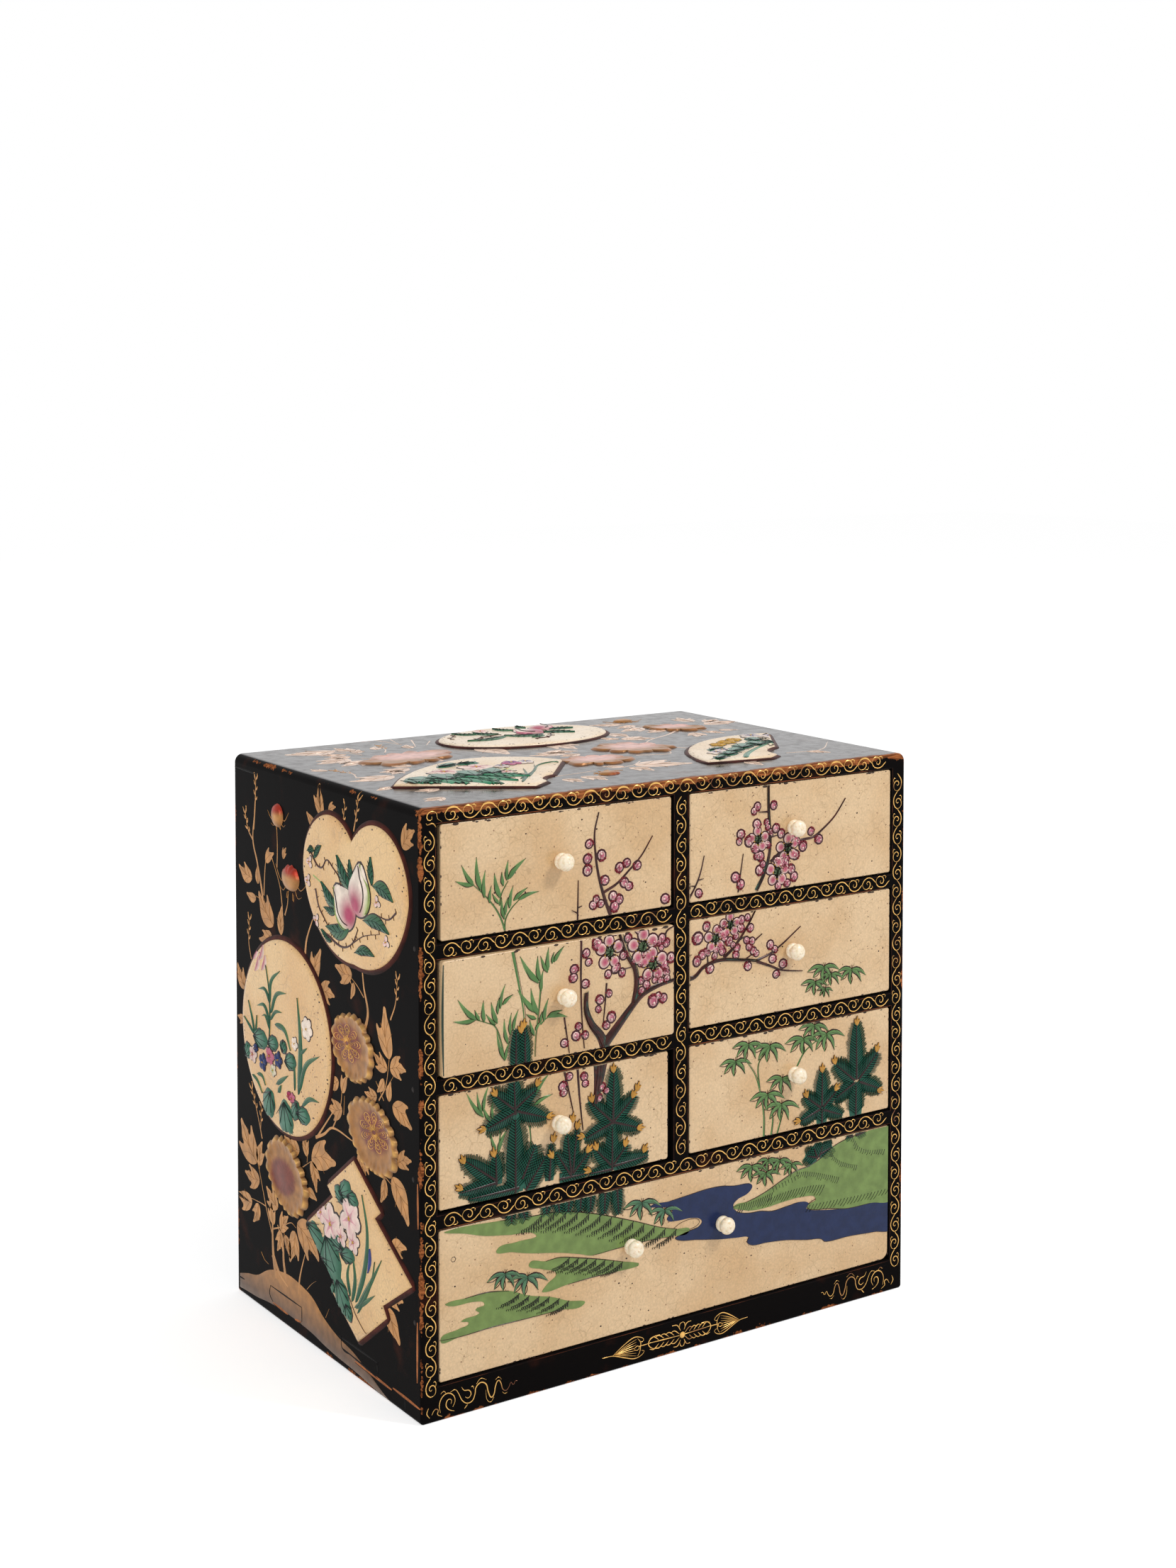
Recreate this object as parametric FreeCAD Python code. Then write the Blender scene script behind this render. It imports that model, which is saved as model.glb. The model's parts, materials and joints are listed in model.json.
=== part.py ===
import FreeCAD, Part

import os

# A small table-top tansu chest: a lacquered box of finger-jointed boards that holds six small
# drawers in three rows and one wide drawer below them. Every drawer is faced with a slab of
# crackle-glazed ceramic and pulled by turned knobs. Ceramic plaques are let into the two sides
# and the top. Millimetres, +Z up, the front faces -Y, +X is the viewer's right.
# The origin is the middle of the space the chest fills, at the level it stands on.

# ---- driving dimensions of the case -------------------------------------------------------
WIDTH = 308.0
DEPTH = 204.0
HEIGHT = 300.0

SIDE_THICKNESS = 9.5
TOP_THICKNESS = 7.5
SHELF_THICKNESS = 7.5
DIVIDER_THICKNESS = 10.0
DIVIDER_OFFSET = 1.0          # the upright stands this far right of the middle
BACK_THICKNESS = 6.0
BACK_REBATE = 5.0             # how far the back board reaches into each side
TOP_REBATE = 3.5              # and how far up into the top
BACK_FOOT = 2.0               # the back board stops short of the ground by this

RAIL_HEIGHT = 18.0            # the rail across the front, under the wide drawer
RAIL_DEPTH = 15.0
RAIL_END_HEIGHT = 9.0         # the lower part of the rail runs on under both sides
FLOOR_THICKNESS = 8.0
FLOOR_HEIGHT = 8.0            # underside of the floor board above the ground
RUNNER_WIDTH = 12.0

WIDE_DRAWER_HEIGHT = 76.5     # clear height of the lowest opening
ROW_COUNT = 3

FINGER_COUNT = 5              # fingers of the corner joint between top and sides
HOUSING_DEPTH = 2.5           # grooves that hold the shelves and the upright
HOUSING_STOP = 6.0            # the grooves stop this far behind the front
PEG_SIZE = 3.0
PEG_REACH = 8.0               # how far a peg goes into its shelf
PEG_SETBACK = 5.0             # from the front plane to a peg

LONG_EDGE_ROUND = 4.5         # upper long edges
FOOT_ROUND = 1.8              # lower long edges
ARRIS_ROUND = 1.5             # outline of the front and back

# ---- driving dimensions of the drawers ----------------------------------------------------
SLAB_THICKNESS = 6.0
SLAB_SETBACK = 0.5            # slab face behind the front plane
SLAB_CORNER = 1.5
SLAB_WORN_CORNER = 5.0        # one lower corner of the wide slab is more rounded
SLAB_ARRIS = 0.7
FRONT_THICKNESS = 7.0
WALL_THICKNESS = 5.0
BOTTOM_THICKNESS = 3.0
WALL_DROP = 3.0               # the walls are this much lower than the front board
FRONT_LAP = 3.0               # the side walls lap this far into the front board
DRAWER_SIDE_GAP = 0.5
DRAWER_TOP_GAP = 1.2
DRAWER_UNDER_GAP = 0.3
BACK_STOP_GAP = 0.3           # between a closed drawer and the back board
STANDING_PROUD = 3.0          # the middle left drawer is not pushed fully home

KNOB_PROJECTION = 8.5
KNOB_HEAD_RADIUS = 4.5
KNOB_BASE_RADIUS = 3.7
KNOB_NECK_RADIUS = 2.1
KNOB_COLLAR_HEIGHT = 1.2      # heights above the slab: top of the collar, neck, brim, shoulder
KNOB_NECK_HEIGHT = 2.1
KNOB_BRIM_HEIGHT = 4.9
KNOB_SHOULDER_HEIGHT = 7.3
KNOB_SHOULDER_RADIUS = 3.3
SHANK_RADIUS = 1.5
SHANK_CLEARANCE = 0.1
NUT_RADIUS = 4.0
NUT_THICKNESS = 2.8
NUT_POCKET_DEPTH = 3.0
NUT_POCKET_CLEARANCE = 0.2
NUT_THREAD_CLEARANCE = 0.03

# ---- driving dimensions of the plaques ----------------------------------------------------
PLAQUE_PROUD = 2.4            # height of a plaque above its board
PLAQUE_RECESS = 1.5           # depth of the pocket that it is let into
PLAQUE_FIT = 0.15             # gap round a plaque in its pocket

# ---- places worked out from the values above ----------------------------------------------
FRONT_Y = -DEPTH / 2 + (STANDING_PROUD - SLAB_SETBACK + KNOB_PROJECTION) / 2
BACK_Y = FRONT_Y + DEPTH
BACK_FACE_Y = BACK_Y - BACK_THICKNESS
HALF = WIDTH / 2
INNER = HALF - SIDE_THICKNESS
TOP_UNDER = HEIGHT - TOP_THICKNESS
ROW_HEIGHT = (TOP_UNDER - RAIL_HEIGHT - WIDE_DRAWER_HEIGHT) / ROW_COUNT - SHELF_THICKNESS
FULL_SHELF_UNDER = RAIL_HEIGHT + WIDE_DRAWER_HEIGHT
ROW_PITCH = ROW_HEIGHT + SHELF_THICKNESS
FIRST_ROW = FULL_SHELF_UNDER + SHELF_THICKNESS
FINGER = DEPTH / FINGER_COUNT
SIDE_FINGERS = tuple(range(1, FINGER_COUNT, 2))          # counted from the back
TOP_FINGERS = tuple(range(0, FINGER_COUNT, 2))
DIVIDER_LEFT = DIVIDER_OFFSET - DIVIDER_THICKNESS / 2
DIVIDER_RIGHT = DIVIDER_OFFSET + DIVIDER_THICKNESS / 2
HOUSING_Y = FRONT_Y + HOUSING_STOP
CUT = 1.0                                                # how far a cutter runs past a face

LEFT_BAY = (-INNER, DIVIDER_LEFT)
RIGHT_BAY = (DIVIDER_RIGHT, INNER)
FULL_BAY = (-INNER, INNER)
WIDE_ROW = (RAIL_HEIGHT, FULL_SHELF_UNDER)
ROW_FLOORS = tuple(FIRST_ROW + i * ROW_PITCH for i in range(ROW_COUNT))
ROWS = tuple((floor, floor + ROW_HEIGHT) for floor in ROW_FLOORS)


class Drawer:
    """One drawer: its opening, how its slab is trimmed to it, and where its knobs sit.

    trim is what the slab lacks at the left, right, bottom and top of the opening.
    knobs are (x, z) offsets from the slab's middle."""

    def __init__(self, name, bay, row, trim, knobs, proud=0.0):
        self.name = name
        self.x0, self.x1 = bay
        self.z0, self.z1 = row
        self.slab_x0 = self.x0 + trim[0]
        self.slab_x1 = self.x1 - trim[1]
        self.slab_z0 = self.z0 + trim[2]
        self.slab_z1 = self.z1 - trim[3]
        middle = ((self.slab_x0 + self.slab_x1) / 2, (self.slab_z0 + self.slab_z1) / 2)
        self.knobs = [(middle[0] + dx, middle[1] + dz) for dx, dz in knobs]
        self.face = FRONT_Y + SLAB_SETBACK - proud
        self.back = BACK_FACE_Y - BACK_STOP_GAP - proud
        self.body_x0 = self.x0 + DRAWER_SIDE_GAP
        self.body_x1 = self.x1 - DRAWER_SIDE_GAP
        self.body_z0 = self.z0 + DRAWER_UNDER_GAP
        self.body_z1 = self.z1 - DRAWER_TOP_GAP


WIDE_KNOB_SPREAD = 29.3
DRAWERS = (
    Drawer("drawer_top_left", LEFT_BAY, ROWS[2], (2.2, 0.9, 0.6, 1.0), [(0.4, 3.0)]),
    Drawer("drawer_top_right", RIGHT_BAY, ROWS[2], (0.6, 0.5, 0.6, 1.0), [(-0.4, 4.0)]),
    Drawer("drawer_mid_left", LEFT_BAY, ROWS[1], (1.5, 1.2, 0.8, 0.9), [(0.5, 1.5)], STANDING_PROUD),
    Drawer("drawer_mid_right", RIGHT_BAY, ROWS[1], (0.7, 0.5, 0.8, 0.7), [(-1.0, 3.5)]),
    Drawer("drawer_low_left", LEFT_BAY, ROWS[0], (1.0, 2.8, 1.2, 0.8), [(0.3, 3.0)]),
    Drawer("drawer_low_right", RIGHT_BAY, ROWS[0], (0.7, 0.6, 1.0, 0.9), [(0.8, 2.4)]),
    Drawer(
        "drawer_wide", FULL_BAY, WIDE_ROW, (0.8, 0.6, 0.6, 1.0),
        [(-1.5 - WIDE_KNOB_SPREAD, 6.3), (-1.5 + WIDE_KNOB_SPREAD, 6.3)],
    ),
)


def block(x0, x1, y0, y1, z0, z1):
    """A box between two corners."""
    return Part.makeBox(x1 - x0, y1 - y0, z1 - z0, FreeCAD.Vector(x0, y0, z0))


def rod(x, z, radius, y0, y1):
    """A round bar along +Y from y0 to y1."""
    return Part.makeCylinder(radius, y1 - y0, FreeCAD.Vector(x, y0, z), FreeCAD.Vector(0, 1, 0))


def cut(shape, *tools):
    """The shape with each tool taken away."""
    for tool in tools:
        shape = shape.cut(tool)
    return shape


def fuse(shape, *others):
    """One solid from touching or overlapping pieces, with its flat faces joined up."""
    for other in others:
        shape = shape.fuse(other)
    return shape.removeSplitter()


def edges_along(shape, axis, keep=lambda p: True):
    """The straight edges of a shape that run along one axis and whose middle passes keep."""
    found = []
    for edge in shape.Edges:
        if not isinstance(edge.Curve, Part.Line):
            continue
        direction = edge.Curve.Direction
        middle = edge.BoundBox.Center
        if abs(abs(getattr(direction, axis)) - 1) < 1e-6 and keep(middle):
            found.append(edge)
    return found


def save(node, *solids):
    """Writes one node: a single solid, or a group of separate ones."""
    shape = solids[0] if len(solids) == 1 else Part.makeCompound(list(solids))
    shape.exportStep("parts/" + node + ".step")


def envelope():
    """The outside of the case as one rounded block, which trims every board."""
    body = block(-HALF, HALF, FRONT_Y, BACK_Y, 0, HEIGHT)
    body = body.makeFillet(LONG_EDGE_ROUND, edges_along(body, "y", lambda p: p.z > HEIGHT / 2))
    body = body.makeFillet(FOOT_ROUND, edges_along(body, "y", lambda p: p.z < FOOT_ROUND / 2))
    outline = [
        edge for edge in body.Edges
        if edge.BoundBox.YLength < 1e-6 and edge.BoundBox.ZMax > FOOT_ROUND
    ]
    return body.makeFillet(ARRIS_ROUND, outline)


def finger_span(index):
    """The y range of one finger of the corner joint, counted from the back."""
    return BACK_Y - (index + 1) * FINGER, BACK_Y - index * FINGER


# ---- plaque outlines ----------------------------------------------------------------------
# An outline is drawn flat in (u, v) and starts at its first point. Each step is a list of
# points: one is the end of a straight line, two are the middle and the end of an arc.
def outline_wire(steps):
    """A closed flat wire in the XY plane from an outline's steps."""
    start = FreeCAD.Vector(*steps[0][0], 0)
    here = start
    edges = []
    for step in steps[1:]:
        points = [FreeCAD.Vector(*point, 0) for point in step]
        curve = Part.Arc(here, *points) if len(points) == 2 else Part.LineSegment(here, points[0])
        edges.append(curve.toShape())
        here = points[-1]
    if (here - start).Length > 1e-6:
        edges.append(Part.LineSegment(here, start).toShape())
    return Part.Wire(edges)


def circle_steps(radius):
    """A circle about the origin as two arcs."""
    return [[(radius, 0)], [(0, radius), (-radius, 0)], [(0, -radius), (radius, 0)]]


def oval_wire(half_u, half_v):
    """An ellipse about the origin."""
    curve = Part.Ellipse(FreeCAD.Vector(0, 0, 0), half_u, half_v)
    return Part.Wire([curve.toShape()])


# The peach plaque: two lobes that meet in a notch above, one broad curve below.
PEACH = [
    [(-2.5, 25.5)], [(-35, 34), (-55, 3)], [(-38, -25), (0, -36)], [(39, -24), (55, 4)],
    [(33, 36), (-2.5, 25.5)],
]
# Two square cards laid one over the other, standing on a corner.
CARDS = [
    [(-3, 46)], [(-31, 25.5)], [(-25, 21)], [(-55, -1.5)], [(-24, -22.5)], [(-28, -27.5)],
    [(1.5, -45.5)], [(31, -23.5)], [(27, -18.5)], [(56, 0.5)], [(19, 23)], [(25, 27.5)],
]
# Two opened fans, seen from above: left and right on the top.
LEFT_FAN = [
    [(-57, -6.5)], [(3, -45.5)], [(15, -37)], [(19, -27), (29, -21)], [(57, 12.5)],
    [(37, 38), (5, 43)], [(-31, 22), (-57, -6.5)],
]
RIGHT_FAN = [
    [(-45, -29)], [(-7, -35)], [(1, -30)], [(7, -14), (19, -6)], [(45, 33)], [(-11, 26), (-45, -29)],
]
ROUND_RADIUS = 51.5
OVAL_HALF = (53.0, 33.0)

# Margins that place the plaques: from the nearest edges of the board to the plaque's middle.
PEACH_FROM_FRONT, PEACH_FROM_TOP = 64.0, 52.0
ROUND_FROM_BACK, ROUND_FROM_FOOT = 63.0, 157.0
CARDS_FROM_FRONT, CARDS_FROM_FOOT = 63.0, 66.0
LEFT_FAN_FROM_LEFT, LEFT_FAN_FROM_FRONT = 76.0, 65.5
RIGHT_FAN_FROM_RIGHT, RIGHT_FAN_FROM_FRONT = 68.0, 59.0
OVAL_FROM_BACK, OVAL_FROM_MIDDLE = 40.0, 9.0

FACE_LEFT = FreeCAD.Rotation(FreeCAD.Vector(0, -1, 0), FreeCAD.Vector(0, 0, 1), FreeCAD.Vector(-1, 0, 0))
FACE_RIGHT = FreeCAD.Rotation(FreeCAD.Vector(0, 1, 0), FreeCAD.Vector(0, 0, 1), FreeCAD.Vector(1, 0, 0))
FACE_TOP = FreeCAD.Rotation()


def mirrored(steps):
    """An outline with u turned round."""
    return [[(-u, v) for u, v in step] for step in steps]


def plaque(wire, pocket_wire, place, turn):
    """A plaque, and the pocket it is let into.

    The wires' plane is the board's face and turn points its +Z away from the board."""
    tile = Part.Face(wire).extrude(FreeCAD.Vector(0, 0, PLAQUE_PROUD + PLAQUE_RECESS))
    pocket = Part.Face(pocket_wire).extrude(FreeCAD.Vector(0, 0, PLAQUE_RECESS + CUT))
    floor_of_pocket = place + turn.multVec(FreeCAD.Vector(0, 0, -PLAQUE_RECESS))
    for shape in (tile, pocket):
        shape.Placement = FreeCAD.Placement(floor_of_pocket, turn)
    return tile, pocket


def side_plaques(sign):
    """The three plaques of one side, as (name, tile, pocket). sign is -1 for the left side."""
    turn = FACE_LEFT if sign < 0 else FACE_RIGHT
    name = "left" if sign < 0 else "right"
    shape = (lambda steps: steps) if sign < 0 else mirrored
    designs = (
        ("peach", shape(PEACH), FRONT_Y + PEACH_FROM_FRONT, HEIGHT - PEACH_FROM_TOP),
        ("round", circle_steps(ROUND_RADIUS), BACK_Y - ROUND_FROM_BACK, ROUND_FROM_FOOT),
        ("cards", shape(CARDS), FRONT_Y + CARDS_FROM_FRONT, CARDS_FROM_FOOT),
    )
    made = []
    for design, steps, y, z in designs:
        wire = outline_wire(steps)
        place = FreeCAD.Vector(sign * HALF, y, z)
        tile, pocket = plaque(wire, wire.makeOffset2D(PLAQUE_FIT), place, turn)
        made.append(("plaque_" + name + "_" + design, tile, pocket))
    return made


def top_plaques():
    """The three plaques of the top, as (name, tile, pocket)."""
    left_fan = outline_wire(LEFT_FAN)
    right_fan = outline_wire(RIGHT_FAN)
    designs = (
        ("fan_left", left_fan, left_fan.makeOffset2D(PLAQUE_FIT),
         -HALF + LEFT_FAN_FROM_LEFT, FRONT_Y + LEFT_FAN_FROM_FRONT),
        ("fan_right", right_fan, right_fan.makeOffset2D(PLAQUE_FIT),
         HALF - RIGHT_FAN_FROM_RIGHT, FRONT_Y + RIGHT_FAN_FROM_FRONT),
        ("oval", oval_wire(*OVAL_HALF), oval_wire(*(half + PLAQUE_FIT for half in OVAL_HALF)),
         OVAL_FROM_MIDDLE, BACK_Y - OVAL_FROM_BACK),
    )
    made = []
    for design, wire, pocket_wire, x, y in designs:
        tile, pocket = plaque(wire, pocket_wire, FreeCAD.Vector(x, y, HEIGHT), FACE_TOP)
        made.append(("plaque_top_" + design, tile, pocket))
    return made


# ---- the case -----------------------------------------------------------------------------
def back_slot():
    """The space of the back board, which is also the rebate that takes it."""
    reach = INNER + BACK_REBATE
    return block(-reach, reach, BACK_FACE_Y, BACK_Y, BACK_FOOT, TOP_UNDER + TOP_REBATE)


def divider_tongue(z0, z1):
    """The part of the upright that sits in the groove above or below it."""
    return block(DIVIDER_LEFT, DIVIDER_RIGHT, HOUSING_Y, BACK_FACE_Y, z0, z1)


def shelf(x0, x1, z0):
    """A shelf between two uprights, with a tongue at each end."""
    z1 = z0 + SHELF_THICKNESS
    return fuse(
        block(x0, x1, FRONT_Y, BACK_FACE_Y, z0, z1),
        block(x0 - HOUSING_DEPTH, x1 + HOUSING_DEPTH, HOUSING_Y, BACK_FACE_Y, z0, z1),
    )


def shelf_levels():
    """The underside of each shelf between the rows, lowest first."""
    return [FIRST_ROW + ROW_HEIGHT + i * ROW_PITCH for i in range(ROW_COUNT - 1)]


def pegs():
    """The square pegs driven through the sides into the ends of the shelves."""
    made = []
    y0 = FRONT_Y + PEG_SETBACK
    for under in [FULL_SHELF_UNDER] + shelf_levels():
        z0 = under + (SHELF_THICKNESS - PEG_SIZE) / 2
        for x0, x1 in ((-HALF, -INNER + PEG_REACH), (INNER - PEG_REACH, HALF)):
            made.append(block(x0, x1, y0, y0 + PEG_SIZE, z0, z0 + PEG_SIZE))
    return made


def floor_board():
    """The floor, behind the rail, with tenons that go through the sides."""
    z1 = FLOOR_HEIGHT + FLOOR_THICKNESS
    board = block(-INNER, INNER, FRONT_Y + RAIL_DEPTH, BACK_FACE_Y, FLOOR_HEIGHT, z1)
    tenons = [block(-HALF, HALF, *finger_span(i), FLOOR_HEIGHT, z1) for i in SIDE_FINGERS]
    return fuse(board, *tenons)


def rail():
    """The front rail: its lower part runs on to the outside of the case."""
    upper = block(-INNER, INNER, FRONT_Y, FRONT_Y + RAIL_DEPTH, 0, RAIL_HEIGHT)
    lower = block(-HALF, HALF, FRONT_Y, FRONT_Y + RAIL_DEPTH, 0, RAIL_END_HEIGHT)
    return fuse(upper, lower)


def side_board(sign):
    """One side before its pockets are cut. sign is -1 for the left side."""
    x0, x1 = (-HALF, -INNER) if sign < 0 else (INNER, HALF)
    board = block(x0, x1, FRONT_Y, BACK_Y, 0, HEIGHT)
    notches = [block(x0 - CUT, x1 + CUT, *finger_span(i), TOP_UNDER, HEIGHT + CUT) for i in TOP_FINGERS]
    return cut(board, back_slot(), *notches)


def build_case():
    """Makes and saves every board, peg, runner and plaque of the case."""
    outside = envelope()
    levels = shelf_levels()
    rail_solid = rail()
    floor_solid = floor_board()
    full_shelf = shelf(-INNER, INNER, FULL_SHELF_UNDER)
    small_shelves = {}
    for level_name, under in zip(("lower", "upper"), levels):
        small_shelves["shelf_" + level_name + "_left"] = shelf(*LEFT_BAY, under)
        small_shelves["shelf_" + level_name + "_right"] = shelf(*RIGHT_BAY, under)
    peg_solids = pegs()
    foot_groove = divider_tongue(FIRST_ROW - HOUSING_DEPTH, FIRST_ROW)
    head_groove = divider_tongue(TOP_UNDER, TOP_UNDER + HOUSING_DEPTH)
    upright = block(DIVIDER_LEFT, DIVIDER_RIGHT, FRONT_Y, BACK_FACE_Y, FIRST_ROW, TOP_UNDER)
    shelves = [full_shelf] + list(small_shelves.values())

    top = block(-HALF, HALF, FRONT_Y, BACK_Y, TOP_UNDER, HEIGHT)
    for i in SIDE_FINGERS:
        for x0, x1 in ((-HALF - CUT, -INNER), (INNER, HALF + CUT)):
            top = top.cut(block(x0, x1, *finger_span(i), TOP_UNDER - CUT, HEIGHT + CUT))
    top = cut(top, back_slot(), head_groove).common(outside)
    for name, tile, pocket in top_plaques():
        top = top.cut(pocket)
        save(name, tile)
    save("top_board", top)

    for sign, name in ((-1, "left_side"), (1, "right_side")):
        board = cut(side_board(sign), rail_solid, floor_solid, *shelves, *peg_solids)
        board = board.common(outside)
        for plaque_name, tile, pocket in side_plaques(sign):
            board = board.cut(pocket)
            save(plaque_name, tile)
        save(name, board)

    save("back_board", back_slot().common(outside))
    save("bottom_board", floor_solid.common(outside))
    save("bottom_rail", rail_solid.common(outside))
    save("full_shelf", cut(full_shelf, foot_groove, *peg_solids).common(outside))
    for name, solid in small_shelves.items():
        save(name, cut(solid, *peg_solids).common(outside))
    save("divider", cut(fuse(upright, foot_groove, head_groove), *small_shelves.values()).common(outside))
    save("shelf_pegs", *[solid.common(outside) for solid in peg_solids])

    runner_z = FLOOR_HEIGHT + FLOOR_THICKNESS
    runners = [
        block(x0, x0 + RUNNER_WIDTH, FRONT_Y + RAIL_DEPTH, BACK_FACE_Y, runner_z, RAIL_HEIGHT)
        for x0 in (-INNER, INNER - RUNNER_WIDTH)
    ]
    save("floor_runners", *runners)


# ---- the drawers --------------------------------------------------------------------------
def slab(drawer):
    """The ceramic face: a tile with rounded corners, bored for each knob's shank."""
    tile = block(
        drawer.slab_x0, drawer.slab_x1, drawer.face, drawer.face + SLAB_THICKNESS,
        drawer.slab_z0, drawer.slab_z1,
    )

    def at_corner(x, z):
        """A test for the tile's corner edge nearest to (x, z)."""
        return lambda p: abs(p.x - x) + abs(p.z - z) < SLAB_ARRIS

    worn = drawer.name == "drawer_wide"
    for x in (drawer.slab_x0, drawer.slab_x1):
        for z in (drawer.slab_z0, drawer.slab_z1):
            low_right = x == drawer.slab_x1 and z == drawer.slab_z0
            radius = SLAB_WORN_CORNER if worn and low_right else SLAB_CORNER
            tile = tile.makeFillet(radius, edges_along(tile, "y", at_corner(x, z)))
    front_edges = [edge for edge in tile.Edges if edge.BoundBox.YMax < drawer.face + 1e-6]
    tile = tile.makeFillet(SLAB_ARRIS, front_edges)
    radius = SHANK_RADIUS + SHANK_CLEARANCE
    y1 = drawer.face + SLAB_THICKNESS
    holes = [rod(x, z, radius, drawer.face - CUT, y1 + CUT) for x, z in drawer.knobs]
    return cut(tile, *holes)


def front_board(drawer):
    """The wooden front behind the slab, lapped for the side walls and pocketed for the nuts."""
    y0 = drawer.face + SLAB_THICKNESS
    y1 = y0 + FRONT_THICKNESS
    board = block(drawer.body_x0, drawer.body_x1, y0, y1, drawer.body_z0, drawer.body_z1)
    laps = [
        block(x0, x0 + WALL_THICKNESS, y1 - FRONT_LAP, y1 + CUT,
              drawer.body_z0 + BOTTOM_THICKNESS, drawer.body_z1 - WALL_DROP)
        for x0 in (drawer.body_x0, drawer.body_x1 - WALL_THICKNESS)
    ]
    holes = [rod(x, z, SHANK_RADIUS + SHANK_CLEARANCE, y0 - CUT, y1 + CUT) for x, z in drawer.knobs]
    pockets = [
        rod(x, z, NUT_RADIUS + NUT_POCKET_CLEARANCE, y1 - NUT_POCKET_DEPTH, y1 + CUT)
        for x, z in drawer.knobs
    ]
    return cut(board, *laps, *holes, *pockets)


def walls(drawer):
    """Left, right and back wall of a drawer, as three solids standing on its bottom."""
    inner_front = drawer.face + SLAB_THICKNESS + FRONT_THICKNESS
    z0 = drawer.body_z0 + BOTTOM_THICKNESS
    z1 = drawer.body_z1 - WALL_DROP
    left, right = (
        block(x0, x0 + WALL_THICKNESS, inner_front - FRONT_LAP, drawer.back, z0, z1)
        for x0 in (drawer.body_x0, drawer.body_x1 - WALL_THICKNESS)
    )
    back = block(
        drawer.body_x0 + WALL_THICKNESS, drawer.body_x1 - WALL_THICKNESS,
        drawer.back - WALL_THICKNESS, drawer.back, z0, z1,
    )
    return left, right, back


def bottom(drawer):
    """The bottom board of a drawer, under its walls."""
    inner_front = drawer.face + SLAB_THICKNESS + FRONT_THICKNESS
    return block(
        drawer.body_x0, drawer.body_x1, inner_front, drawer.back,
        drawer.body_z0, drawer.body_z0 + BOTTOM_THICKNESS,
    )


def knob(x, z, face):
    """A turned knob with its shank, and the nut that holds it inside the front board."""
    end = face + SLAB_THICKNESS + FRONT_THICKNESS

    def at(radius, height):
        """A point of the profile: a radius, and a height above the slab."""
        return FreeCAD.Vector(x + radius, face - height, z)

    tip = at(0, KNOB_PROJECTION)
    brim = at(KNOB_HEAD_RADIUS, KNOB_BRIM_HEIGHT)
    dome = Part.Arc(tip, at(KNOB_SHOULDER_RADIUS, KNOB_SHOULDER_HEIGHT), brim).toShape()
    corners = [
        brim, at(KNOB_NECK_RADIUS, KNOB_NECK_HEIGHT), at(KNOB_BASE_RADIUS, KNOB_COLLAR_HEIGHT),
        at(KNOB_BASE_RADIUS, 0), at(SHANK_RADIUS, 0), at(SHANK_RADIUS, face - end), at(0, face - end), tip,
    ]
    lines = [Part.LineSegment(a, b).toShape() for a, b in zip(corners, corners[1:])]
    axis = FreeCAD.Vector(0, 1, 0)
    turned = Part.Face(Part.Wire([dome] + lines)).revolve(FreeCAD.Vector(x, 0, z), axis, 360)
    nut_start = end - NUT_POCKET_DEPTH
    nut = rod(x, z, NUT_RADIUS, nut_start, nut_start + NUT_THICKNESS)
    nut = nut.cut(rod(x, z, SHANK_RADIUS + NUT_THREAD_CLEARANCE, nut_start - CUT, end + CUT))
    return turned, nut


def build_drawer(drawer):
    """Makes and saves the five nodes of one drawer."""
    save(drawer.name + "_panel", slab(drawer))
    save(drawer.name + "_front", front_board(drawer))
    save(drawer.name + "_walls", *walls(drawer))
    save(drawer.name + "_bottom", bottom(drawer))
    pieces = []
    for x, z in drawer.knobs:
        pieces.extend(knob(x, z, drawer.face))
    save(drawer.name + "_knob", *pieces)


def main():
    """Builds the whole chest into parts/."""
    os.makedirs("parts", exist_ok=True)
    build_case()
    for drawer in DRAWERS:
        build_drawer(drawer)


main()
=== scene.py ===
import json
import logging
import math
import random
from collections.abc import Callable, Sequence
from dataclasses import dataclass
from enum import Enum
from functools import cached_property, partial

import bmesh
import bpy
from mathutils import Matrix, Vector, noise
from mathutils.bvhtree import BVHTree
from mathutils.geometry import interpolate_bezier


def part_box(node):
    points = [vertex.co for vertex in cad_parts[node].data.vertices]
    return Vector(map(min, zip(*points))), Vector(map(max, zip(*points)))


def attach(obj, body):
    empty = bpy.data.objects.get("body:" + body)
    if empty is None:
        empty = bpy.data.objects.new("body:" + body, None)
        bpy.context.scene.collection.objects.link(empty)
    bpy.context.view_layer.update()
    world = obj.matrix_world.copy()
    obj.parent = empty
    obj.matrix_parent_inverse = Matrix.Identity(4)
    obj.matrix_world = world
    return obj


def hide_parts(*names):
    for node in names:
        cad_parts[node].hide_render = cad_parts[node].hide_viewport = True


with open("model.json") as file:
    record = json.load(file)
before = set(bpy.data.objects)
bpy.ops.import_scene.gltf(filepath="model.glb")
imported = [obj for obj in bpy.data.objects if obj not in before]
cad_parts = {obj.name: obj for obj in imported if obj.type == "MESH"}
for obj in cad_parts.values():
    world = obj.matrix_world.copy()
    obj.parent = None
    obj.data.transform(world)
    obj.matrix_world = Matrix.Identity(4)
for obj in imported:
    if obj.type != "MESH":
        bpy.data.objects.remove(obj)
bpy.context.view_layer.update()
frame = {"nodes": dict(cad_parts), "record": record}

log = logging.getLogger("tansu")

MM = 0.001
Point = tuple[float, float]
Colour = tuple[float, float, float, float]
Ink = Colour | Callable[[float, float], Colour]
Height = Callable[[float, float], float]
Mark = tuple[tuple[Point, ...], float]
CURVE_POINTS = 9


# ---------------------------------------------------------------- colours and lines


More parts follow.
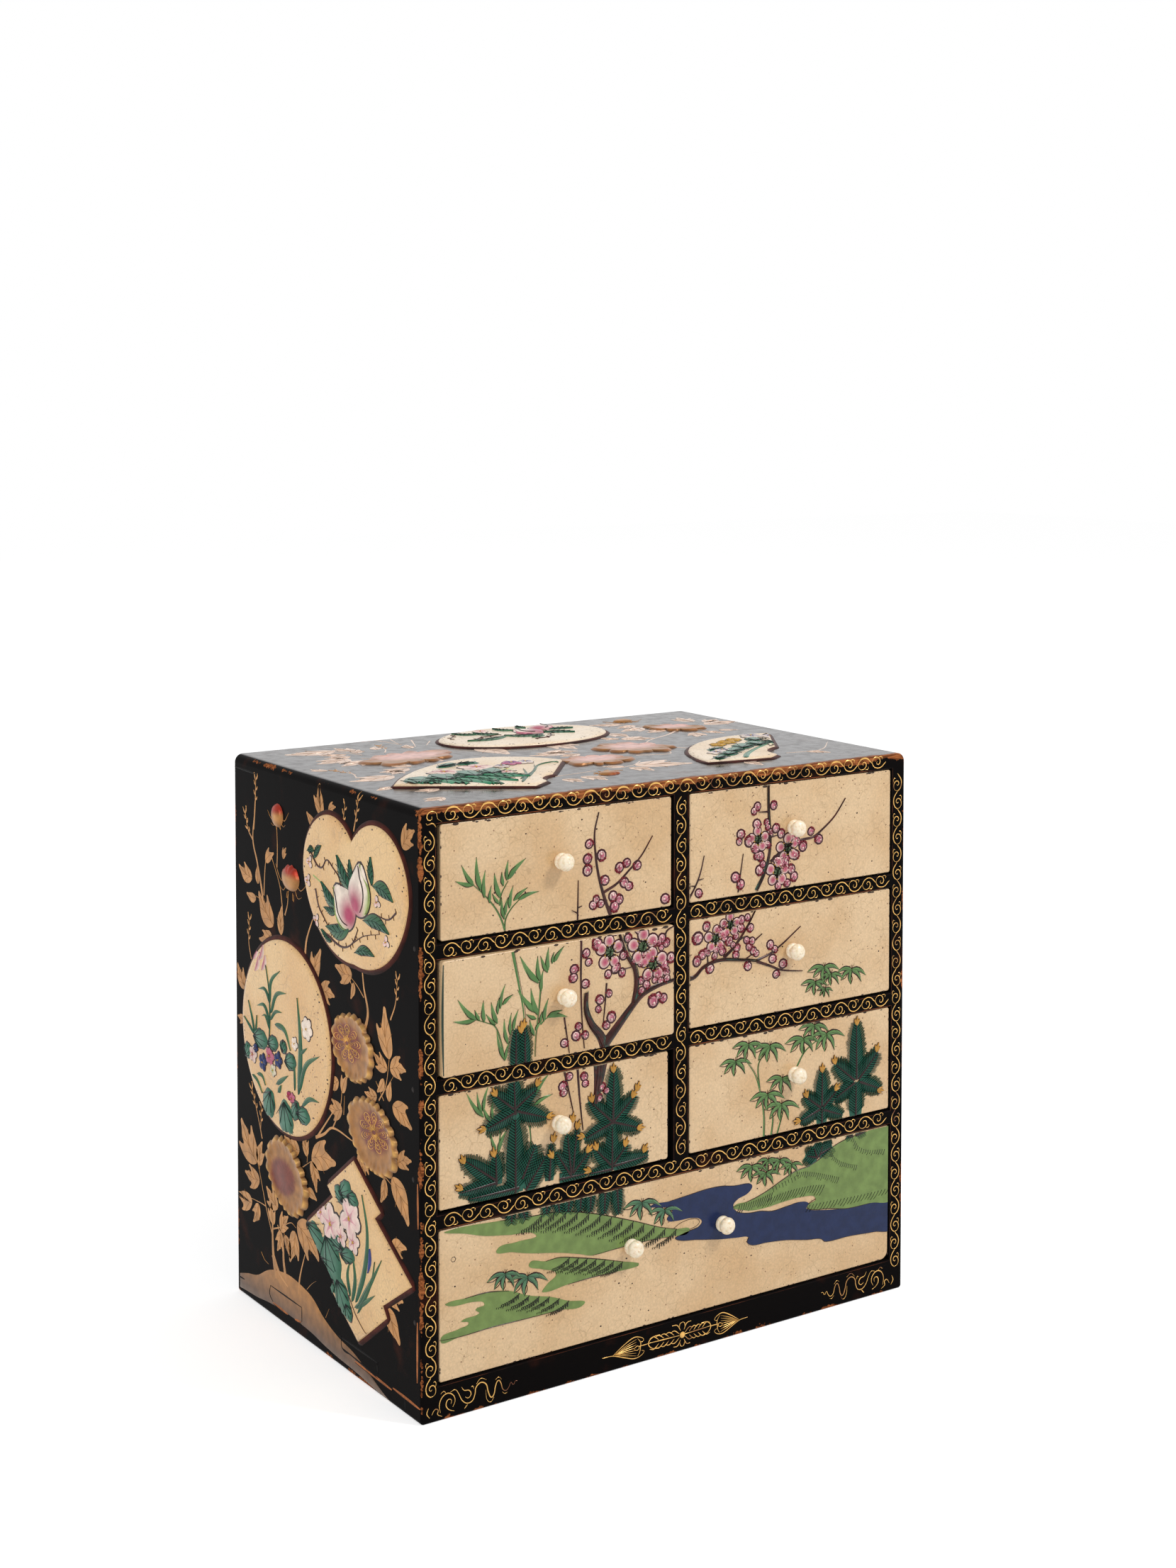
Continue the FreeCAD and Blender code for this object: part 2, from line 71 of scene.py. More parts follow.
def shade(code: str) -> Colour:
    """Turns an sRGB hex value such as "#c49a50" into a linear colour.

    Args:
        code: the hex value with its leading hash.

    Returns:
        Red, green, blue and a full alpha, all linear.
    """
    parts = [int(code[i : i + 2], 16) / 255 for i in (1, 3, 5)]
    linear = [c / 12.92 if c <= 0.04045 else ((c + 0.055) / 1.055) ** 2.4 for c in parts]
    return (linear[0], linear[1], linear[2], 1.0)


def between(first: Colour, second: Colour, amount: float) -> Colour:
    """Mixes two colours; an amount of 0 is the first and 1 the second."""
    amount = min(1.0, max(0.0, amount))
    return (*(a + (b - a) * amount for a, b in zip(first[:3], second)), 1.0)


def polar(centre: Point, far: float, turn: float) -> Point:
    """Gives the place at a distance and an angle in radians from a centre."""
    return (centre[0] + far * math.cos(turn), centre[1] + far * math.sin(turn))


def oval(size: Point, turn: float) -> float:
    """Gives how far the edge of an oval with two radii lies from its middle, at an angle in radians."""
    return size[0] * size[1] / math.hypot(size[1] * math.cos(turn), size[0] * math.sin(turn))


def smooth_line(points: Sequence[Point], closed: bool = False) -> list[Vector]:
    """Draws a smooth line through a few given points.

    Args:
        points: the places that the line passes, in millimetres on a face.
        closed: whether the line returns to its first point.

    Returns:
        Places close together along the line.
    """
    knots = [Vector((x, y)) for x, y in points]
    count = len(knots)
    line: list[Vector] = []
    for i in range(count if closed else count - 1):
        start, end = knots[i], knots[(i + 1) % count]
        before = knots[i - 1] if closed or i else start
        after = knots[(i + 2) % count] if closed or i + 2 < count else end
        reach = (end - start).length / 3
        lead = (end - before).normalized() * reach
        trail = (after - start).normalized() * reach
        line += interpolate_bezier(start, start + lead, end - trail, end, CURVE_POINTS)[:-1]
    return line if closed else [*line, knots[-1]]


def walk(points: Sequence[Point], step: float, straight: bool = False) -> list[tuple[Vector, Vector]]:
    """Walks along a line in even steps.

    Args:
        points: the places that the line passes, in millimetres.
        step: the wanted distance between two steps.
        straight: whether the line keeps its corners instead of running smoothly.

    Returns:
        Each step's place and the unit vector to its left.
    """
    line = [Vector(point) for point in points] if straight else smooth_line(points)
    lengths = [0.0]
    for a, b in zip(line, line[1:]):
        lengths.append(lengths[-1] + (b - a).length)
    steps = max(2, round(lengths[-1] / step))
    places: list[Vector] = []
    k = 0
    for i in range(steps + 1):
        goal = lengths[-1] * i / steps
        while k < len(lengths) - 2 and lengths[k + 1] < goal:
            k += 1
        part = (goal - lengths[k]) / max(1e-9, lengths[k + 1] - lengths[k])
        places.append(line[k].lerp(line[k + 1], part))
    pairs: list[tuple[Vector, Vector]] = []
    for i, place in enumerate(places):
        ahead = places[min(i + 1, steps)] - places[max(i - 1, 0)]
        ahead = ahead.normalized() if ahead.length else Vector((1, 0))
        pairs.append((place, Vector((-ahead.y, ahead.x))))
    return pairs


class Outline(Enum):
    """How the width of a brush mark changes from its start to its tip."""

    EVEN = "even"
    TAPER = "taper"
    SWELL = "swell"
    COMMA = "comma"
    BLADE = "blade"
    LEAF = "leaf"
    FEATHER = "feather"

    def width(self, t: float) -> float:
        """Gives a mark's width at one place.

        Args:
            t: the share of the way from its start, 0, to its tip, 1.

        Returns:
            The share of its full width.
        """
        if self is Outline.EVEN:
            return (1 - (2 * t - 1) ** 12) ** 0.5 if 0 < t < 1 else 0.45
        if self is Outline.TAPER:
            return 1 - 0.7 * t
        if self is Outline.SWELL:
            return 0.4 + 0.6 * math.sin(math.pi * t)
        if self is Outline.COMMA:
            return 0.35 + 0.65 * math.sin(math.pi * t**1.8)
        if self is Outline.BLADE:
            return 0.15 + 1.0 * math.sin(math.pi * t**0.62) ** 0.8 - 0.15 * t
        if self is Outline.LEAF:
            return 0.06 + 0.94 * math.sin(math.pi * t**0.85)
        return (1 - t**3) ** 0.6 * (0.82 + 0.18 * math.sin(math.pi * t)) + 0.02


class Slot(Enum):
    """The record's material slots."""

    LACQUER = "black_lacquer"
    GLAZE = "crackle_glaze"
    PLAQUE = "plaque_ceramic"
    KNOB = "knob_bone"


# ---------------------------------------------------------------- faces and marks


def level(_along: float, _up: float) -> float:
    """The height of a flat face."""
    return 0.0


@dataclass(frozen=True)
class Face:
    """One side of the chest with a millimetre ruler along it, up it and out of it."""

    origin: Vector
    along: Vector
    up: Vector
    out: Vector
    rise: Height = level

    def at(self, x: float, y: float, lift: float = 0.0) -> Vector:
        """Gives a place on the face in metres, lifted off its surface by some millimetres."""
        out = lift + self.rise(x, y)
        return (self.origin + self.along * x + self.up * y + self.out * out) * MM

    @property
    def mirrored(self) -> bool:
        """Whether marks laid on the face come out with their faces turned in."""
        return self.along.cross(self.up).dot(self.out) < 0

    def raised(self, rise: Height) -> "Face":
        """Gives the same face with a surface that is lifted as the function says."""
        return Face(self.origin, self.along, self.up, self.out, rise)


# Along, up and out of every face that looks to the front.
TO_THE_FRONT = (Vector((1, 0, 0)), Vector((0, 0, 1)), Vector((0, -1, 0)))


class Relief:
    """Raised marks on one face, gathered in one mesh with a paint colour at every point."""

    # Millimetres that the edges of a mark dip under the surface, and points that a mesh holds before
    # it is set aside.
    SUNK = -0.12
    FULL = 700

    def __init__(self, face: Face, seed: int = 1) -> None:
        """Starts an empty relief.

        Args:
            face: the side that the marks lie on.
            seed: the seed of every small chance variation.
        """
        self.face = face
        self.rng = random.Random(seed)
        self.aside: list[bpy.types.Mesh] = []
        self.fresh_sheet()

    def fresh_sheet(self) -> None:
        """Starts an empty mesh for the next marks."""
        self.bm = bmesh.new()
        self.paint = self.bm.verts.layers.float_color.new("paint")

    def set_aside(self) -> None:
        """Sets the marks aside once the mesh is full, as operators slow down on a large one."""
        if len(self.bm.verts) > self.FULL:
            mesh = bpy.data.meshes.new("aside")
            self.bm.to_mesh(mesh)
            self.bm.free()
            self.aside.append(mesh)
            self.fresh_sheet()

    def gather(self) -> None:
        """Brings all the marks together in one mesh."""
        for mesh in self.aside:
            self.bm.from_mesh(mesh)
            bpy.data.meshes.remove(mesh)
        self.aside.clear()

    def stroke(
        self, points: Sequence[Point], width: float, ink: Ink, outline: Outline = Outline.SWELL,
        lift: float = 0.1, swell: float = 0.2, across: int = 4, step: float = 1.3, straight: bool = False,
        over: float = 0.0,
    ) -> None:
        """Lays one brush mark along a line, rounded across and sunk at its edges.

        Args:
            points: the places that the mark passes.
            width: its full width in millimetres.
            ink: its colour, or a function of the share along and the side from -1 to 1.
            outline: how its width changes.
            lift: the height of its shoulders.
            swell: how much higher its middle stands.
            across: how many faces it has from side to side.
            step: the length of one face.
            straight: whether the line keeps its corners.
            over: the height of the paint that the mark lies on.
        """
        self.set_aside()
        steps = walk(points, step, straight)
        last = len(steps) - 1
        made = bmesh.ops.create_grid(self.bm, x_segments=last, y_segments=across, size=0.5)
        for vert in made["verts"]:
            t, side = vert.co.x + 0.5, vert.co.y * 2
            place, left = steps[round(t * last)]
            reach = width / 2 * outline.width(t) * side
            height = lift + swell * (1 - side * side) if abs(side) < 0.99 else self.SUNK
            vert.co = self.face.at(place.x + left.x * reach, place.y + left.y * reach, over + height)
            vert[self.paint] = ink(t, side) if callable(ink) else ink

    def bead(
        self, centre: Point, radius: float, ink: Colour, rim: Colour | None = None, height: float = 0.6,
        squash: float = 1.0, turn: float = 0.0, segments: int = 10,
    ) -> None:
        """Lays one rounded drop, half sunk in the face.

        Args:
            centre: its middle.
            radius: its longer radius.
            ink: the colour of its middle.
            rim: the colour at its edge, or None for one colour.
            height: how high it stands.
            squash: its shorter radius as a share of the longer one.
            turn: the angle of the longer radius in radians.
            segments: how many faces go round it.
        """
        self.set_aside()
        made = bmesh.ops.create_uvsphere(self.bm, u_segments=segments, v_segments=6, radius=1.0)
        cos, sin = math.cos(turn), math.sin(turn)
        for vert in made["verts"]:
            x, y, z = vert.co
            a, b = x * radius, y * radius * squash
            vert.co = self.face.at(centre[0] + a * cos - b * sin, centre[1] + a * sin + b * cos, z * height)
            vert[self.paint] = between(ink, rim or ink, (x * x + y * y) ** 1.2)

    def disc(
        self, centre: Point, reach: Callable[[float], float], height: Height,
        ink: Callable[[float, float], Colour], rings: int, segments: int,
    ) -> None:
        """Lays one rounded shape whose edge, height and colour change round its middle.

        Args:
            centre: its middle.
            reach: the distance to its edge at an angle in radians.
            height: its height at a share of that distance and an angle.
            ink: its colour at a share of that distance and an angle.
            rings: how many faces lie between the middle and the edge.
            segments: how many faces go round it.
        """
        self.set_aside()
        made = bmesh.ops.create_grid(self.bm, x_segments=segments, y_segments=rings, size=0.5)["verts"]
        for vert in made:
            turn, share = math.pi * (1 - 2 * vert.co.x), vert.co.y + 0.5
            lift = self.SUNK if share > 0.999 else height(share, turn)
            vert.co = self.face.at(*polar(centre, reach(turn) * share, turn), lift)
            vert[self.paint] = ink(share, turn)
        bmesh.ops.remove_doubles(self.bm, verts=made, dist=0.001 * MM)

    def patch(self, points: Sequence[Point], ink: Colour, height: float = 0.18) -> None:
        """Fills an area with an even coat that stands a little off the face.

        Args:
            points: the given points of its smooth closed edge.
            ink: its colour.
            height: the thickness of the coat.
        """
        edge = smooth_line(points, closed=True)
        rim = [self.bm.verts.new(self.face.at(p.x, p.y, height)) for p in edge]
        top = self.bm.faces.new(rim)
        made = bmesh.ops.extrude_edge_only(self.bm, edges=list(top.edges))["geom"]
        skirt = [part for part in made if isinstance(part, bmesh.types.BMVert)]
        walls = [part for part in made if isinstance(part, bmesh.types.BMFace)]
        bmesh.ops.translate(self.bm, verts=skirt, vec=-self.face.out * (height - self.SUNK) * MM)
        bmesh.ops.recalc_face_normals(self.bm, faces=[top, *walls])
        if top.normal.dot(self.face.along.cross(self.face.up)) < 0:
            bmesh.ops.reverse_faces(self.bm, faces=[top, *walls])
        for vert in [*rim, *skirt]:
            vert[self.paint] = ink

    def trim(self, low: Point, high: Point) -> None:
        """Cuts off whatever reaches past a rectangle of the face.

        Args:
            low: its lower left corner.
            high: its upper right corner.
        """
        self.gather()
        for corner, sign in ((low, -1), (high, 1)):
            for axis in (self.face.along, self.face.up):
                parts = [*self.bm.verts, *self.bm.edges, *self.bm.faces]
                plane = {"plane_co": self.face.at(*corner), "plane_no": axis * sign}
                bmesh.ops.bisect_plane(self.bm, geom=parts, clear_outer=True, **plane)

    def settle(self, name: str, finish: bpy.types.Material, body: str, slot: Slot) -> None:
        """Turns the marks into one piece of the chest.

        Args:
            name: the piece's name.
            finish: its material.
            body: the body that it rides on.
            slot: the record's material slot, handed on to add_piece.
        """
        self.gather()
        if self.face.mirrored:
            bmesh.ops.reverse_faces(self.bm, faces=self.bm.faces[:])
        add_piece(name, self.bm, finish, body, slot, sharp=55)


def add_piece(
    name: str, bm: bmesh.types.BMesh, finish: bpy.types.Material, body: str, slot: Slot, sharp: float
) -> bpy.types.Object:
    """Makes an object of a mesh under construction and hangs it on its body.

    Args:
        name: the piece's name.
        bm: the mesh, which is freed.
        finish: its material.
        body: the body that it rides on.
        slot: not used.
        sharp: edges steeper than this many degrees stay crisp.

    Returns:
        The finished piece.
    """
    mesh = bpy.data.meshes.new(name)
    bm.to_mesh(mesh)
    bm.free()
    mesh.shade_smooth()
    mesh.set_sharp_from_angle(angle=math.radians(sharp))
    mesh.materials.append(finish)
    piece = bpy.data.objects.new(name, mesh)
    bpy.context.scene.collection.objects.link(piece)
    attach(piece, body)
    log.info("%s on %s: %d faces", name, body, len(mesh.polygons))
    return piece


# ---------------------------------------------------------------- finishes

SMOOTH = {"interpolation_type": "SMOOTHSTEP"}
COLOURS = {"output": 2, "data_type": "RGBA"}
TIMES = {"operation": "MULTIPLY"}
PLUS = {"operation": "ADD"}
MINUS = {"operation": "SUBTRACT"}


def per(size: float) -> float:
    """Gives the texture scale whose patches are size millimetres wide."""
    return 1 / (size * MM)


class Recipe:
    """The nodes of one material, or of the world."""

    def __init__(self, name: str, kind: str = "materials", shader: str = "Principled BSDF") -> None:
        """Starts from the main shader of a new data-block.

        Args:
            name: its name.
            kind: the list of bpy.data that it is added to.
            shader: the name of its main shader.
        """
        self.block = getattr(bpy.data, kind).new(name)
        self.block.use_nodes = True
        self.tree = self.block.node_tree
        self.shader = self.tree.nodes[shader]

    @cached_property
    def place(self) -> bpy.types.NodeSocket:
        """The place on the object that a pattern follows."""
        return self.add("TexCoord", output="Object")

    def fill(self, socket: bpy.types.NodeSocket, value: object) -> None:
        """Gives an input its value, or a link where the value is another node's output.

        Args:
            socket: the input.
            value: its value, or the output to link.
        """
        if isinstance(value, bpy.types.NodeSocket):
            self.tree.links.new(value, socket)
        else:
            socket.default_value = value

    def add(
        self, kind: str, sockets: dict | None = None, output: int | str = 0, **settings: object
    ) -> bpy.types.NodeSocket | bpy.types.Node:
        """Adds one node with its settings and fills its sockets.

        Args:
            kind: the node's type, without its ShaderNode prefix.
            sockets: what each input gets: a value, or another node's output to link.
            output: the output to give back.
            settings: the node's own properties.

        Returns:
            That output, or the node itself where output is "node".
        """
        node = self.tree.nodes.new("ShaderNode" + kind)
        for name, value in settings.items():
            setattr(node, name, value)
        for name, value in (sockets or {}).items():
            self.fill(node.inputs[name], value)
        return node if output == "node" else node.outputs[output]

    def finish(self, **inputs: object) -> bpy.types.Material | bpy.types.World:
        """Fills the main shader's inputs, with underscores for spaces in their names.

        Args:
            inputs: a value, or an output to link, for each input.

        Returns:
            The finished data-block.
        """
        for name, value in inputs.items():
            self.fill(self.shader.inputs[name.replace("_", " ")], value)
        return self.block


@dataclass(frozen=True)
class CrackleGlaze:
    """Cream earthenware under a thick clear glaze that crazed as it cooled, fired in a smoky kiln.

    The eye gets warm clouds, pale hair cracks, rust-coloured pinholes and a wet shine.
    """

    name: str
    light: str = "#d9ba91"
    warm: str = "#cca779"
    crack: str = "#a98a62"
    speck: str = "#7a5433"
    cloud_size: float = 48.0
    cell_size: float = 5.5
    speck_size: float = 1.6
    specks: float = 0.6
    roughness: float = 0.3

    def material(self) -> bpy.types.Material:
        """Builds the material.

        Returns:
            The finished material.
        """
        mix = Recipe(self.name)
        clouds = mix.add("TexNoise", {"Vector": mix.place, "Scale": per(self.cloud_size), "Detail": 4})
        clouds = mix.add("MapRange", {0: clouds, 1: 0.35, 2: 0.68}, **SMOOTH)
        body = mix.add("Mix", {0: clouds, 6: shade(self.light), 7: shade(self.warm)}, **COLOURS)
        grain = mix.add("TexNoise", {"Vector": mix.place, "Scale": per(1.1), "Detail": 3})
        grain = mix.add("MapRange", {0: grain, 1: 0.3, 2: 0.75, 3: 0.9, 4: 1.07}, **SMOOTH)
        body = mix.add("Mix", {0: 1.0, 6: body, 7: grain}, blend_type="MULTIPLY", **COLOURS)
        wobble = mix.add("TexNoise", {"Vector": mix.place, "Scale": per(4)}, output=1)
        bent = mix.add("Mix", {0: 0.0025, 6: mix.place, 7: wobble}, blend_type="ADD", **COLOURS)
        cells = {"Vector": bent, "Scale": per(self.cell_size)}
        cells = mix.add("TexVoronoi", cells, feature="DISTANCE_TO_EDGE")
        thread = mix.add("MapRange", {0: cells, 1: 0.0, 2: 0.05, 3: 1.0, 4: 0.0}, **SMOOTH)
        patchy = mix.add("TexNoise", {"Vector": mix.place, "Scale": per(14)})
        patchy = mix.add("MapRange", {0: patchy, 1: 0.42, 2: 0.62}, **SMOOTH)
        seen = mix.add("Math", {0: thread, 1: patchy}, **TIMES)
        faint = mix.add("Math", {0: seen, 1: 0.5}, **TIMES)
        body = mix.add("Mix", {0: faint, 6: body, 7: shade(self.crack)}, **COLOURS)
        spots = mix.add("TexVoronoi", {"Vector": mix.place, "Scale": per(self.speck_size)}, output="node")
        chance = mix.add("SeparateColor", {0: spots.outputs["Color"]}, output="node")
        few = mix.add("MapRange", {0: chance.outputs[0], 1: self.specks, 2: 1.0, 3: 0.0, 4: 0.28}, **SMOOTH)
        dot = mix.add("Math", {0: spots.outputs["Distance"], 1: few}, operation="LESS_THAN")
        depth = mix.add("MapRange", {0: chance.outputs[1], 3: 0.25, 4: 0.85}, **SMOOTH)
        dot = mix.add("Math", {0: dot, 1: depth}, **TIMES)
        body = mix.add("Mix", {0: dot, 6: body, 7: shade(self.speck)}, **COLOURS)
        peel = mix.add("TexNoise", {"Vector": mix.place, "Scale": per(2.6), "Detail": 3})
        groove = mix.add("Math", {0: seen, 1: 0.3}, **TIMES)
        peel = mix.add("Math", {0: peel, 1: groove}, **MINUS)
        bump = mix.add("Bump", {"Height": peel, "Distance": 0.16 * MM})
        return mix.finish(Base_Color=body, Roughness=self.roughness, Normal=bump)


@dataclass(frozen=True)
class Urushi:
    """Black lacquer over softwood, rubbed through to red undercoat and bare wood along the arrises.

    The eye gets a deep soft black, a reddish line where it thins, orange-brown wood at the edges and, on the
    top, which has been wiped most, a brighter polish over a brown-grey painted sheen that lightens its
    colour.
    """

    name: str
    low: Vector
    high: Vector
    black: str = "#0d0b0b"
    thin: str = "#4a2418"
    wood: str = "#a5633a"
    dark_wood: str = "#5f341d"
    # The brown-grey of the painted sheen that the top's colour is mixed towards.
    painted_top_sheen: str = "#4a3833"
    front_wear: float = 2.0
    wear_size: float = 16.0

    def arris_distance(self, mix: Recipe) -> bpy.types.NodeSocket:
        """Finds the distance in metres from a place on the case to its nearest outer edge.

        Args:
            mix: the recipe that gets the nodes.

        Returns:
            The output with the distance.
        """
        middle, half = (self.low + self.high) / 2, (self.high - self.low) / 2
        offset = mix.add("VectorMath", {0: mix.place, 1: middle}, **MINUS)
        away = mix.add("VectorMath", {0: offset}, operation="ABSOLUTE")
        depth = mix.add("VectorMath", {0: half, 1: away}, **MINUS)
        x, y, z = mix.add("SeparateXYZ", {0: depth}, output="node").outputs
        least = mix.add("Math", {0: x, 1: y}, operation="MINIMUM")
        most = mix.add("Math", {0: x, 1: y}, operation="MAXIMUM")
        inner = mix.add("Math", {0: most, 1: z}, operation="MINIMUM")
        return mix.add("Math", {0: least, 1: inner}, operation="MAXIMUM")

    def lip_distance(self, mix: Recipe) -> bpy.types.NodeSocket:
        """Finds the distance in metres to the top edge of the front, the most handled one.

        Args:
            mix: the recipe that gets the nodes.

        Returns:
            The output with the distance.
        """
        x, y, z = mix.add("SeparateXYZ", {0: mix.place}, output="node").outputs
        back = mix.add("Math", {0: y, 1: self.low.y}, **MINUS)
        down = mix.add("Math", {0: self.high.z, 1: z}, **MINUS)
        return mix.add("Math", {0: back, 1: down}, operation="MAXIMUM")

    def material(self) -> bpy.types.Material:
        """Builds the material.

        Returns:
            The finished material.
        """
        mix = Recipe(self.name)
        spread = mix.add("TexNoise", {"Vector": mix.place, "Scale": per(self.wear_size), "Detail": 5})
        fray = mix.add("TexNoise", {"Vector": mix.place, "Scale": per(1.6), "Detail": 2})
        fray = mix.add("MapRange", {0: fray, 1: 0.25, 2: 0.75, 3: -0.6 * MM, 4: 0.6 * MM}, **SMOOTH)
        worn = mix.add("MapRange", {0: spread, 1: 0.42, 2: 0.7, 3: -0.3 * MM, 4: 2.4 * MM}, **SMOOTH)
        worn = mix.add("Math", {0: worn, 1: fray}, **PLUS)
        edge = mix.add("Math", {0: worn, 1: self.arris_distance(mix)}, **MINUS)
        bare = mix.add("MapRange", {0: edge, 1: -0.15 * MM, 2: 0.25 * MM}, **SMOOTH)
        narrow, wide = 0.7 * self.front_wear * MM, 2.0 * self.front_wear * MM
        reach = mix.add("MapRange", {0: spread, 1: 0.3, 2: 0.7, 3: narrow, 4: wide}, **SMOOTH)
        reach = mix.add("Math", {0: reach, 1: fray}, **PLUS)
        lip = mix.add("Math", {0: reach, 1: self.lip_distance(mix)}, **MINUS)
        lip = mix.add("MapRange", {0: lip, 1: -0.2 * MM, 2: 0.35 * MM}, **SMOOTH)
        bare = mix.add("Math", {0: bare, 1: lip}, operation="MAXIMUM")
        grain = mix.add("Mapping", {"Vector": mix.place, "Scale": (0.12, 1.0, 1.0)})
        grain = mix.add("TexNoise", {"Vector": grain, "Scale": per(0.9), "Detail": 3})
        grain = mix.add("MapRange", {0: grain, 1: 0.35, 2: 0.65}, **SMOOTH)
        wood = mix.add("Mix", {0: grain, 6: shade(self.wood), 7: shade(self.dark_wood)}, **COLOURS)
        tired = mix.add("TexNoise", {"Vector": mix.place, "Scale": per(22), "Detail": 6})
        tired = mix.add("MapRange", {0: tired, 1: 0.56, 2: 0.8, 3: 0.0, 4: 0.45}, **SMOOTH)
        coat = mix.add("Mix", {0: tired, 6: shade(self.black), 7: shade(self.thin)}, **COLOURS)
        colour = mix.add("Mix", {0: bare, 6: coat, 7: wood}, **COLOURS)
        gloss = mix.add("TexNoise", {"Vector": mix.place, "Scale": per(6), "Detail": 4})
        gloss = mix.add("MapRange", {0: gloss, 1: 0.3, 2: 0.7, 3: 0.12, 4: 0.26}, **SMOOTH)
        rough = mix.add("Mix", {0: bare, 2: gloss, 3: 0.62})
        ripple = mix.add("TexNoise", {"Vector": mix.place, "Scale": per(9), "Detail": 3})
        step = mix.add("Math", {0: bare, 1: 1.5}, **TIMES)
        ripple = mix.add("Math", {0: ripple, 1: step}, **MINUS)
        bump = mix.add("Bump", {"Height": ripple, "Distance": 0.015 * MM})
        _, _, z = mix.add("SeparateXYZ", {0: mix.place}, output="node").outputs
        lid = mix.add("MapRange", {0: z, 1: self.high.z - 0.3 * MM, 2: self.high.z - 0.05 * MM})
        polish = mix.add("MapRange", {0: lid, 3: 0.012, 4: 0.5})
        # Painted sheen: the top's colour is mixed a quarter of the way to a brown-grey, lighter than the
        # black.
        painted_top_sheen = mix.add("Math", {0: lid, 1: 0.25}, **TIMES)
        colour = mix.add("Mix", {0: painted_top_sheen, 6: colour, 7: shade(self.painted_top_sheen)}, **COLOURS)
        return mix.finish(Base_Color=colour, Roughness=rough, Specular_IOR_Level=polish, Normal=bump)


@dataclass(frozen=True)
class PaintedRelief:
    """Enamel or gold lacquer, painted thick: each mark keeps its own colour in its paint attribute.

    The eye gets slightly uneven colour, pooled and thinned by the brush, with a soft sheen.
    """

    name: str
    roughness: float = 0.24
    unevenness: float = 0.16
    metallic: float = 0.0
    sheen: float = 0.2
    grit: float = 1.4
    depth: float = 0.07

    def material(self) -> bpy.types.Material:
        """Builds the material.

        Returns:
            The finished material.
        """
        mix = Recipe(self.name)
        paint = mix.add("Attribute", output="Color", attribute_name="paint")
        cloud = mix.add("TexNoise", {"Vector": mix.place, "Scale": per(5), "Detail": 4})
        thin, thick = 1 - self.unevenness, 1 + self.unevenness
        cloud = mix.add("MapRange", {0: cloud, 1: 0.25, 2: 0.75, 3: thin, 4: thick}, **SMOOTH)
        colour = mix.add("Mix", {0: 1.0, 6: paint, 7: cloud}, blend_type="MULTIPLY", **COLOURS)
        skin = mix.add("TexNoise", {"Vector": mix.place, "Scale": per(self.grit), "Detail": 2})
        bump = mix.add("Bump", {"Height": skin, "Distance": self.depth * MM})
        shine = {"Roughness": self.roughness, "Metallic": self.metallic, "Specular IOR Level": self.sheen}
        return mix.finish(Base_Color=colour, Normal=bump, **shine)


@dataclass(frozen=True)
class TurnedBone:
    """Ivory-coloured bone, turned on a lathe and polished by hands.

    The eye gets a warm cream with faint lengthwise streaks and a soft wax shine.
    """

    name: str
    pale: str = "#f6e8cf"
    deep: str = "#e2c9a0"

    def material(self) -> bpy.types.Material:
        """Builds the material.

        Returns:
            The finished material.
        """
        mix = Recipe(self.name)
        grain = mix.add("Mapping", {"Vector": mix.place, "Scale": (1.0, 0.2, 1.0)})
        streaks = mix.add("TexNoise", {"Vector": grain, "Scale": per(1.2), "Detail": 3})
        faint = mix.add("MapRange", {0: streaks, 1: 0.4, 2: 0.8}, **SMOOTH)
        colour = mix.add("Mix", {0: faint, 6: shade(self.pale), 7: shade(self.deep)}, **COLOURS)
        bump = mix.add("Bump", {"Height": streaks, "Distance": 0.03 * MM})
        glow = {"Subsurface Weight": 0.08, "Subsurface Scale": 0.002}
        return mix.finish(Base_Color=colour, Roughness=0.32, Normal=bump, **glow)


@dataclass(frozen=True)
class Paulownia:
    """Light, unvarnished paulownia: planed boards with a straight grain that has browned with age.

    The eye gets fine streaks along each board, from front to back or from side to side, on a dry, matt
    surface.
    """

    name: str
    pale: str = "#bd9462"
    dark: str = "#8f6a40"
    grain_width: float = 1.5

    def material(self) -> bpy.types.Material:
        """Builds the material.

        Returns:
            The finished material.
        """
        mix = Recipe(self.name)
        grains = []
        for scale in ((1.0, 0.02, 1.0), (0.02, 1.0, 1.0)):
            grain = mix.add("Mapping", {"Vector": mix.place, "Scale": scale})
            grains.append(mix.add("TexNoise", {"Vector": grain, "Scale": per(self.grain_width), "Detail": 3}))
        facing = mix.add("TexCoord", output="Normal")
        _, facing, _ = mix.add("SeparateXYZ", {0: facing}, output="node").outputs
        facing = mix.add("Math", {0: facing}, operation="ABSOLUTE")
        streaks = mix.add("Mix", {0: facing, 2: grains[0], 3: grains[1]})
        lines = mix.add("MapRange", {0: streaks, 1: 0.36, 2: 0.66}, **SMOOTH)
        wood = mix.add("Mix", {0: lines, 6: shade(self.pale), 7: shade(self.dark)}, **COLOURS)
        stains = mix.add("TexNoise", {"Vector": mix.place, "Scale": per(40), "Detail": 3})
        stains = mix.add("MapRange", {0: stains, 1: 0.3, 2: 0.7, 3: 0.86, 4: 1.08}, **SMOOTH)
        wood = mix.add("Mix", {0: 1.0, 6: wood, 7: stains}, blend_type="MULTIPLY", **COLOURS)
        bump = mix.add("Bump", {"Height": streaks, "Distance": 0.15 * MM})
        return mix.finish(Base_Color=wood, Roughness=0.68, Normal=bump)


# ---------------------------------------------------------------- motifs


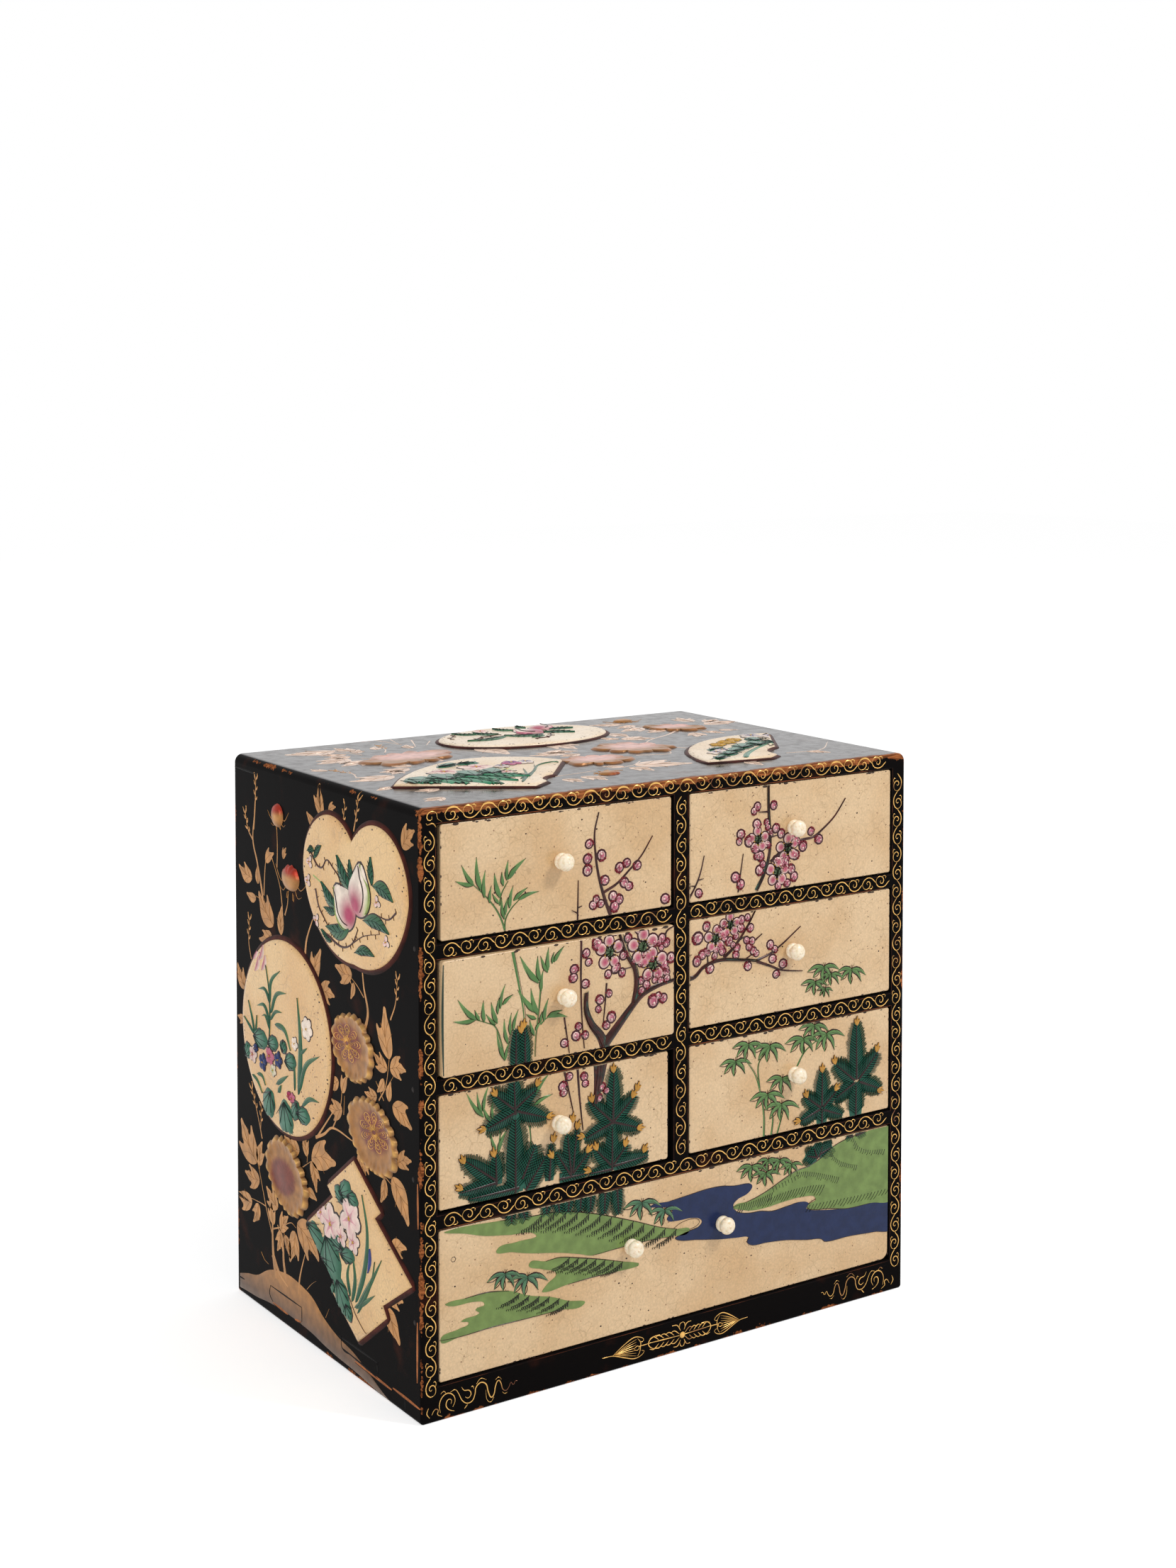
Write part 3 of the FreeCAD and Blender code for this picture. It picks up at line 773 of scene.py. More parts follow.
@dataclass(frozen=True)
class Palette:
    """The enamel colours of the drawer fronts and plaques."""

    leaf: Colour = shade("#4f7541")
    leaf_tip: Colour = shade("#7f9c62")
    leaf_deep: Colour = shade("#2e6050")
    outline: Colour = shade("#2b1a18")
    bark: Colour = shade("#2b1716")
    bark_red: Colour = shade("#512823")
    bark_green: Colour = shade("#3b5a4e")
    pink: Colour = shade("#a93b5c")
    blush: Colour = shade("#c6768a")
    white: Colour = shade("#eeddcd")
    maroon: Colour = shade("#3d171e")
    calyx: Colour = shade("#6e1422")
    stamen: Colour = shade("#23291f")
    pollen: Colour = shade("#b98f2e")
    heart: Colour = shade("#6d8560")
    pine: Colour = shade("#2a6350")
    pine_dark: Colour = shade("#0e2d27")
    needle: Colour = shade("#0a1614")
    candle: Colour = shade("#b8863a")
    hill: Colour = shade("#70864b")
    hatch: Colour = shade("#1d2016")
    water: Colour = shade("#18264b")
    soot: Colour = shade("#3a2a20")
    leaf_dark: Colour = shade("#20543c")
    teal: Colour = shade("#4b8069")
    lime: Colour = shade("#a9bb74")
    fresh: Colour = shade("#2c7d58")
    twig: Colour = shade("#43241f")
    blue: Colour = shade("#35437f")
    bedding: Colour = shade("#4a1f18")
    bedding_dark: Colour = shade("#190d0b")


PAINTS = Palette()
VEIN = {"outline": Outline.TAPER, "lift": 0.05, "swell": 0.12, "across": 2}
BRUSHED = {"outline": Outline.SWELL, "lift": 0.03, "swell": 0.08, "across": 2}
ENGRAVED = {"outline": Outline.SWELL, "lift": 0.05, "swell": 0.1, "across": 2, "step": 1.2, "over": 0.06}


class Painting(Relief):
    """A relief that knows the traditional motifs: bamboo, plum and pine."""

    def bamboo_leaf(
        self, base: Point, tip: Point, width: float, ink: Colour, bend: float = 0.06, rim: float = 0.0
    ) -> None:
        """Paints one pointed leaf with a dark line down one side.

        Args:
            base: where it leaves its stem.
            tip: its point.
            width: its greatest width.
            ink: its colour, which pales towards the point.
            bend: how far it bows to its left, as a share of its length.
            rim: how much wider its dark rim is, or 0 for none.
        """
        start, end = Vector(base), Vector(tip)
        run = end - start
        left = Vector((-run.y, run.x))
        line = [base, tuple(start.lerp(end, 0.5) + left * bend), tip]
        pale = between(ink, PAINTS.leaf_tip, 0.7)
        if rim:
            self.stroke(line, width + rim, PAINTS.outline, Outline.BLADE, swell=0.08)

        def tone(t: float, side: float) -> Colour:
            """Pales the leaf to its point and to one side."""
            return between(ink, pale, 0.9 * t * t + 0.25 * side)

        self.stroke(line, width, tone, Outline.BLADE, swell=0.22, step=1.6)
        side = left.normalized() * width * 0.42
        near, far = start.lerp(end, 0.3) + side + left * bend, start.lerp(end, 0.65) + side * 0.9
        edge = [tuple(place) for place in (start + side * 0.4, near, far, end)]
        self.stroke(edge, 0.6, PAINTS.outline, lift=0.22, swell=0.14, across=2)

    def leaf_star(self, centre: Point, reach: float, ink: Colour) -> None:
        """Paints a drooping bunch of bamboo leaves with three small shoots above.

        Args:
            centre: where the leaves meet.
            reach: the length of a leaf.
            ink: the colour of the leaves.
        """
        for angle, share in ((186, 1.0), (218, 0.85), (262, 0.75), (305, 0.9), (340, 1.05)):
            bearing = math.radians(angle + self.rng.uniform(-7, 7))
            length = reach * share * self.rng.uniform(0.92, 1.08)
            tip = polar(centre, length, bearing)
            sideways = math.cos(bearing)
            tone = between(ink, PAINTS.leaf_tip, 0.2)
            self.bamboo_leaf(centre, tip, reach * 0.25, tone, math.copysign(0.13, sideways), 0.8)
            middle = ((centre[0] + tip[0]) / 2, (centre[1] + tip[1]) / 2 + 0.12 * length * abs(sideways))
            self.stroke([centre, middle, tip], 0.3, PAINTS.outline, lift=0.33, swell=0.1, across=2)
        for angle in (62, 92, 125):
            tip = polar(centre, 2.6, math.radians(angle))
            self.stroke([centre, tip], 0.5, PAINTS.outline, Outline.TAPER, across=2)

    def culm(self, points: Sequence[Point], width: float, ink: Colour) -> None:
        """Paints a bamboo stem of a given width along a line, with a dark line beside it.

        Args:
            points: the places that it passes.
            width: its width at the foot.
            ink: its colour.
        """
        self.stroke(points, width, ink, Outline.TAPER, swell=0.15)
        beside = [(x + width * 0.5, y) for x, y in points]
        self.stroke(beside, 0.3, PAINTS.outline, lift=0.12, swell=0.12, across=2)

    def branch(self, points: Sequence[Point], width: float) -> None:
        """Paints a plum branch: dark bark with reddish and mossy streaks along it.

        Args:
            points: the places that it passes.
            width: its width at the foot; a thick one gets five streaks more.
        """
        phase = self.rng.uniform(0, 40)

        def bark(t: float, side: float) -> Colour:
            """Streaks the bark along the branch.

            Args:
                t: the share along the branch.
                side: how far to its side, from -1 to 1.

            Returns:
                Its colour there.
            """
            streak = noise.noise(Vector((t * 9 + phase, side * 2.2, phase)))
            tone = between(PAINTS.bark, PAINTS.bark_red, 0.25 + 1.6 * streak)
            return between(tone, PAINTS.bark_green, (-streak - 0.25) * 2.4 if width > 2.4 else 0)

        self.stroke(points, width, bark, Outline.TAPER, lift=0.18, swell=0.4, across=6 if width > 2 else 4)
        for k in range(5 if width >= 2.4 else 0):
            drift = self.rng.uniform(-0.32, 0.32) * width
            streak = [(x + drift, y + drift * 0.5 + 0.2 * k) for x, y in points]
            ink = (PAINTS.outline, PAINTS.bark_red, PAINTS.bark_green)[k % 3]
            self.stroke(streak, 0.4, ink, lift=0.1, swell=0.14, across=2, over=0.45)

    def plum_bud(self, centre: Point, radius: float) -> None:
        """Paints one bud: a dark rim, a pink ball fading to white, a white painted highlight off its middle,
        folds and red sepals.

        Args:
            centre: its middle.
            radius: its radius.
        """
        angle = self.rng.uniform(0, 2 * math.pi)
        self.bead(centre, radius * 1.3, PAINTS.maroon, height=0.25, squash=0.96, turn=angle)
        tone = between(PAINTS.pink, PAINTS.blush, self.rng.random() * 0.7)
        pale = between(PAINTS.blush, PAINTS.white, self.rng.uniform(0.3, 1.0))
        self.bead(centre, radius * 0.93, tone, pale, 0.75, 0.94, angle)
        # Painted highlight: a small white spot off the bud's middle.
        shine, glow = polar(centre, radius * 0.3, angle), between(PAINTS.white, PAINTS.blush, 0.6)
        self.bead(shine, radius * 0.36, PAINTS.white, glow, 0.86, segments=8)
        for turn in (-0.75, 0.6):
            bend = angle + turn
            places = ((-0.95, bend), (0.3, bend + 1.5), (0.7, bend))
            fold = [polar(centre, radius * share, around) for share, around in places]
            self.stroke(fold, 0.34, PAINTS.maroon, lift=0.72, swell=0.12, across=2, step=0.9)
        for turn in (2.6, 3.1, 3.7):
            spot = polar(centre, radius * 1.02, angle + turn)
            self.bead(spot, radius * 0.34, PAINTS.calyx, height=0.85, segments=6)

    def plum_blossom(self, centre: Point, radius: float) -> None:
        """Paints one open blossom: five petals round a burst of stamens.

        Args:
            centre: its middle.
            radius: the distance to the middle of a petal.
        """
        for angle in (90, 162, 234, 306, 18):
            bearing = math.radians(angle + self.rng.uniform(-8, 8))
            size = radius * self.rng.uniform(0.5, 0.6)
            spot = polar(centre, radius * 0.98, bearing)
            self.bead(spot, size * 1.2, PAINTS.maroon, height=0.34, squash=0.95, turn=bearing, segments=14)
            self.bead(spot, size, PAINTS.pink, PAINTS.white, 0.8, 0.94, bearing, segments=14)
        self.bead(centre, radius * 0.42, PAINTS.heart, height=0.55)
        stamens = 13
        for k in range(stamens):
            bearing = 2 * math.pi * (k + self.rng.uniform(-0.3, 0.3)) / stamens
            tip = polar(centre, radius * self.rng.uniform(0.55, 0.85), bearing)
            self.stroke([centre, tip], 0.32, PAINTS.stamen, Outline.EVEN, lift=0.75, swell=0.12, across=2)
            self.bead(tip, 0.36, PAINTS.pollen, height=1.0, segments=6)

    def pine_shoot(self, base: Point, tip: Point, width: float) -> None:
        """Paints one feathered pine shoot: a dark plume, needles combed off a brown rib.

        Args:
            base: the foot of the rib.
            tip: the end of the plume.
            width: its greatest width.
        """
        start, end = Vector(base), Vector(tip)
        run = end - start
        ahead = run.normalized()
        left = Vector((-ahead.y, ahead.x))
        jitter = self.rng.uniform(0, 9)

        def plume(t: float, side: float) -> Colour:
            """Darkens the plume to its root and along its rib.

            Args:
                t: the share along the plume.
                side: how far to its side, from -1 to 1.

            Returns:
                Its colour there.
            """
            tone = between(PAINTS.pine_dark, PAINTS.pine, 0.35 + 0.65 * abs(side))
            cloud = noise.noise(Vector((t * 4, side * 2, jitter)))
            return between(tone, PAINTS.pine_dark, 0.5 * cloud + 0.25)

        self.stroke([base, tip], width * 1.1, plume, Outline.FEATHER, lift=0.1, swell=0.1, across=6)
        count = max(4, round(run.length / 0.8))
        for k in range(count):
            t = (k + 0.5) / count
            root = start.lerp(end, t * 0.94)
            for side in (-1, 1):
                wild = self.rng.uniform(0.9, 1.12)
                reach = width * 0.66 * wild * (0.3 + 0.7 * Outline.FEATHER.width(t))
                point = root + left * side * reach + ahead * reach * 0.75
                ink = PAINTS.needle if k % 2 else PAINTS.pine
                self.stroke([tuple(root), tuple(point)], 0.7, ink, Outline.TAPER, 0.1, 0.16, 2, over=0.22)
        rib = end - ahead * width * 0.2
        self.stroke([base, tuple(rib)], 1.7, PAINTS.bark, Outline.TAPER, 0.2, 0.2, over=0.3)

    def pine_candle(self, base: Point, angle: float) -> None:
        """Paints the gold-brown bud scales at the tip of a shoot.

        Args:
            base: where they meet.
            angle: the angle that they spread round, in degrees.
        """
        for turn, length in ((-28, 4.0), (22, 4.5), (-4, 5.5)):
            tip = polar(base, length, math.radians(angle + turn))
            self.stroke([base, tip], 2.7, PAINTS.outline, Outline.LEAF, 0.22, 0.12, over=0.2)
            self.stroke([base, tip], 1.7, PAINTS.candle, Outline.LEAF, 0.2, 0.2, over=0.5)

    def contour(self, line: Sequence[Point], width: float, over: float) -> None:
        """Draws a dark line along the edge of a coat that is over millimetres thick."""
        self.stroke(line, width, PAINTS.soot, lift=0.05, swell=0.14, across=2, over=over)

    def hatching(self, ridge: Sequence[Point], fall: Point, length: float, rows: float) -> None:
        """Hatches a hill with rows of short curved marks that fall away from its ridge.

        Args:
            ridge: the line where the rows start.
            fall: how far a row runs down and back from the ridge.
            length: the length of a row's first mark.
            rows: the distance between rows.
        """
        marks = 9
        for place, _ in walk(ridge, rows)[1:]:
            for k in range(marks):
                t = k / marks
                x = place.x + fall[0] * t
                y = place.y + fall[1] * (1 - (1 - t) ** 1.7)
                size = length * (1 - 0.65 * t) * self.rng.uniform(0.85, 1.1)
                mark = [(x + 0.6, y), (x - 0.3, y - size * 0.45), (x - 0.1, y - size)]
                self.stroke(mark, 1.25 - 0.45 * t, PAINTS.hatch, Outline.COMMA, 0.05, 0.14, 2, over=0.3)
                tick = [(x - 2.6, y - size * 0.75), (x - 3.2, y - size * 1.05), (x - 3.0, y - size * 1.35)]
                self.stroke(tick, 0.8 - 0.3 * t, PAINTS.hatch, Outline.COMMA, 0.05, 0.12, 2, over=0.3)

    def combing(self, line: Sequence[Point], lean: Point, width: float, gap: float) -> None:
        """Combs slanted marks off a line, as grass along a bank.

        Args:
            line: the line where the marks start.
            lean: how far a mark runs across and up.
            width: its width.
            gap: the distance between marks.
        """
        for place, _ in walk(line, gap):
            wild = self.rng.uniform(0.7, 1.15)
            tip = (place.x + lean[0] * wild, place.y + lean[1] * wild)
            middle = ((place.x + tip[0]) / 2 + 0.2, (place.y + tip[1]) / 2 - 0.2)
            self.stroke([tuple(place), middle, tip], width, PAINTS.hatch, **VEIN, over=0.32)


@dataclass(frozen=True)
class Picture:
    """What is painted on one drawer front, in millimetres from the chest's lower left corner.

    limbs are (points, width); buds (x, y, radius); blossoms (x, y, radius); leaves (base, tip, width);
    culms (points, width); stars (x, y, reach); shoots (base, tip, width); candles (x, y, angle).
    """

    limbs: tuple = ()
    buds: tuple = ()
    blossoms: tuple = ()
    leaves: tuple = ()
    culms: tuple = ()
    stars: tuple = ()
    shoots: tuple = ()
    candles: tuple = ()
    leaf_ink: Colour = PAINTS.leaf

    def bamboo(self, painting: Painting) -> None:
        """Paints the bamboo.

        Args:
            painting: the relief to paint on.
        """
        for points, width in self.culms:
            painting.culm(points, width, self.leaf_ink)
        for base, tip, width in self.leaves:
            painting.bamboo_leaf(base, tip, width, self.leaf_ink)
        for x, y, reach in self.stars:
            painting.leaf_star((x, y), reach, self.leaf_ink)

    def plum(self, painting: Painting) -> None:
        """Paints the plum branches, then the flowers over them.

        Args:
            painting: the relief to paint on.
        """
        for points, width in self.limbs:
            painting.branch(points, width)
        for x, y, radius in self.blossoms:
            for _ in range(5):
                bearing, far = painting.rng.uniform(0, 2 * math.pi), radius * painting.rng.uniform(1.35, 2.0)
                painting.plum_bud(polar((x, y), far, bearing), painting.rng.uniform(1.5, 2.3))
            painting.plum_blossom((x, y), radius)
        for x, y, radius in self.buds:
            painting.plum_bud((x, y), radius)

    def pine(self, painting: Painting) -> None:
        """Paints the pine shoots and their buds.

        Args:
            painting: the relief to paint on.
        """
        for base, tip, width in self.shoots:
            painting.pine_shoot(base, tip, width)
        for x, y, angle in self.candles:
            painting.pine_candle((x, y), angle)


TOP_LEFT = Picture(
    limbs=(
        (((111, 235), (108.5, 241), (106, 248), (103.5, 257), (102, 266), (101.3, 278), (103.8, 288)), 2.3),
        (((107, 247), (115, 250.5), (122, 256), (130, 263), (137, 272.5)), 1.8),
        (((91, 235), (91.2, 245), (91.4, 255)), 1.1),
        (((90.8, 238.5), (87.5, 240.3)), 0.9),
        (((91, 241), (93.6, 241.8)), 0.9),
    ),
    buds=(
        (98, 272.5, 2.2), (97, 265, 2.4), (105.5, 266, 2.6), (97, 259.3, 2.6), (107.5, 253, 2.4),
        (116.5, 258.5, 2.4), (121, 260.3, 2.2), (127.5, 258.3, 2.3), (119.5, 250.5, 2.5), (122.3, 248.3, 2.2),
        (112.5, 244.3, 2.5), (116.3, 242.3, 2.4), (113.5, 239, 2.6), (102.3, 244, 1.9), (100.3, 241.3, 2.1),
        (105, 241.5, 2.0), (145, 239, 2.5),
    ),
    culms=(
        (((48, 235.5), (46.5, 240), (43, 246.5), (38, 252.5), (33.5, 257), (30, 260)), 1.1),
        (((48, 235.5), (48.5, 241), (52, 246), (57, 250)), 0.9),
        (((45, 248), (46, 253.5), (49.8, 259.6)), 0.8),
    ),
    leaves=(
        ((30, 260), (20, 263), 2.4), ((30.5, 260), (23.5, 270.5), 2.5), ((34.5, 257), (32, 273.5), 3.0),
        ((36.5, 253), (37, 266.5), 2.4), ((39.5, 250), (40.5, 258.5), 2.0), ((45.5, 252), (42.2, 264.5), 3.0),
        ((45, 249), (41, 254.5), 2.0), ((47.5, 257.5), (46.5, 264.5), 2.3), ((49.5, 260), (50.2, 270), 2.2),
        ((50, 260.3), (60.5, 269.7), 3.0), ((48, 241), (46.3, 252), 2.3), ((48.5, 243), (50, 251.5), 2.2),
        ((51, 246), (53, 257), 2.4), ((53.3, 249.3), (61.5, 255), 2.5), ((56, 249.6), (68, 252.3), 2.4),
    ),
)

TOP_RIGHT = Picture(
    limbs=(
        (((204.5, 236), (209, 243), (212, 250), (213.6, 258), (213.2, 268), (212.4, 280), (212.2, 293)), 2.8),
        (((214, 250), (225, 257), (235, 259.5), (243, 260.2), (250, 264), (258, 270), (265.5, 279)), 2.2),
        (((160, 236.5), (165, 244), (168, 251), (170, 258.5)), 1.4),
        (((192.3, 236.5), (194, 247), (195.6, 256.5)), 1.1),
        (((164.5, 243), (160.8, 243.6)), 1.0), (((166.5, 246), (169.6, 246.4)), 0.9),
        (((212.6, 277), (206, 277.4)), 1.3), (((213, 263), (219, 264)), 1.2),
    ),
    blossoms=((205.5, 263, 4.6), (225.5, 256.3, 5.0), (218.5, 244.3, 5.2)),
    buds=(
        (205, 280.5, 2.2), (202.8, 278.3, 1.9), (216, 280, 2.2), (204.7, 271.2, 2.5), (211.5, 271.5, 1.8),
        (194, 267, 2.4), (193, 263.2, 1.9), (217.5, 267.6, 2.3), (221, 264.4, 2.3), (211.5, 260, 2.0),
        (204, 258, 2.3), (207, 254, 2.5), (208.7, 249.4, 1.9), (206.5, 246.5, 2.5), (230.6, 252, 2.6),
        (236, 256, 2.6), (241.5, 263.4, 2.1), (247, 258.6, 2.5), (228, 244.6, 2.5), (230, 240.4, 2.4),
        (166.5, 239.2, 2.2), (190.5, 244.6, 2.6), (194, 240.5, 2.4), (223.6, 249, 2.6), (199.5, 262.5, 2.7),
    ),
)

MID_LEFT = Picture(
    limbs=(
        (((106, 168), (103, 175), (97.5, 182), (94.5, 190), (94.5, 198.5)), 6.4),
        (((104, 169), (112, 177), (120, 185), (128, 192), (138, 195.5), (149.5, 197.2)), 6.2),
        (((123.5, 189), (125, 198), (124, 206), (119, 214), (114.5, 226)), 3.9),
        (((91.3, 226), (91, 205), (91.6, 186), (93, 170.5)), 1.5),
        (((81, 188), (82.5, 179), (84, 169.5)), 1.1),
        (((106.6, 201.5), (105.6, 191), (104.3, 180)), 1.2),
        (((141.5, 217), (144, 223), (148.5, 225)), 1.8),
        (((110, 206), (117, 207), (122, 207.5)), 1.4),
    ),
    blossoms=((108.5, 217, 5.8), (129, 217, 6.3), (135.3, 207, 6.0)),
    buds=(
        (87, 211.2, 2.3), (86.5, 207, 2.3), (93.6, 203, 2.2), (102.5, 193.6, 2.3), (101.5, 189, 1.7),
        (108, 196, 1.9), (89.6, 182, 1.9), (88, 177.6, 2.4), (93.6, 177, 2.0), (81, 175, 2.1),
        (109.5, 183.6, 2.6), (106.4, 180, 2.1), (135.5, 188, 3.1), (138.6, 190.2, 1.9), (141.8, 188.6, 2.3),
        (136, 218.3, 2.1), (141, 219.6, 2.4), (143.6, 217, 2.2), (146.5, 209, 2.5), (142.3, 206, 2.4),
        (137.3, 202, 2.2), (131, 201, 2.1), (127.6, 199.6, 1.9), (131.2, 197.2, 2.1), (128, 194.6, 1.9),
        (140, 198, 2.0), (144, 198.4, 2.0), (143, 202, 1.8), (119.6, 222.6, 2.2), (117, 214.2, 2.3),
        (112, 208, 2.4), (116, 205.6, 2.1), (94.2, 218.4, 2.2), (95.6, 213.6, 1.9), (101, 222, 2.8),
    ),
    culms=(
        (((50.8, 225), (54.4, 208), (57, 195), (57.6, 185)), 2.0),
        (((67.2, 207), (66, 195), (64, 180), (63.6, 171)), 1.0),
        (((45.5, 174), (44, 181), (40.6, 189.5), (35, 192.5), (29, 194.8)), 1.0),
        (((67, 186.5), (70, 189), (75, 190)), 0.9),
    ),
    leaves=(
        ((29, 194.6), (16.8, 195.6), 2.4), ((30, 194.6), (19.4, 206), 2.8), ((32, 194), (29, 199.6), 2.0),
        ((34.6, 192.6), (34, 203.6), 2.5), ((41, 190.5), (35.4, 196.6), 2.0), ((42, 191), (38.4, 202), 2.7),
        ((42.2, 195.5), (43, 203.6), 1.9), ((43.6, 198), (46.5, 209.8), 2.1), ((45, 199.6), (51, 204), 2.3),
        ((48, 180), (45.8, 192.6), 2.2), ((49.5, 184), (50, 195), 2.0), ((51, 186), (54, 196), 2.2),
        ((46.2, 172), (41.5, 188), 1.9), ((46.4, 172), (49, 181), 2.0), ((66, 207.5), (55, 222.3), 3.2),
        ((66.6, 208.5), (65.4, 221), 2.8), ((67.4, 203), (68.6, 213.5), 2.4),
        ((71.4, 212), (67, 220.8), 2.5), ((71.6, 213), (71.8, 224.4), 2.6), ((74, 216), (75, 221.6), 1.9),
        ((75, 216.5), (81, 223.8), 2.6), ((65.6, 192.6), (53.5, 206), 3.2),
        ((65.5, 191.6), (61.3, 205.5), 3.0), ((64.5, 190), (58.5, 193), 2.2), ((67, 187), (68, 193), 2.0),
        ((69, 188), (71.6, 199), 2.4), ((71, 189.4), (80, 191.8), 2.7), ((72, 190), (83, 188), 2.5),
        ((63.5, 181.6), (60.6, 190), 2.2), ((64, 184), (67.5, 188.5), 2.0),
    ),
    shoots=(((52.5, 166), (52.5, 187), 7.2), ((58, 166), (57.6, 187.5), 7.0)),
    candles=((55.4, 184, 92), (56.6, 186, 84)),
)

MID_RIGHT = Picture(
    limbs=(
        (((158, 195), (164, 195.6), (170, 200), (180, 202), (195, 200), (206, 198)), 2.8),
        (((205, 198), (214, 194.4), (222, 191), (236, 188.6)), 1.9),
        (((183, 203), (190, 208), (198, 217), (203.4, 225)), 2.4),
        (((205, 198.6), (214, 201), (222, 205), (229, 209.4), (234.6, 213)), 1.7),
        (((196, 199.6), (203, 203)), 1.2), (((203.5, 209.5), (208.4, 212.4)), 1.2),
        (((193, 211), (198, 212.4), (202, 210)), 1.1), (((172.6, 201), (172.6, 208), (176, 214)), 1.0),
    ),
    blossoms=((177.5, 213.8, 4.8), (187, 220, 4.4)),
    buds=(
        (166, 215.6, 3.1), (171.6, 221, 2.3), (194.6, 221.6, 2.2), (194, 217.6, 2.3), (198.6, 222.4, 1.8),
        (200.6, 216.6, 2.1), (191, 213.4, 1.8), (186.4, 211, 2.1), (189, 209, 1.7), (178, 208, 1.9),
        (182, 206.6, 2.1), (177, 204.8, 1.8), (169, 206.5, 2.3), (165.5, 203.5, 2.5), (174, 198.6, 2.4),
        (191.6, 207, 2.1), (191, 203.4, 2.1), (198, 210.4, 1.9), (201.6, 209.4, 2.0), (199.6, 206.6, 1.9),
        (202.6, 204, 2.1), (204.6, 202.4, 1.8), (199, 196.4, 2.3), (214, 205.8, 2.3), (217, 203, 1.9),
        (215.5, 198, 2.3), (222.6, 194.4, 2.4), (218, 189.4, 2.1), (183.4, 213.6, 2.1),
    ),
    stars=((251, 188.5, 11), (245, 181, 9.5), (256, 184, 9), (270.5, 184.5, 11), (252, 176.5, 6)),
)

LOW_LEFT = Picture(
    limbs=(
        (((105, 161), (104, 152), (102, 140)), 9.5),
        (((83, 160), (86, 148), (88.4, 138)), 1.6), (((91, 160), (92.2, 145), (94.2, 128)), 1.7),
    ),
    buds=(
        (86, 156.6, 2.0), (82, 152.2, 2.3), (82.6, 149, 2.0), (95, 155, 2.1), (95.6, 151.4, 1.8),
        (105.6, 148, 2.1), (108.6, 145.6, 1.8), (104.2, 142.4, 2.0),
    ),
    culms=((((44, 128), (45, 136), (40, 146)), 0.9), (((62.4, 136), (63, 126), (61, 116)), 0.8)),
    leaves=(
        ((36, 145), (26, 158.5), 2.4), ((35, 147), (32, 158), 2.0), ((35.6, 148), (38.5, 160), 2.2),
        ((40, 142), (35, 151), 2.2), ((41, 143), (41, 152), 2.0), ((65, 145.6), (76, 149.4), 2.3),
        ((66, 151), (74, 160), 2.4), ((43, 127), (39.5, 137), 2.0), ((44, 126), (49, 136), 2.6),
    ),
    shoots=(
        ((54, 104), (54, 143), 11.5), ((60, 104), (72, 119), 10), ((58, 110), (66, 126), 10.5),
        ((54, 143), (53, 164), 9.5), ((53, 146), (40, 156.5), 9), ((54, 146), (67.5, 154), 8.5),
        ((54, 144), (36.5, 138.5), 9.5), ((55, 144.5), (73, 138), 9), ((56, 106), (26, 106), 6.5),
        ((43, 112), (23.5, 126.5), 9), ((43, 111), (21, 110), 7.5), ((43, 110), (42.5, 126), 8.5),
        ((80, 105.5), (98, 105.5), 7), ((74, 106), (75, 125), 6.5), ((87, 106), (77.5, 120), 6.5),
        ((87, 107), (84.6, 128), 8.5), ((88, 108), (90.6, 130), 6), ((88, 107), (98.5, 116.5), 7.5),
        ((112, 104), (112, 128), 10), ((112, 104.5), (97.5, 105), 6), ((111, 107), (100.5, 118), 8.5),
        ((113, 107), (121.5, 116), 8), ((113, 106), (135, 107.5), 8), ((112.5, 128), (113, 157), 9.5),
        ((112, 129), (97.5, 142.5), 8.5), ((113, 129), (127, 140.5), 8.5), ((112, 128.5), (94.5, 123), 8),
        ((113, 128.5), (130, 122.5), 8),
    ),
    candles=(
        (43, 154, 120), (66, 155, 60), (37, 139, 178), (72, 138.6, 5), (24.6, 124, 115), (23.6, 111.5, 150),
        (41.6, 124, 100), (87.6, 133, 85), (90, 129, 70), (76, 117, 120), (96, 116, 50), (76, 125, 80),
        (112.6, 154, 92), (124, 139, 60), (127, 142, 75), (95, 124.4, 165), (127, 123, 0), (131, 109.5, 60),
        (102.6, 116, 110), (119.6, 114.6, 75), (99.6, 141, 100), (99, 106, 160),
    ),
)

LOW_RIGHT = Picture(
    culms=(
        (((210, 103), (210, 115), (207.6, 127), (204, 137.6), (198, 146)), 1.4),
        (((215, 103), (216, 112), (214, 124)), 1.2), (((219, 103), (222.4, 113), (223.6, 119)), 1.0),
        (((207, 130), (206, 142), (209.5, 147.5), (213, 151)), 1.0),
        (((232.6, 137.4), (237, 143.6), (243, 147.6), (252, 151)), 1.1), (((237, 143.6), (237, 151)), 0.9),
    ),
    stars=(
        (191, 146.6, 10.5), (199.5, 154.4, 11), (214, 151.4, 12), (237, 151.4, 12), (244.5, 157.6, 11),
        (253, 151.6, 12), (212.5, 125.4, 12), (222.5, 132.4, 11), (222, 118.4, 12),
    ),
    shoots=(
        ((250, 103), (250, 113), 8.5), ((250, 113), (250, 132.5), 9), ((249, 112), (237.5, 120.5), 8),
        ((248.5, 111), (234.5, 107), 7), ((251, 112), (261, 120), 7.5), ((251, 110.5), (265, 105), 7),
        ((274, 103), (274, 122), 10.5), ((274.5, 123), (274, 155.5), 10.5), ((273, 123), (258.5, 134.5), 9.5),
        ((273, 121.5), (258.5, 115), 8.5), ((276, 123), (290, 136), 9.5), ((276.5, 121.5), (292, 115), 8.5),
    ),
    candles=(
        (250, 131, 92), (239.5, 119, 110), (235, 107.4, 178), (258.6, 119.6, 45), (274.3, 153, 90),
        (259, 134, 100), (288.4, 136, 75), (289, 114.6, -5),
    ),
)


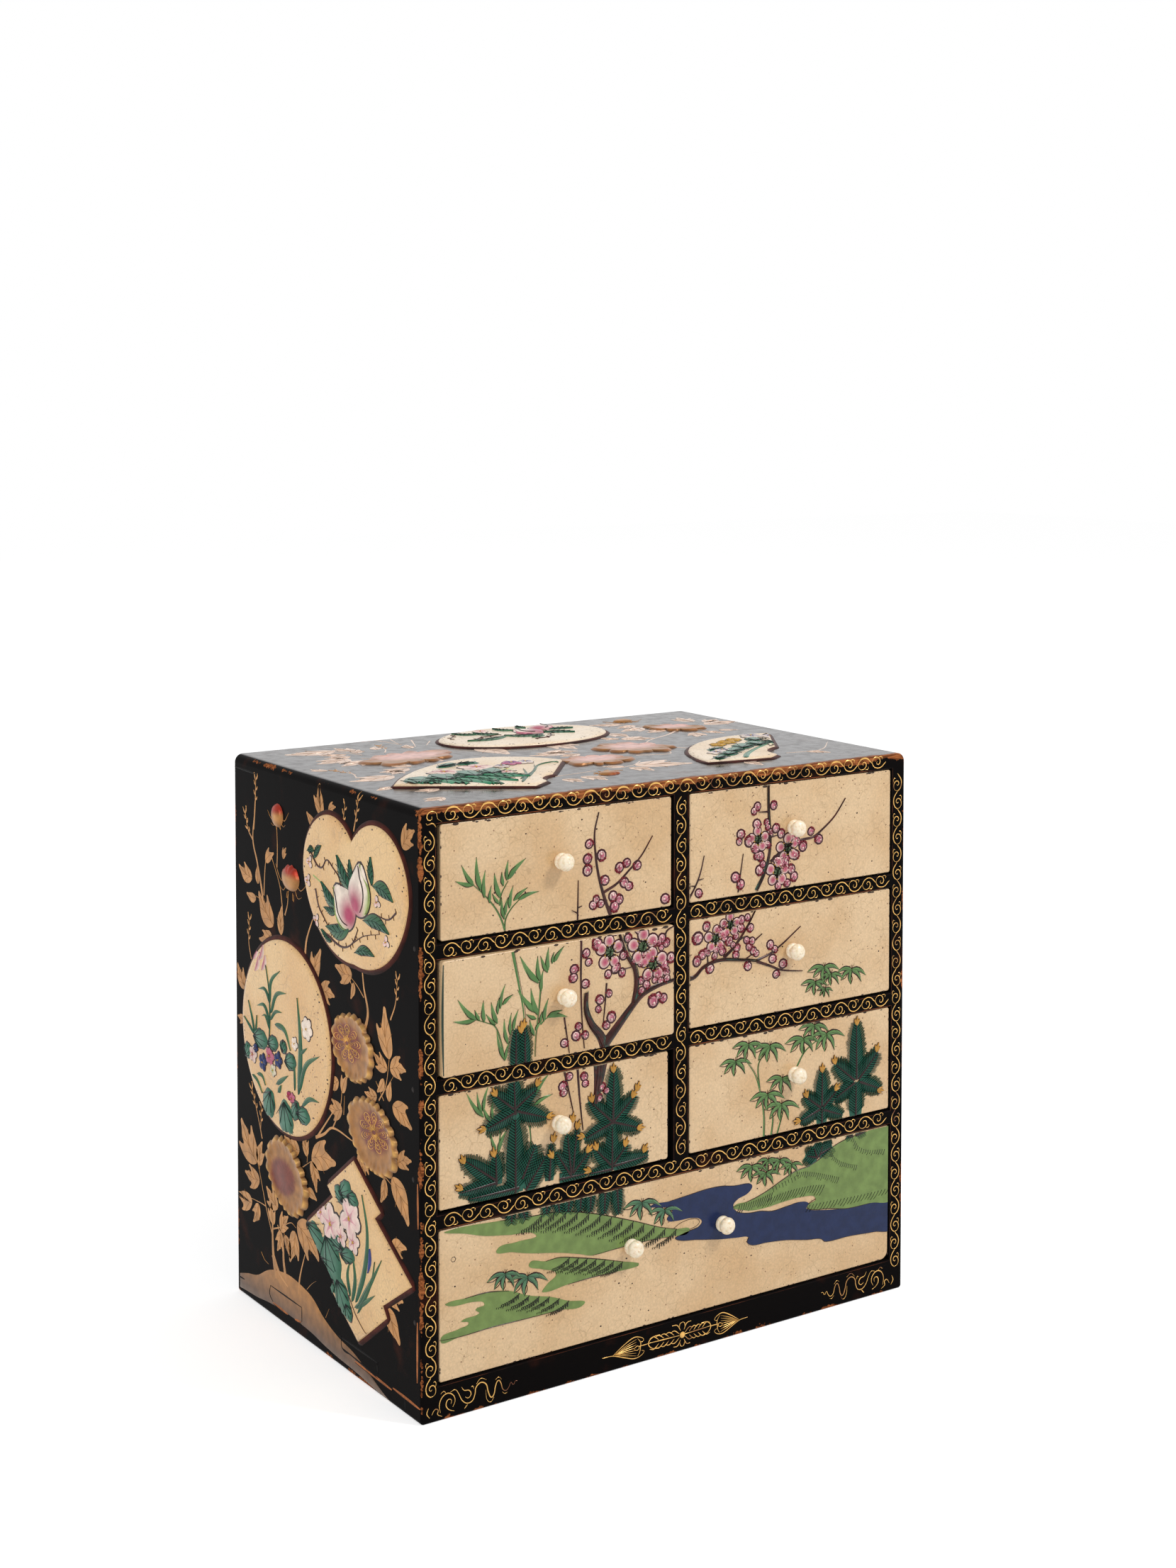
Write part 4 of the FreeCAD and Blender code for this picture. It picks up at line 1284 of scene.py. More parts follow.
@dataclass(frozen=True)
class RiverBank:
    """The landscape along the wide drawer: three combed hills on the left, a river and a bluff.

    combs are (line, lean, width, gap) of the grass on the bluff; plants left of far_shore are bluer.
    """

    far_shore: float = 180
    upper_hill: tuple[Point, ...] = (
        (14, 92.6), (45, 91.6), (62, 90.2), (80, 89), (97, 85), (112, 80), (128, 74), (142, 68.4),
        (152, 65.4), (161, 62.6), (150, 62), (135, 63), (118, 63), (100, 62.6), (92, 65), (80, 68.2),
        (62, 71.8), (52, 74.5), (43, 77.2), (55, 79), (66, 80.3), (50, 83.5), (36, 86), (25, 89.4),
    )
    middle_hill: tuple[Point, ...] = (
        (62, 66.4), (72, 65.6), (80, 65.8), (92, 63), (105, 59.5), (118, 55.5), (128.6, 52.4), (128, 51),
        (115, 51), (100, 51.4), (85, 51), (70, 50.3), (73, 54), (78, 58), (70, 62),
    )
    lower_hill: tuple[Point, ...] = (
        (14, 57), (25, 57.3), (38, 57.4), (50, 55.5), (62, 50.4), (75, 46.8), (85, 42.6), (95, 38.8),
        (80, 39), (60, 39.2), (40, 39.5), (22, 39), (11, 39.6), (22, 43), (27, 44.5), (23, 46.5), (33, 48),
        (31, 50.5), (36, 52), (30, 54.5), (18, 55),
    )
    river: tuple[Point, ...] = (
        (136, 80.6), (148, 80.7), (160, 81.5), (172, 82.3), (182, 82), (190, 80.6), (200, 80), (202.4, 77.8),
        (199, 74.6), (193, 73), (189.6, 70), (192, 66.4), (200, 64), (208, 63.4), (216, 61.8), (226, 62.4),
        (234, 63), (241, 61.2), (239.6, 58.4), (250, 55.4), (268, 53), (285, 52.8), (301, 52.8), (301, 35.4),
        (288, 35.6), (270, 37), (253, 37.4), (249.6, 39.8), (240, 41.2), (226, 44), (212, 45.6), (203, 46),
        (199, 48.4), (200, 51), (192, 52.4), (180, 54), (166, 56.8), (152, 60), (157, 62), (166, 63.2),
        (169, 66.2), (163, 69), (152, 69.6), (146.6, 71.4), (150, 76), (143, 78.6),
    )
    bluff: tuple[Point, ...] = (
        (190, 69.4), (200, 70.4), (211, 73), (222, 77), (232, 80.4), (241, 81.4), (250, 84.4), (258, 88.8),
        (268, 91.4), (282, 92.8), (301, 93.4), (301, 52.6), (285, 52.4), (268, 52.8), (255, 55.4),
        (243, 57.2), (240, 59.6), (246, 62.6), (238, 65.4), (224, 65.4), (212, 64.6), (202, 65), (195, 66.8),
    )
    grasses: tuple[tuple[float, float, float], ...] = (
        (48, 64.4, 10.5), (61, 60, 12), (130.6, 83.4, 12), (145, 76.6, 11), (202, 88.6, 11), (211.6, 83, 10),
        (221, 88.4, 9.5), (229, 84.4, 8.5), (213, 90, 8),
    )
    shoots: tuple = (
        ((52, 96), (51.5, 88.4), 6), ((58, 96), (60, 88.6), 6), ((73, 96), (72, 88.6), 6),
        ((79, 96), (80, 88), 6), ((86, 96), (85, 87), 6.5), ((93, 96), (92.4, 86.4), 7),
        ((99, 96), (98.6, 84.8), 6.5), ((108, 96), (107, 82), 7.5), ((115, 96), (116, 80), 7),
    )
    bushes: tuple = (
        ((247, 85), (238.5, 87.5), 8.5), ((247, 84.5), (244, 92), 8), ((248, 85), (251, 92), 8),
        ((248, 86), (257.5, 89.5), 8), ((272, 92), (267.5, 92.8), 4.5), ((274, 92), (281, 93), 4.5),
    )

    combs: tuple[tuple[tuple[Point, ...], Point, float, float], ...] = (
        (((194, 69.4), (205, 70), (216, 72)), (-2.2, -4.4), 0.7, 1.6),
        (((212, 69), (226, 70.6), (243, 70.4), (252, 69)), (-3.4, -4.6), 0.6, 1.9),
        (((242, 60), (256, 59.4), (276, 58.4), (298, 58)), (-3.4, -3.8), 0.55, 2.4),
        (((233, 79.6), (240, 78.6), (250, 75.6), (262, 71.4)), (-1.4, -3.0), 0.55, 1.5),
        (((256, 88), (259, 83), (266, 78.6), (275, 75.6)), (-1.2, -2.6), 0.5, 1.5),
        (((272, 92), (276, 86), (283, 82.4), (295, 80.6)), (-1.4, -2.6), 0.5, 1.7),
        (((216, 74.6), (226, 76.8), (233, 78)), (0.9, -2.6), 0.5, 2.2),
    )

    def water(self, painting: Painting) -> None:
        """Pours the river, with dark lines along its banks and round an island.

        Args:
            painting: the relief to paint on.
        """
        painting.patch(self.river, PAINTS.water, 0.2)
        for bank in (self.river[1:7], self.river[10:17], self.river[22:34], self.river[35:40]):
            painting.contour(bank, 0.45, 0.15)
        island = ((151, 66), (156, 68), (164, 68.4), (167.6, 66.2), (165, 64), (157, 63.4))
        painting.stroke([*island, island[0]], 0.45, PAINTS.soot, lift=0.12, swell=0.16, across=2)

    def land(self, painting: Painting) -> None:
        """Lays the green hills and combs them with dark marks.

        Args:
            painting: the relief to paint on.
        """
        for edge in (self.upper_hill, self.middle_hill, self.lower_hill):
            painting.patch(edge, PAINTS.hill, 0.2)
        painting.patch(self.bluff, PAINTS.hill, 0.26)
        painting.hatching(self.upper_hill[2:9], (-13, -5.5), 4.4, 7)
        painting.hatching(self.middle_hill[2:6], (-11, -3.6), 3.4, 6)
        painting.hatching(self.lower_hill[3:7], (-11, -3.4), 3.2, 6)
        upper, middle, lower = self.upper_hill, self.middle_hill, self.lower_hill
        for edge in (upper[1:9], upper[10:14], middle[1:6], lower[1:4]):
            painting.contour(edge, 0.6, 0.2)
        for edge in (middle[8:11], lower[8:13], self.bluff[:10], self.bluff[12:18]):
            painting.contour(edge, 0.6, 0.25)
        for line, lean, width, gap in self.combs:
            painting.combing(line, lean, width, gap)

    def plants(self, painting: Painting) -> None:
        """Plants the bamboo grass and the tips of the pines.

        Args:
            painting: the relief to paint on.
        """
        for base, tip, width in (*self.shoots, *self.bushes):
            painting.pine_shoot(base, tip, width)
        for x, y, reach in self.grasses:
            painting.leaf_star((x, y), reach, PAINTS.leaf_deep if x < self.far_shore else PAINTS.leaf)


# ---------------------------------------------------------------- the drawers


@dataclass(frozen=True)
class DrawerFront:
    """One drawer's painted slab and its turned knobs; stray lists dark marks on the slab (line, width, ink).
    """

    name: str
    picture: Picture | RiverBank
    knobs: tuple[Point, ...]
    left: float
    seed: int
    stray: tuple = ()
    bare_edge: float = 0.35

    @property
    def face(self) -> Face:
        """The slab's face, measured from the chest's lower left corner."""
        low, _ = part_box(self.name + "_panel")
        return Face(Vector((self.left, low.y / MM, 0)), *TO_THE_FRONT)

    @property
    def edges(self) -> tuple[float, float, float, float]:
        """The slab's left, right, lower and upper edges in millimetres."""
        low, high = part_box(self.name + "_panel")
        return (low.x / MM - self.left, high.x / MM - self.left, low.z / MM, high.z / MM)

    def paint(self, enamel: bpy.types.Material) -> None:
        """Paints the slab, one piece for each kind of plant.

        Args:
            enamel: the paint.
        """
        left, right, bottom, top = self.edges
        inset = self.bare_edge
        picture = self.picture
        if isinstance(picture, RiverBank):
            layers = {"river": picture.water, "hills": picture.land, "plants": picture.plants}
        else:
            layers = {"bamboo": picture.bamboo, "plum": picture.plum, "pine": picture.pine}
        for k, (kind, draw) in enumerate(layers.items()):
            painting = Painting(self.face, self.seed * 10 + k)
            draw(painting)
            if painting.aside or len(painting.bm.verts):
                painting.trim((left + inset, bottom + inset), (right - inset, top - inset))
                painting.settle(f"{self.name}_{kind}", enamel, self.name, Slot.GLAZE)

    def chips(self, enamel: bpy.types.Material) -> None:
        """Scatters dark chips along the slab's edges and firing marks between them.

        Args:
            enamel: the paint, here for bare dark clay.
        """
        left, right, bottom, top = self.edges
        relief = Relief(self.face, self.seed)
        rng = relief.rng

        def chip(x: float, y: float, radius: float, squash: float = 0.4, turn: float = 0.0) -> None:
            """Lays one dark spot; a round one is a firing mark and lies flatter."""
            height = 0.06 if squash < 0.8 else 0.05
            relief.bead((x, y), radius, PAINTS.soot, None, height, squash, turn, segments=8)

        for _ in range(round((right - left) / 4)):
            x, y = rng.uniform(left + 3, right - 3), top - rng.uniform(0.1, 0.9)
            chip(x, y, 0.25 + 1.7 * rng.random() ** 3)
        for _ in range(round((right - left) / 7)):
            chip(rng.uniform(left + 3, right - 3), bottom + rng.uniform(0.1, 0.5), rng.uniform(0.3, 1.0))
        for _ in range(10):
            side = rng.choice((left + 0.4, right - 0.4))
            chip(side, rng.uniform(bottom + 2, top - 2), rng.uniform(0.3, 0.9), 0.5, 1.57)
        for _ in range(round((right - left) / 9)):
            x, y = rng.uniform(left + 5, right - 5), rng.uniform(bottom + 4, top - 4)
            chip(x, y, rng.uniform(0.25, 0.6), 0.8)
        for line, width, ink in self.stray:
            relief.stroke(line, width, ink, lift=0.05, swell=0.1, across=2)
        relief.settle(self.name + "_chips", enamel, self.name, Slot.GLAZE)


@dataclass(frozen=True)
class TurnedKnob:
    """A knob turned in two tiers on one spindle, with the nut inside the drawer front.

    head runs from its tip (radius, height) to its foot, which sinks into the slab.
    """

    drawer: DrawerFront
    spindle: float = 1.6
    nut: float = 4.0
    nut_depth: float = 3.0
    sink: float = 0.2
    sides: int = 28
    head: tuple[Point, ...] = (
        (0.0, 8.5), (0.45, 8.45), (0.7, 8.15), (1.3, 8.2), (2.4, 8.0), (3.5, 7.35), (4.25, 6.3), (4.5, 5.3),
        (4.25, 4.3), (3.5, 3.6), (2.5, 3.25), (2.35, 3.0), (2.7, 2.8), (3.6, 2.6), (4.1, 2.0), (4.2, 1.2),
        (3.95, 0.4), (3.7, 0.0), (3.65, -0.2),
    )

    def build(self, bone: bpy.types.Material) -> None:
        """Spins the drawer's knobs and lets them stand for the plain ones.

        Args:
            bone: their material.
        """
        face = self.drawer.face
        low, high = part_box(self.drawer.name + "_knob")
        depth = high.y / MM - face.origin.y
        inside = depth - self.nut_depth
        back = self.sink - depth
        stem = [(self.spindle, -self.sink), (self.spindle, -inside), (self.nut, -inside), (self.nut, back)]
        stem += [(self.spindle, back), (self.spindle, -depth), (0.0, -depth)]
        bm = bmesh.new()
        for x, z in self.drawer.knobs:
            profile = [bm.verts.new(face.at(x + r, z, h)) for r, h in (*self.head, *stem)]
            edges = [bm.edges.new(pair) for pair in zip(profile, profile[1:])]
            bmesh.ops.spin(
                bm, geom=[*profile, *edges], cent=face.at(x, z), axis=face.out, dvec=(0, 0, 0),
                angle=2 * math.pi, steps=self.sides, use_merge=True,
            )
        bmesh.ops.remove_doubles(bm, verts=bm.verts, dist=0.01 * MM)
        bmesh.ops.recalc_face_normals(bm, faces=bm.faces)
        name = self.drawer.name + "_turned_knob"
        piece = add_piece(name, bm, bone, self.drawer.name, Slot.KNOB, sharp=50)
        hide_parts(self.drawer.name + "_knob")


# ---------------------------------------------------------------- gold scrollwork


@dataclass(frozen=True)
class Gilding:
    """The gold paints of the case."""

    bright: Colour = shade("#e2b264")
    plain: Colour = shade("#c9984e")
    worn: Colour = shade("#77472f")
    bronze: Colour = shade("#a8743c")
    copper: Colour = shade("#a0603a")
    dark_bronze_and_shade: Colour = shade("#5b4231")
    shaded: Colour = shade("#8a5d31")
    leaf: Colour = shade("#c08a50")
    red: Colour = shade("#a02d18")
    mauve: Colour = shade("#703223")
    # rose and painted_sheen are the mauve and the gold paled with painted sheen, for the top.
    rose: Colour = shade("#d8aa9f")
    painted_sheen: Colour = shade("#ecd3c2")
    earth: Colour = shade("#806a58")


GOLD = Gilding()


@dataclass(frozen=True)
class Scrollwork:
    """Vine scrolls brushed in gold along every rail and stile of the front.

    lobe is the length of one turn of the vine. flourish fills the left end of the bottom rail and is
    turned over at far_end; a flower stands at middle, and the bands are (start, length, upright).
    """

    lobe: float = 10.0
    width: float = 1.05
    far_end: float = 304.6
    middle: Point = (156.3, 8.6)
    stem: tuple[Point, ...] = ((0, 0), (1.6, 2.2), (4.4, 3.1), (7.0, 2.5), (8.8, 1.0), (10, 0))
    curl: tuple[Point, ...] = (
        (0.9, 1.4), (0.2, -0.6), (1.4, -2.6), (3.9, -2.9), (5.7, -1.5), (5.6, 0.4), (4.2, 1.1), (3.2, 0.2),
        (3.8, -0.7),
    )
    hook: tuple[Point, ...] = ((4.6, -2.6), (6.2, -3.2), (7.6, -2.4), (7.2, -1.5))
    flourish: tuple[Mark, ...] = (
        (((10.6, 4.2), (10, 8), (11.6, 11.6), (14.8, 12.9), (18, 11), (18.9, 8), (17.6, 5.4)), 1.1),
        (((18.4, 3.2), (15.4, 4.6), (13.8, 7), (14.8, 9.6), (16.9, 9.0), (16.6, 7.2)), 1.0),
        (((10.8, 13.4), (12.6, 14.4), (13.8, 13)), 0.8),
        (
            (
                (16.2, 13), (19, 13.6), (21, 11), (22.8, 7.4), (25.6, 5.2), (28.6, 5.6), (30.2, 8.6),
                (30.8, 11.8), (33.6, 13.6), (36.6, 12), (37.8, 8), (39.6, 4.6), (41.2, 6), (42, 9.6),
                (43.6, 12.2), (45.2, 10.4), (46.2, 7.2), (48.2, 6), (50, 7.6), (51, 9.4), (52.4, 7.8),
                (53.4, 9.4), (54.6, 9.4),
            ),
            1.2,
        ),
        (((22.6, 14), (24, 12), (26.8, 11.4), (28, 9.2), (26.4, 7.6), (24.6, 8.6)), 1.0),
        (((31, 13.4), (33.6, 15.6), (36.8, 14.2)), 0.6),
        (((36.4, 9.2), (37, 4.4), (39.2, 2.4), (41, 4.4)), 0.6),
        (((42, 12.8), (43.8, 13.8), (45.6, 12.2)), 0.5),
        (((45.8, 6), (47.4, 4.6), (48.8, 5)), 0.5),
        (((24.2, 2.8), (26, 4.6)), 1.0),
        (((4, 8), (3, 5.4), (4.6, 3)), 1.0),
        (((5.8, 4.2), (7.6, 6.6), (9.4, 5.8), (9, 3.8), (11.6, 2.2)), 1.0),
        (((28, 12.6), (29.2, 12.9), (29.4, 11.4)), 0.7),
    )

    bands: tuple[tuple[str, Point, float, bool], ...] = (
        ("top_rail", (14, 296.3), 280, False),
        ("upper_left_shelf", (13, 230.3), 136, False),
        ("upper_right_shelf", (161, 230.3), 136, False),
        ("lower_left_shelf", (13, 164.3), 136, False),
        ("lower_right_shelf", (161, 164.3), 136, False),
        ("full_shelf", (13, 98.3), 283, False),
        ("left_stile", (5.4, 13), 276, True),
        ("right_stile", (302.6, 13), 276, True),
        ("divider", (155, 104), 187, True),
    )

    def gold(self, seed: float) -> Ink:
        """Mixes gold that thins to red-brown in places along a mark.

        Args:
            seed: what tells one mark's worn places from another's.

        Returns:
            The colour as a function of the place on the mark.
        """

        def ink(t: float, side: float) -> Colour:
            """Picks the gold at one point of a mark."""
            tired = noise.noise(Vector((seed, t * 1.5, 0.3)))
            return between(between(GOLD.bright, GOLD.plain, abs(side)), GOLD.worn, (tired - 0.3) * 3)

        return ink

    def band(self, relief: Relief, start: Point, length: float, upright: bool) -> None:
        """Runs the vine along one band.

        Args:
            relief: the relief to paint on.
            start: the middle of the band's first end.
            length: how far the band runs.
            upright: whether it runs up instead of to the right.
        """
        count = round(length / self.lobe)
        pull = length / count / self.lobe
        for k in range(count):
            flip = -1 if k % 2 else 1
            for points in (self.stem, self.curl, self.hook):
                placed = []
                for s, h in points:
                    s, h = (k * self.lobe + s) * pull, h * flip * (0.92 if upright else 1.0)
                    h += 0.12 * noise.noise(Vector((s, h, start[0] + start[1])))
                    placed.append((start[0] - h, start[1] + s) if upright else (start[0] + s, start[1] + h))
                ink = self.gold(start[0] + start[1] * 3 + k * 0.23)
                outline = Outline.EVEN if points is self.stem else Outline.COMMA
                width = self.width * (0.8 if points is self.hook else 1.0)
                relief.stroke(placed, width, ink, outline, lift=0.03, swell=0.08, across=2, step=1.0)

    def corners(self, relief: Relief) -> None:
        """Draws the flowing scrolls at the ends of the bottom rail and the curl in the top corner.

        Args:
            relief: the relief to paint on.
        """
        for points, width in self.flourish:
            relief.stroke(points, width, self.gold(points[0][0]), **BRUSHED, step=0.9)
            turned = [(self.far_end - x, y + 0.5) for x, y in points]
            relief.stroke(turned, width, self.gold(points[0][1] + 7), **BRUSHED, step=0.9)
        curl = (
            (12.5, 293), (10, 294.6), (9.4, 297.4), (6.4, 298.4), (4.2, 296.6), (4.8, 294.4), (6.8, 294.4),
            (6.9, 296),
        )
        relief.stroke(curl, 1.0, self.gold(3.3), Outline.COMMA, 0.03, 0.08, 2)
        relief.stroke(((3.6, 293), (4.4, 292), (7.4, 292.6), (9.2, 290.6)), 0.9, self.gold(5.1), across=2)

    def palmette(self, relief: Relief) -> None:
        """Draws the flower with feathered leaves and two spear leaves in the middle of the bottom rail.

        Args:
            relief: the relief to paint on.
        """
        x0, y0 = self.middle
        relief.bead((x0, y0), 1.7, GOLD.bright, GOLD.plain, 0.3, segments=14)
        for flip, stretch in ((-1, -1.0), (1, 0.85)):
            marks: list[Mark] = [
                (((2, 0.1), (10, 0.3), (21.5, 0.6)), 1.1),
                (((21.8, 0.5), (27.6, 0.4)), 1.0),
                (((14.5, 3.5), (19, 3.2), (21.8, 0.6), (19.6, -2.4), (15.4, -3.6)), 1.0),
                (((6.6, 6.2), (3.4, 5.8), (1.2, 2.6)), 1.1),
                (((5.8, -5.2), (3.2, -5.2), (1.2, -2.4)), 1.0),
                (((0, 6.8), (1.6, 6.2), (1.9, 4.2)), 1.0),
                (((0, -6.0), (1.3, -5.4), (1.5, -3.8)), 0.9),
                (((31, -0.2), (28.6, 0.9), (27.4, -0.2), (29, -1.4), (31, -0.2)), 0.7),
                (
                    ((50.6, -0.4), (44, -0.8), (36, -3.6), (31, -5.2), (27, -4.8), (24.4, -2.8), (26.2, -2)),
                    1.0,
                ),
                (((44, -0.6), (37, 3.4), (31, 5.8), (27.2, 5.2), (24.6, 3.4), (26, 2.4), (27.4, 3.2)), 1.0),
                (((28.6, 4.8), (26.6, 2.2), (26.8, -0.2), (27.2, -2.6), (28.6, -4.4)), 0.9),
            ]
            for k in range(5):
                near = 4.4 + 3.3 * k
                for side in (1, -1):
                    barb = ((near - 2.4, side), (near + 0.8, side * 3.3), (near + 3.4, side * 2.6))
                    marks.append((barb, 1.0))
            for k in range(7):
                side = (k - 3) / 3
                marks.append((((43, -0.5), (36, 2.5 * side), (29.4, 4.3 * side + 0.2)), 0.55))
            for points, width in marks:
                placed = [(x0 + x * stretch, y0 + y) for x, y in points]
                relief.stroke(placed, width, self.gold(points[0][0] * flip), **BRUSHED, step=1.0)

    def build(self, face: Face, gold: bpy.types.Material) -> None:
        """Brushes every band, each as a piece of its own, then the corners and the flower.

        Args:
            face: the front of the case.
            gold: the gold paint.
        """
        for seed, (name, start, length, upright) in enumerate(self.bands):
            relief = Relief(face, seed)
            self.band(relief, start, length, upright)
            relief.settle("scroll_" + name, gold, "case", Slot.LACQUER)
        for name, draw in (("scroll_corners", self.corners), ("palmette", self.palmette)):
            relief = Relief(face)
            draw(relief)
            relief.settle(name, gold, "case", Slot.LACQUER)


# ---------------------------------------------------------------- plaques


class PlaqueArt(Painting):
    """Flowers and fruit in raised enamel on the ceramic plaques."""

    rim: Colour = PAINTS.outline

    def veined_leaf(self, base: Point, tip: Point, width: float, ink: Colour = PAINTS.leaf_dark) -> None:
        """Paints a broad dark leaf, bowed to its left and combed with black veins.

        Args:
            base: where it leaves its stem.
            tip: its point.
            width: its greatest width.
            ink: its colour.
        """
        start, end = Vector(base), Vector(tip)
        run = end - start
        left = Vector((-run.y, run.x)).normalized()
        bow = left * run.length * 0.1
        line = [base, tuple(start.lerp(end, 0.5) + bow), tip]
        self.stroke(line, width * 1.06 + 0.6, self.rim, Outline.LEAF, 0.3, 0.1)
        pale = between(ink, PAINTS.leaf_tip, 0.4)
        self.stroke(line, width, lambda t, s: between(ink, pale, 0.6 * s), Outline.LEAF, 0.4, 0.35)
        self.stroke(line, 0.6, PAINTS.needle, Outline.TAPER, 0.1, 0.12, 2, over=0.72)
        for share in (0.18, 0.34, 0.5, 0.66):
            root = start.lerp(end, share) + bow * math.sin(math.pi * share)
            for side in (-1, 1):
                far = root + run * 0.2 + left * side * width * 0.4 * Outline.LEAF.width(share + 0.14)
                self.stroke([tuple(root), tuple(far)], 0.5, PAINTS.needle, **VEIN, over=0.68)

    def twig(self, points: Sequence[Point], width: float = 1.5) -> None:
        """Paints a brown twig with thorns on alternate sides.

        Args:
            points: the places that it passes.
            width: its width at the foot.
        """
        self.stroke(points, width, PAINTS.twig, Outline.TAPER, 0.15, 0.3)
        for k, (place, left) in enumerate(walk(points, 4.2)):
            side = 1 if k % 2 else -1
            tip = place + left * side * 2.2
            self.stroke([tuple(place), tuple(tip)], 0.8, PAINTS.twig, Outline.TAPER, 0.15, 0.2, 2)

    def peach(
        self, centre: Point, radius: float, lean: float, flank: int = 1, green: Colour = PAINTS.lime
    ) -> None:
        """Paints a pointed peach or bud: white, with a pink cheek, a dark groove and a green flank.

        Args:
            centre: its middle.
            radius: its radius without the point.
            lean: the angle at which it points.
            flank: 1 where the groove and the green lie left of the point, -1 where right.
            green: the colour of the flank.
        """
        tip = math.radians(lean)

        def reach(turn: float, grow: float = 1.0) -> float:
            """Draws the outline out to a point."""
            off = math.atan2(math.sin(turn - tip), math.cos(turn - tip))
            return radius * grow * (1 + 0.42 * math.exp(-((off / 0.42) ** 2)))

        def bloom(share: float, turn: float) -> Colour:
            """Blushes the cheek and greens the flank.

            Args:
                share: how far out a place is, as a share of the way to the edge.
                turn: its angle in radians.

            Returns:
                Its colour there.
            """
            along = share * reach(turn) / radius * math.cos(turn - tip)
            across = share * reach(turn) / radius * math.sin(turn - tip) * flank
            tone = between(PAINTS.white, PAINTS.pink, 1.35 - 1.3 * math.hypot(along + 0.5, across + 0.2))
            return between(tone, green, 2.4 * (across - 0.6 - 0.35 * along))

        def place(along: float, across: float) -> Point:
            """Gives a place in shares of the radius towards the point and over to the flank.

            Args:
                along: the share of the radius towards the point.
                across: the share of it over to the flank.

            Returns:
                The place on the face.
            """
            x, y = radius * along, radius * across * flank
            cos, sin = math.cos(tip), math.sin(tip)
            return (centre[0] + x * cos - y * sin, centre[1] + x * sin + y * cos)

        self.disc(centre, partial(reach, grow=1.13), lambda *_: 0.5, lambda *_: PAINTS.outline, 3, 30)
        self.disc(centre, reach, lambda s, _: 0.3 + 1.3 * math.sqrt(max(0.03, 1 - s * s)), bloom, 8, 36)
        groove = [place(1.3, 0), place(0.85, 0.16), place(0.3, 0.5), place(-0.25, 0.52), place(-0.7, 0.3)]
        self.stroke(groove, 1.1, PAINTS.outline, Outline.SWELL, 0.05, 0.15, 2, over=1.5)
        rim = [place(1.36, 0.03), place(0.9, 0.4), place(0.4, 0.86), place(-0.3, 0.9), place(-0.7, 0.66)]
        self.stroke(rim, 0.8, green, Outline.SWELL, 0.5, 0.3, 2, over=0.3)

    def flower(self, centre: Point, radius: float, rim: Colour, core: Colour, count: int = 5) -> None:
        """Paints a round flower of broad petals with a fleck of pollen in its middle.

        Args:
            centre: its middle.
            radius: its radius.
            rim: the colour at the edge of its petals.
            core: the colour at its middle.
            count: how many petals it has.
        """
        start = self.rng.uniform(0, 360)
        for k in range(count):
            bearing = math.radians(start + 360 * k / count + self.rng.uniform(-8, 8))
            spot = polar(centre, radius * 0.52, bearing)
            self.bead(spot, radius * 0.56, PAINTS.outline, height=0.45, squash=0.87, turn=bearing)
            self.bead(spot, radius * 0.49, between(core, rim, 0.6), rim, 0.95, 0.84, bearing)
            vein = [centre, tuple(Vector(centre).lerp(Vector(spot), 1.3))]
            self.stroke(vein, radius * 0.2, between(core, rim, 0.2), Outline.LEAF, 0.1, 0.12, 2, over=0.8)
        self.bead(centre, radius * 0.16, PAINTS.pollen, height=1.25, segments=8)

    def blade(self, points: Sequence[Point], width: float, ink: Colour = PAINTS.leaf_dark) -> None:
        """Paints a long grassy leaf with a dark line along it.

        Args:
            points: the places that it passes.
            width: its greatest width.
            ink: its colour.
        """
        pale = between(ink, PAINTS.leaf_tip, 0.5)

        def tone(t: float, side: float) -> Colour:
            """Pales the leaf to its tip and to one side."""
            return between(ink, pale, t * 0.6 + side * 0.3)

        self.stroke(points, width, tone, Outline.BLADE, 0.2, 0.3)
        self.stroke(points, 0.5, PAINTS.needle, **VEIN, over=0.42)

    def broad_leaf(self, centre: Point, size: Point, angle: float) -> None:
        """Paints a round pale-teal leaf with veins that spread from its stalk.

        Args:
            centre: its middle.
            size: its radii along and across the middle vein.
            angle: the angle at which it points, in degrees.
        """
        lean = math.radians(angle)

        def reach(turn: float, rim: float = 0.0) -> float:
            """Draws an oval with a slightly wavy edge."""
            return rim + oval(size, turn - lean) * (1 + 0.05 * math.cos(7 * turn))

        def tone(share: float, _turn: float) -> Colour:
            """Darkens the leaf to its edge."""
            return between(PAINTS.teal, PAINTS.leaf_dark, 0.15 + 0.7 * share)

        self.disc(centre, partial(reach, rim=1.0), lambda *_: 0.4, lambda *_: self.rim, 2, 28)
        self.disc(centre, reach, lambda s, _: 0.5 + 0.35 * (1 - s * s), tone, 4, 28)
        foot = polar(centre, -size[0] * 0.85, lean)
        for turn, share in ((-50, 0.9025), (-26, 0.9025), (0, 0.9975), (26, 0.9025), (50, 0.9025)):
            bearing = math.radians(angle + turn)
            x, y = polar((0, 0), size[0] * 1.6 * math.cos(math.radians(turn)) ** 0.5 * share, bearing)
            tip = (foot[0] + x, foot[1] + y * size[1] / size[0] * 1.1)
            self.stroke([foot, tip], 0.9, PAINTS.needle, **VEIN, over=0.85)

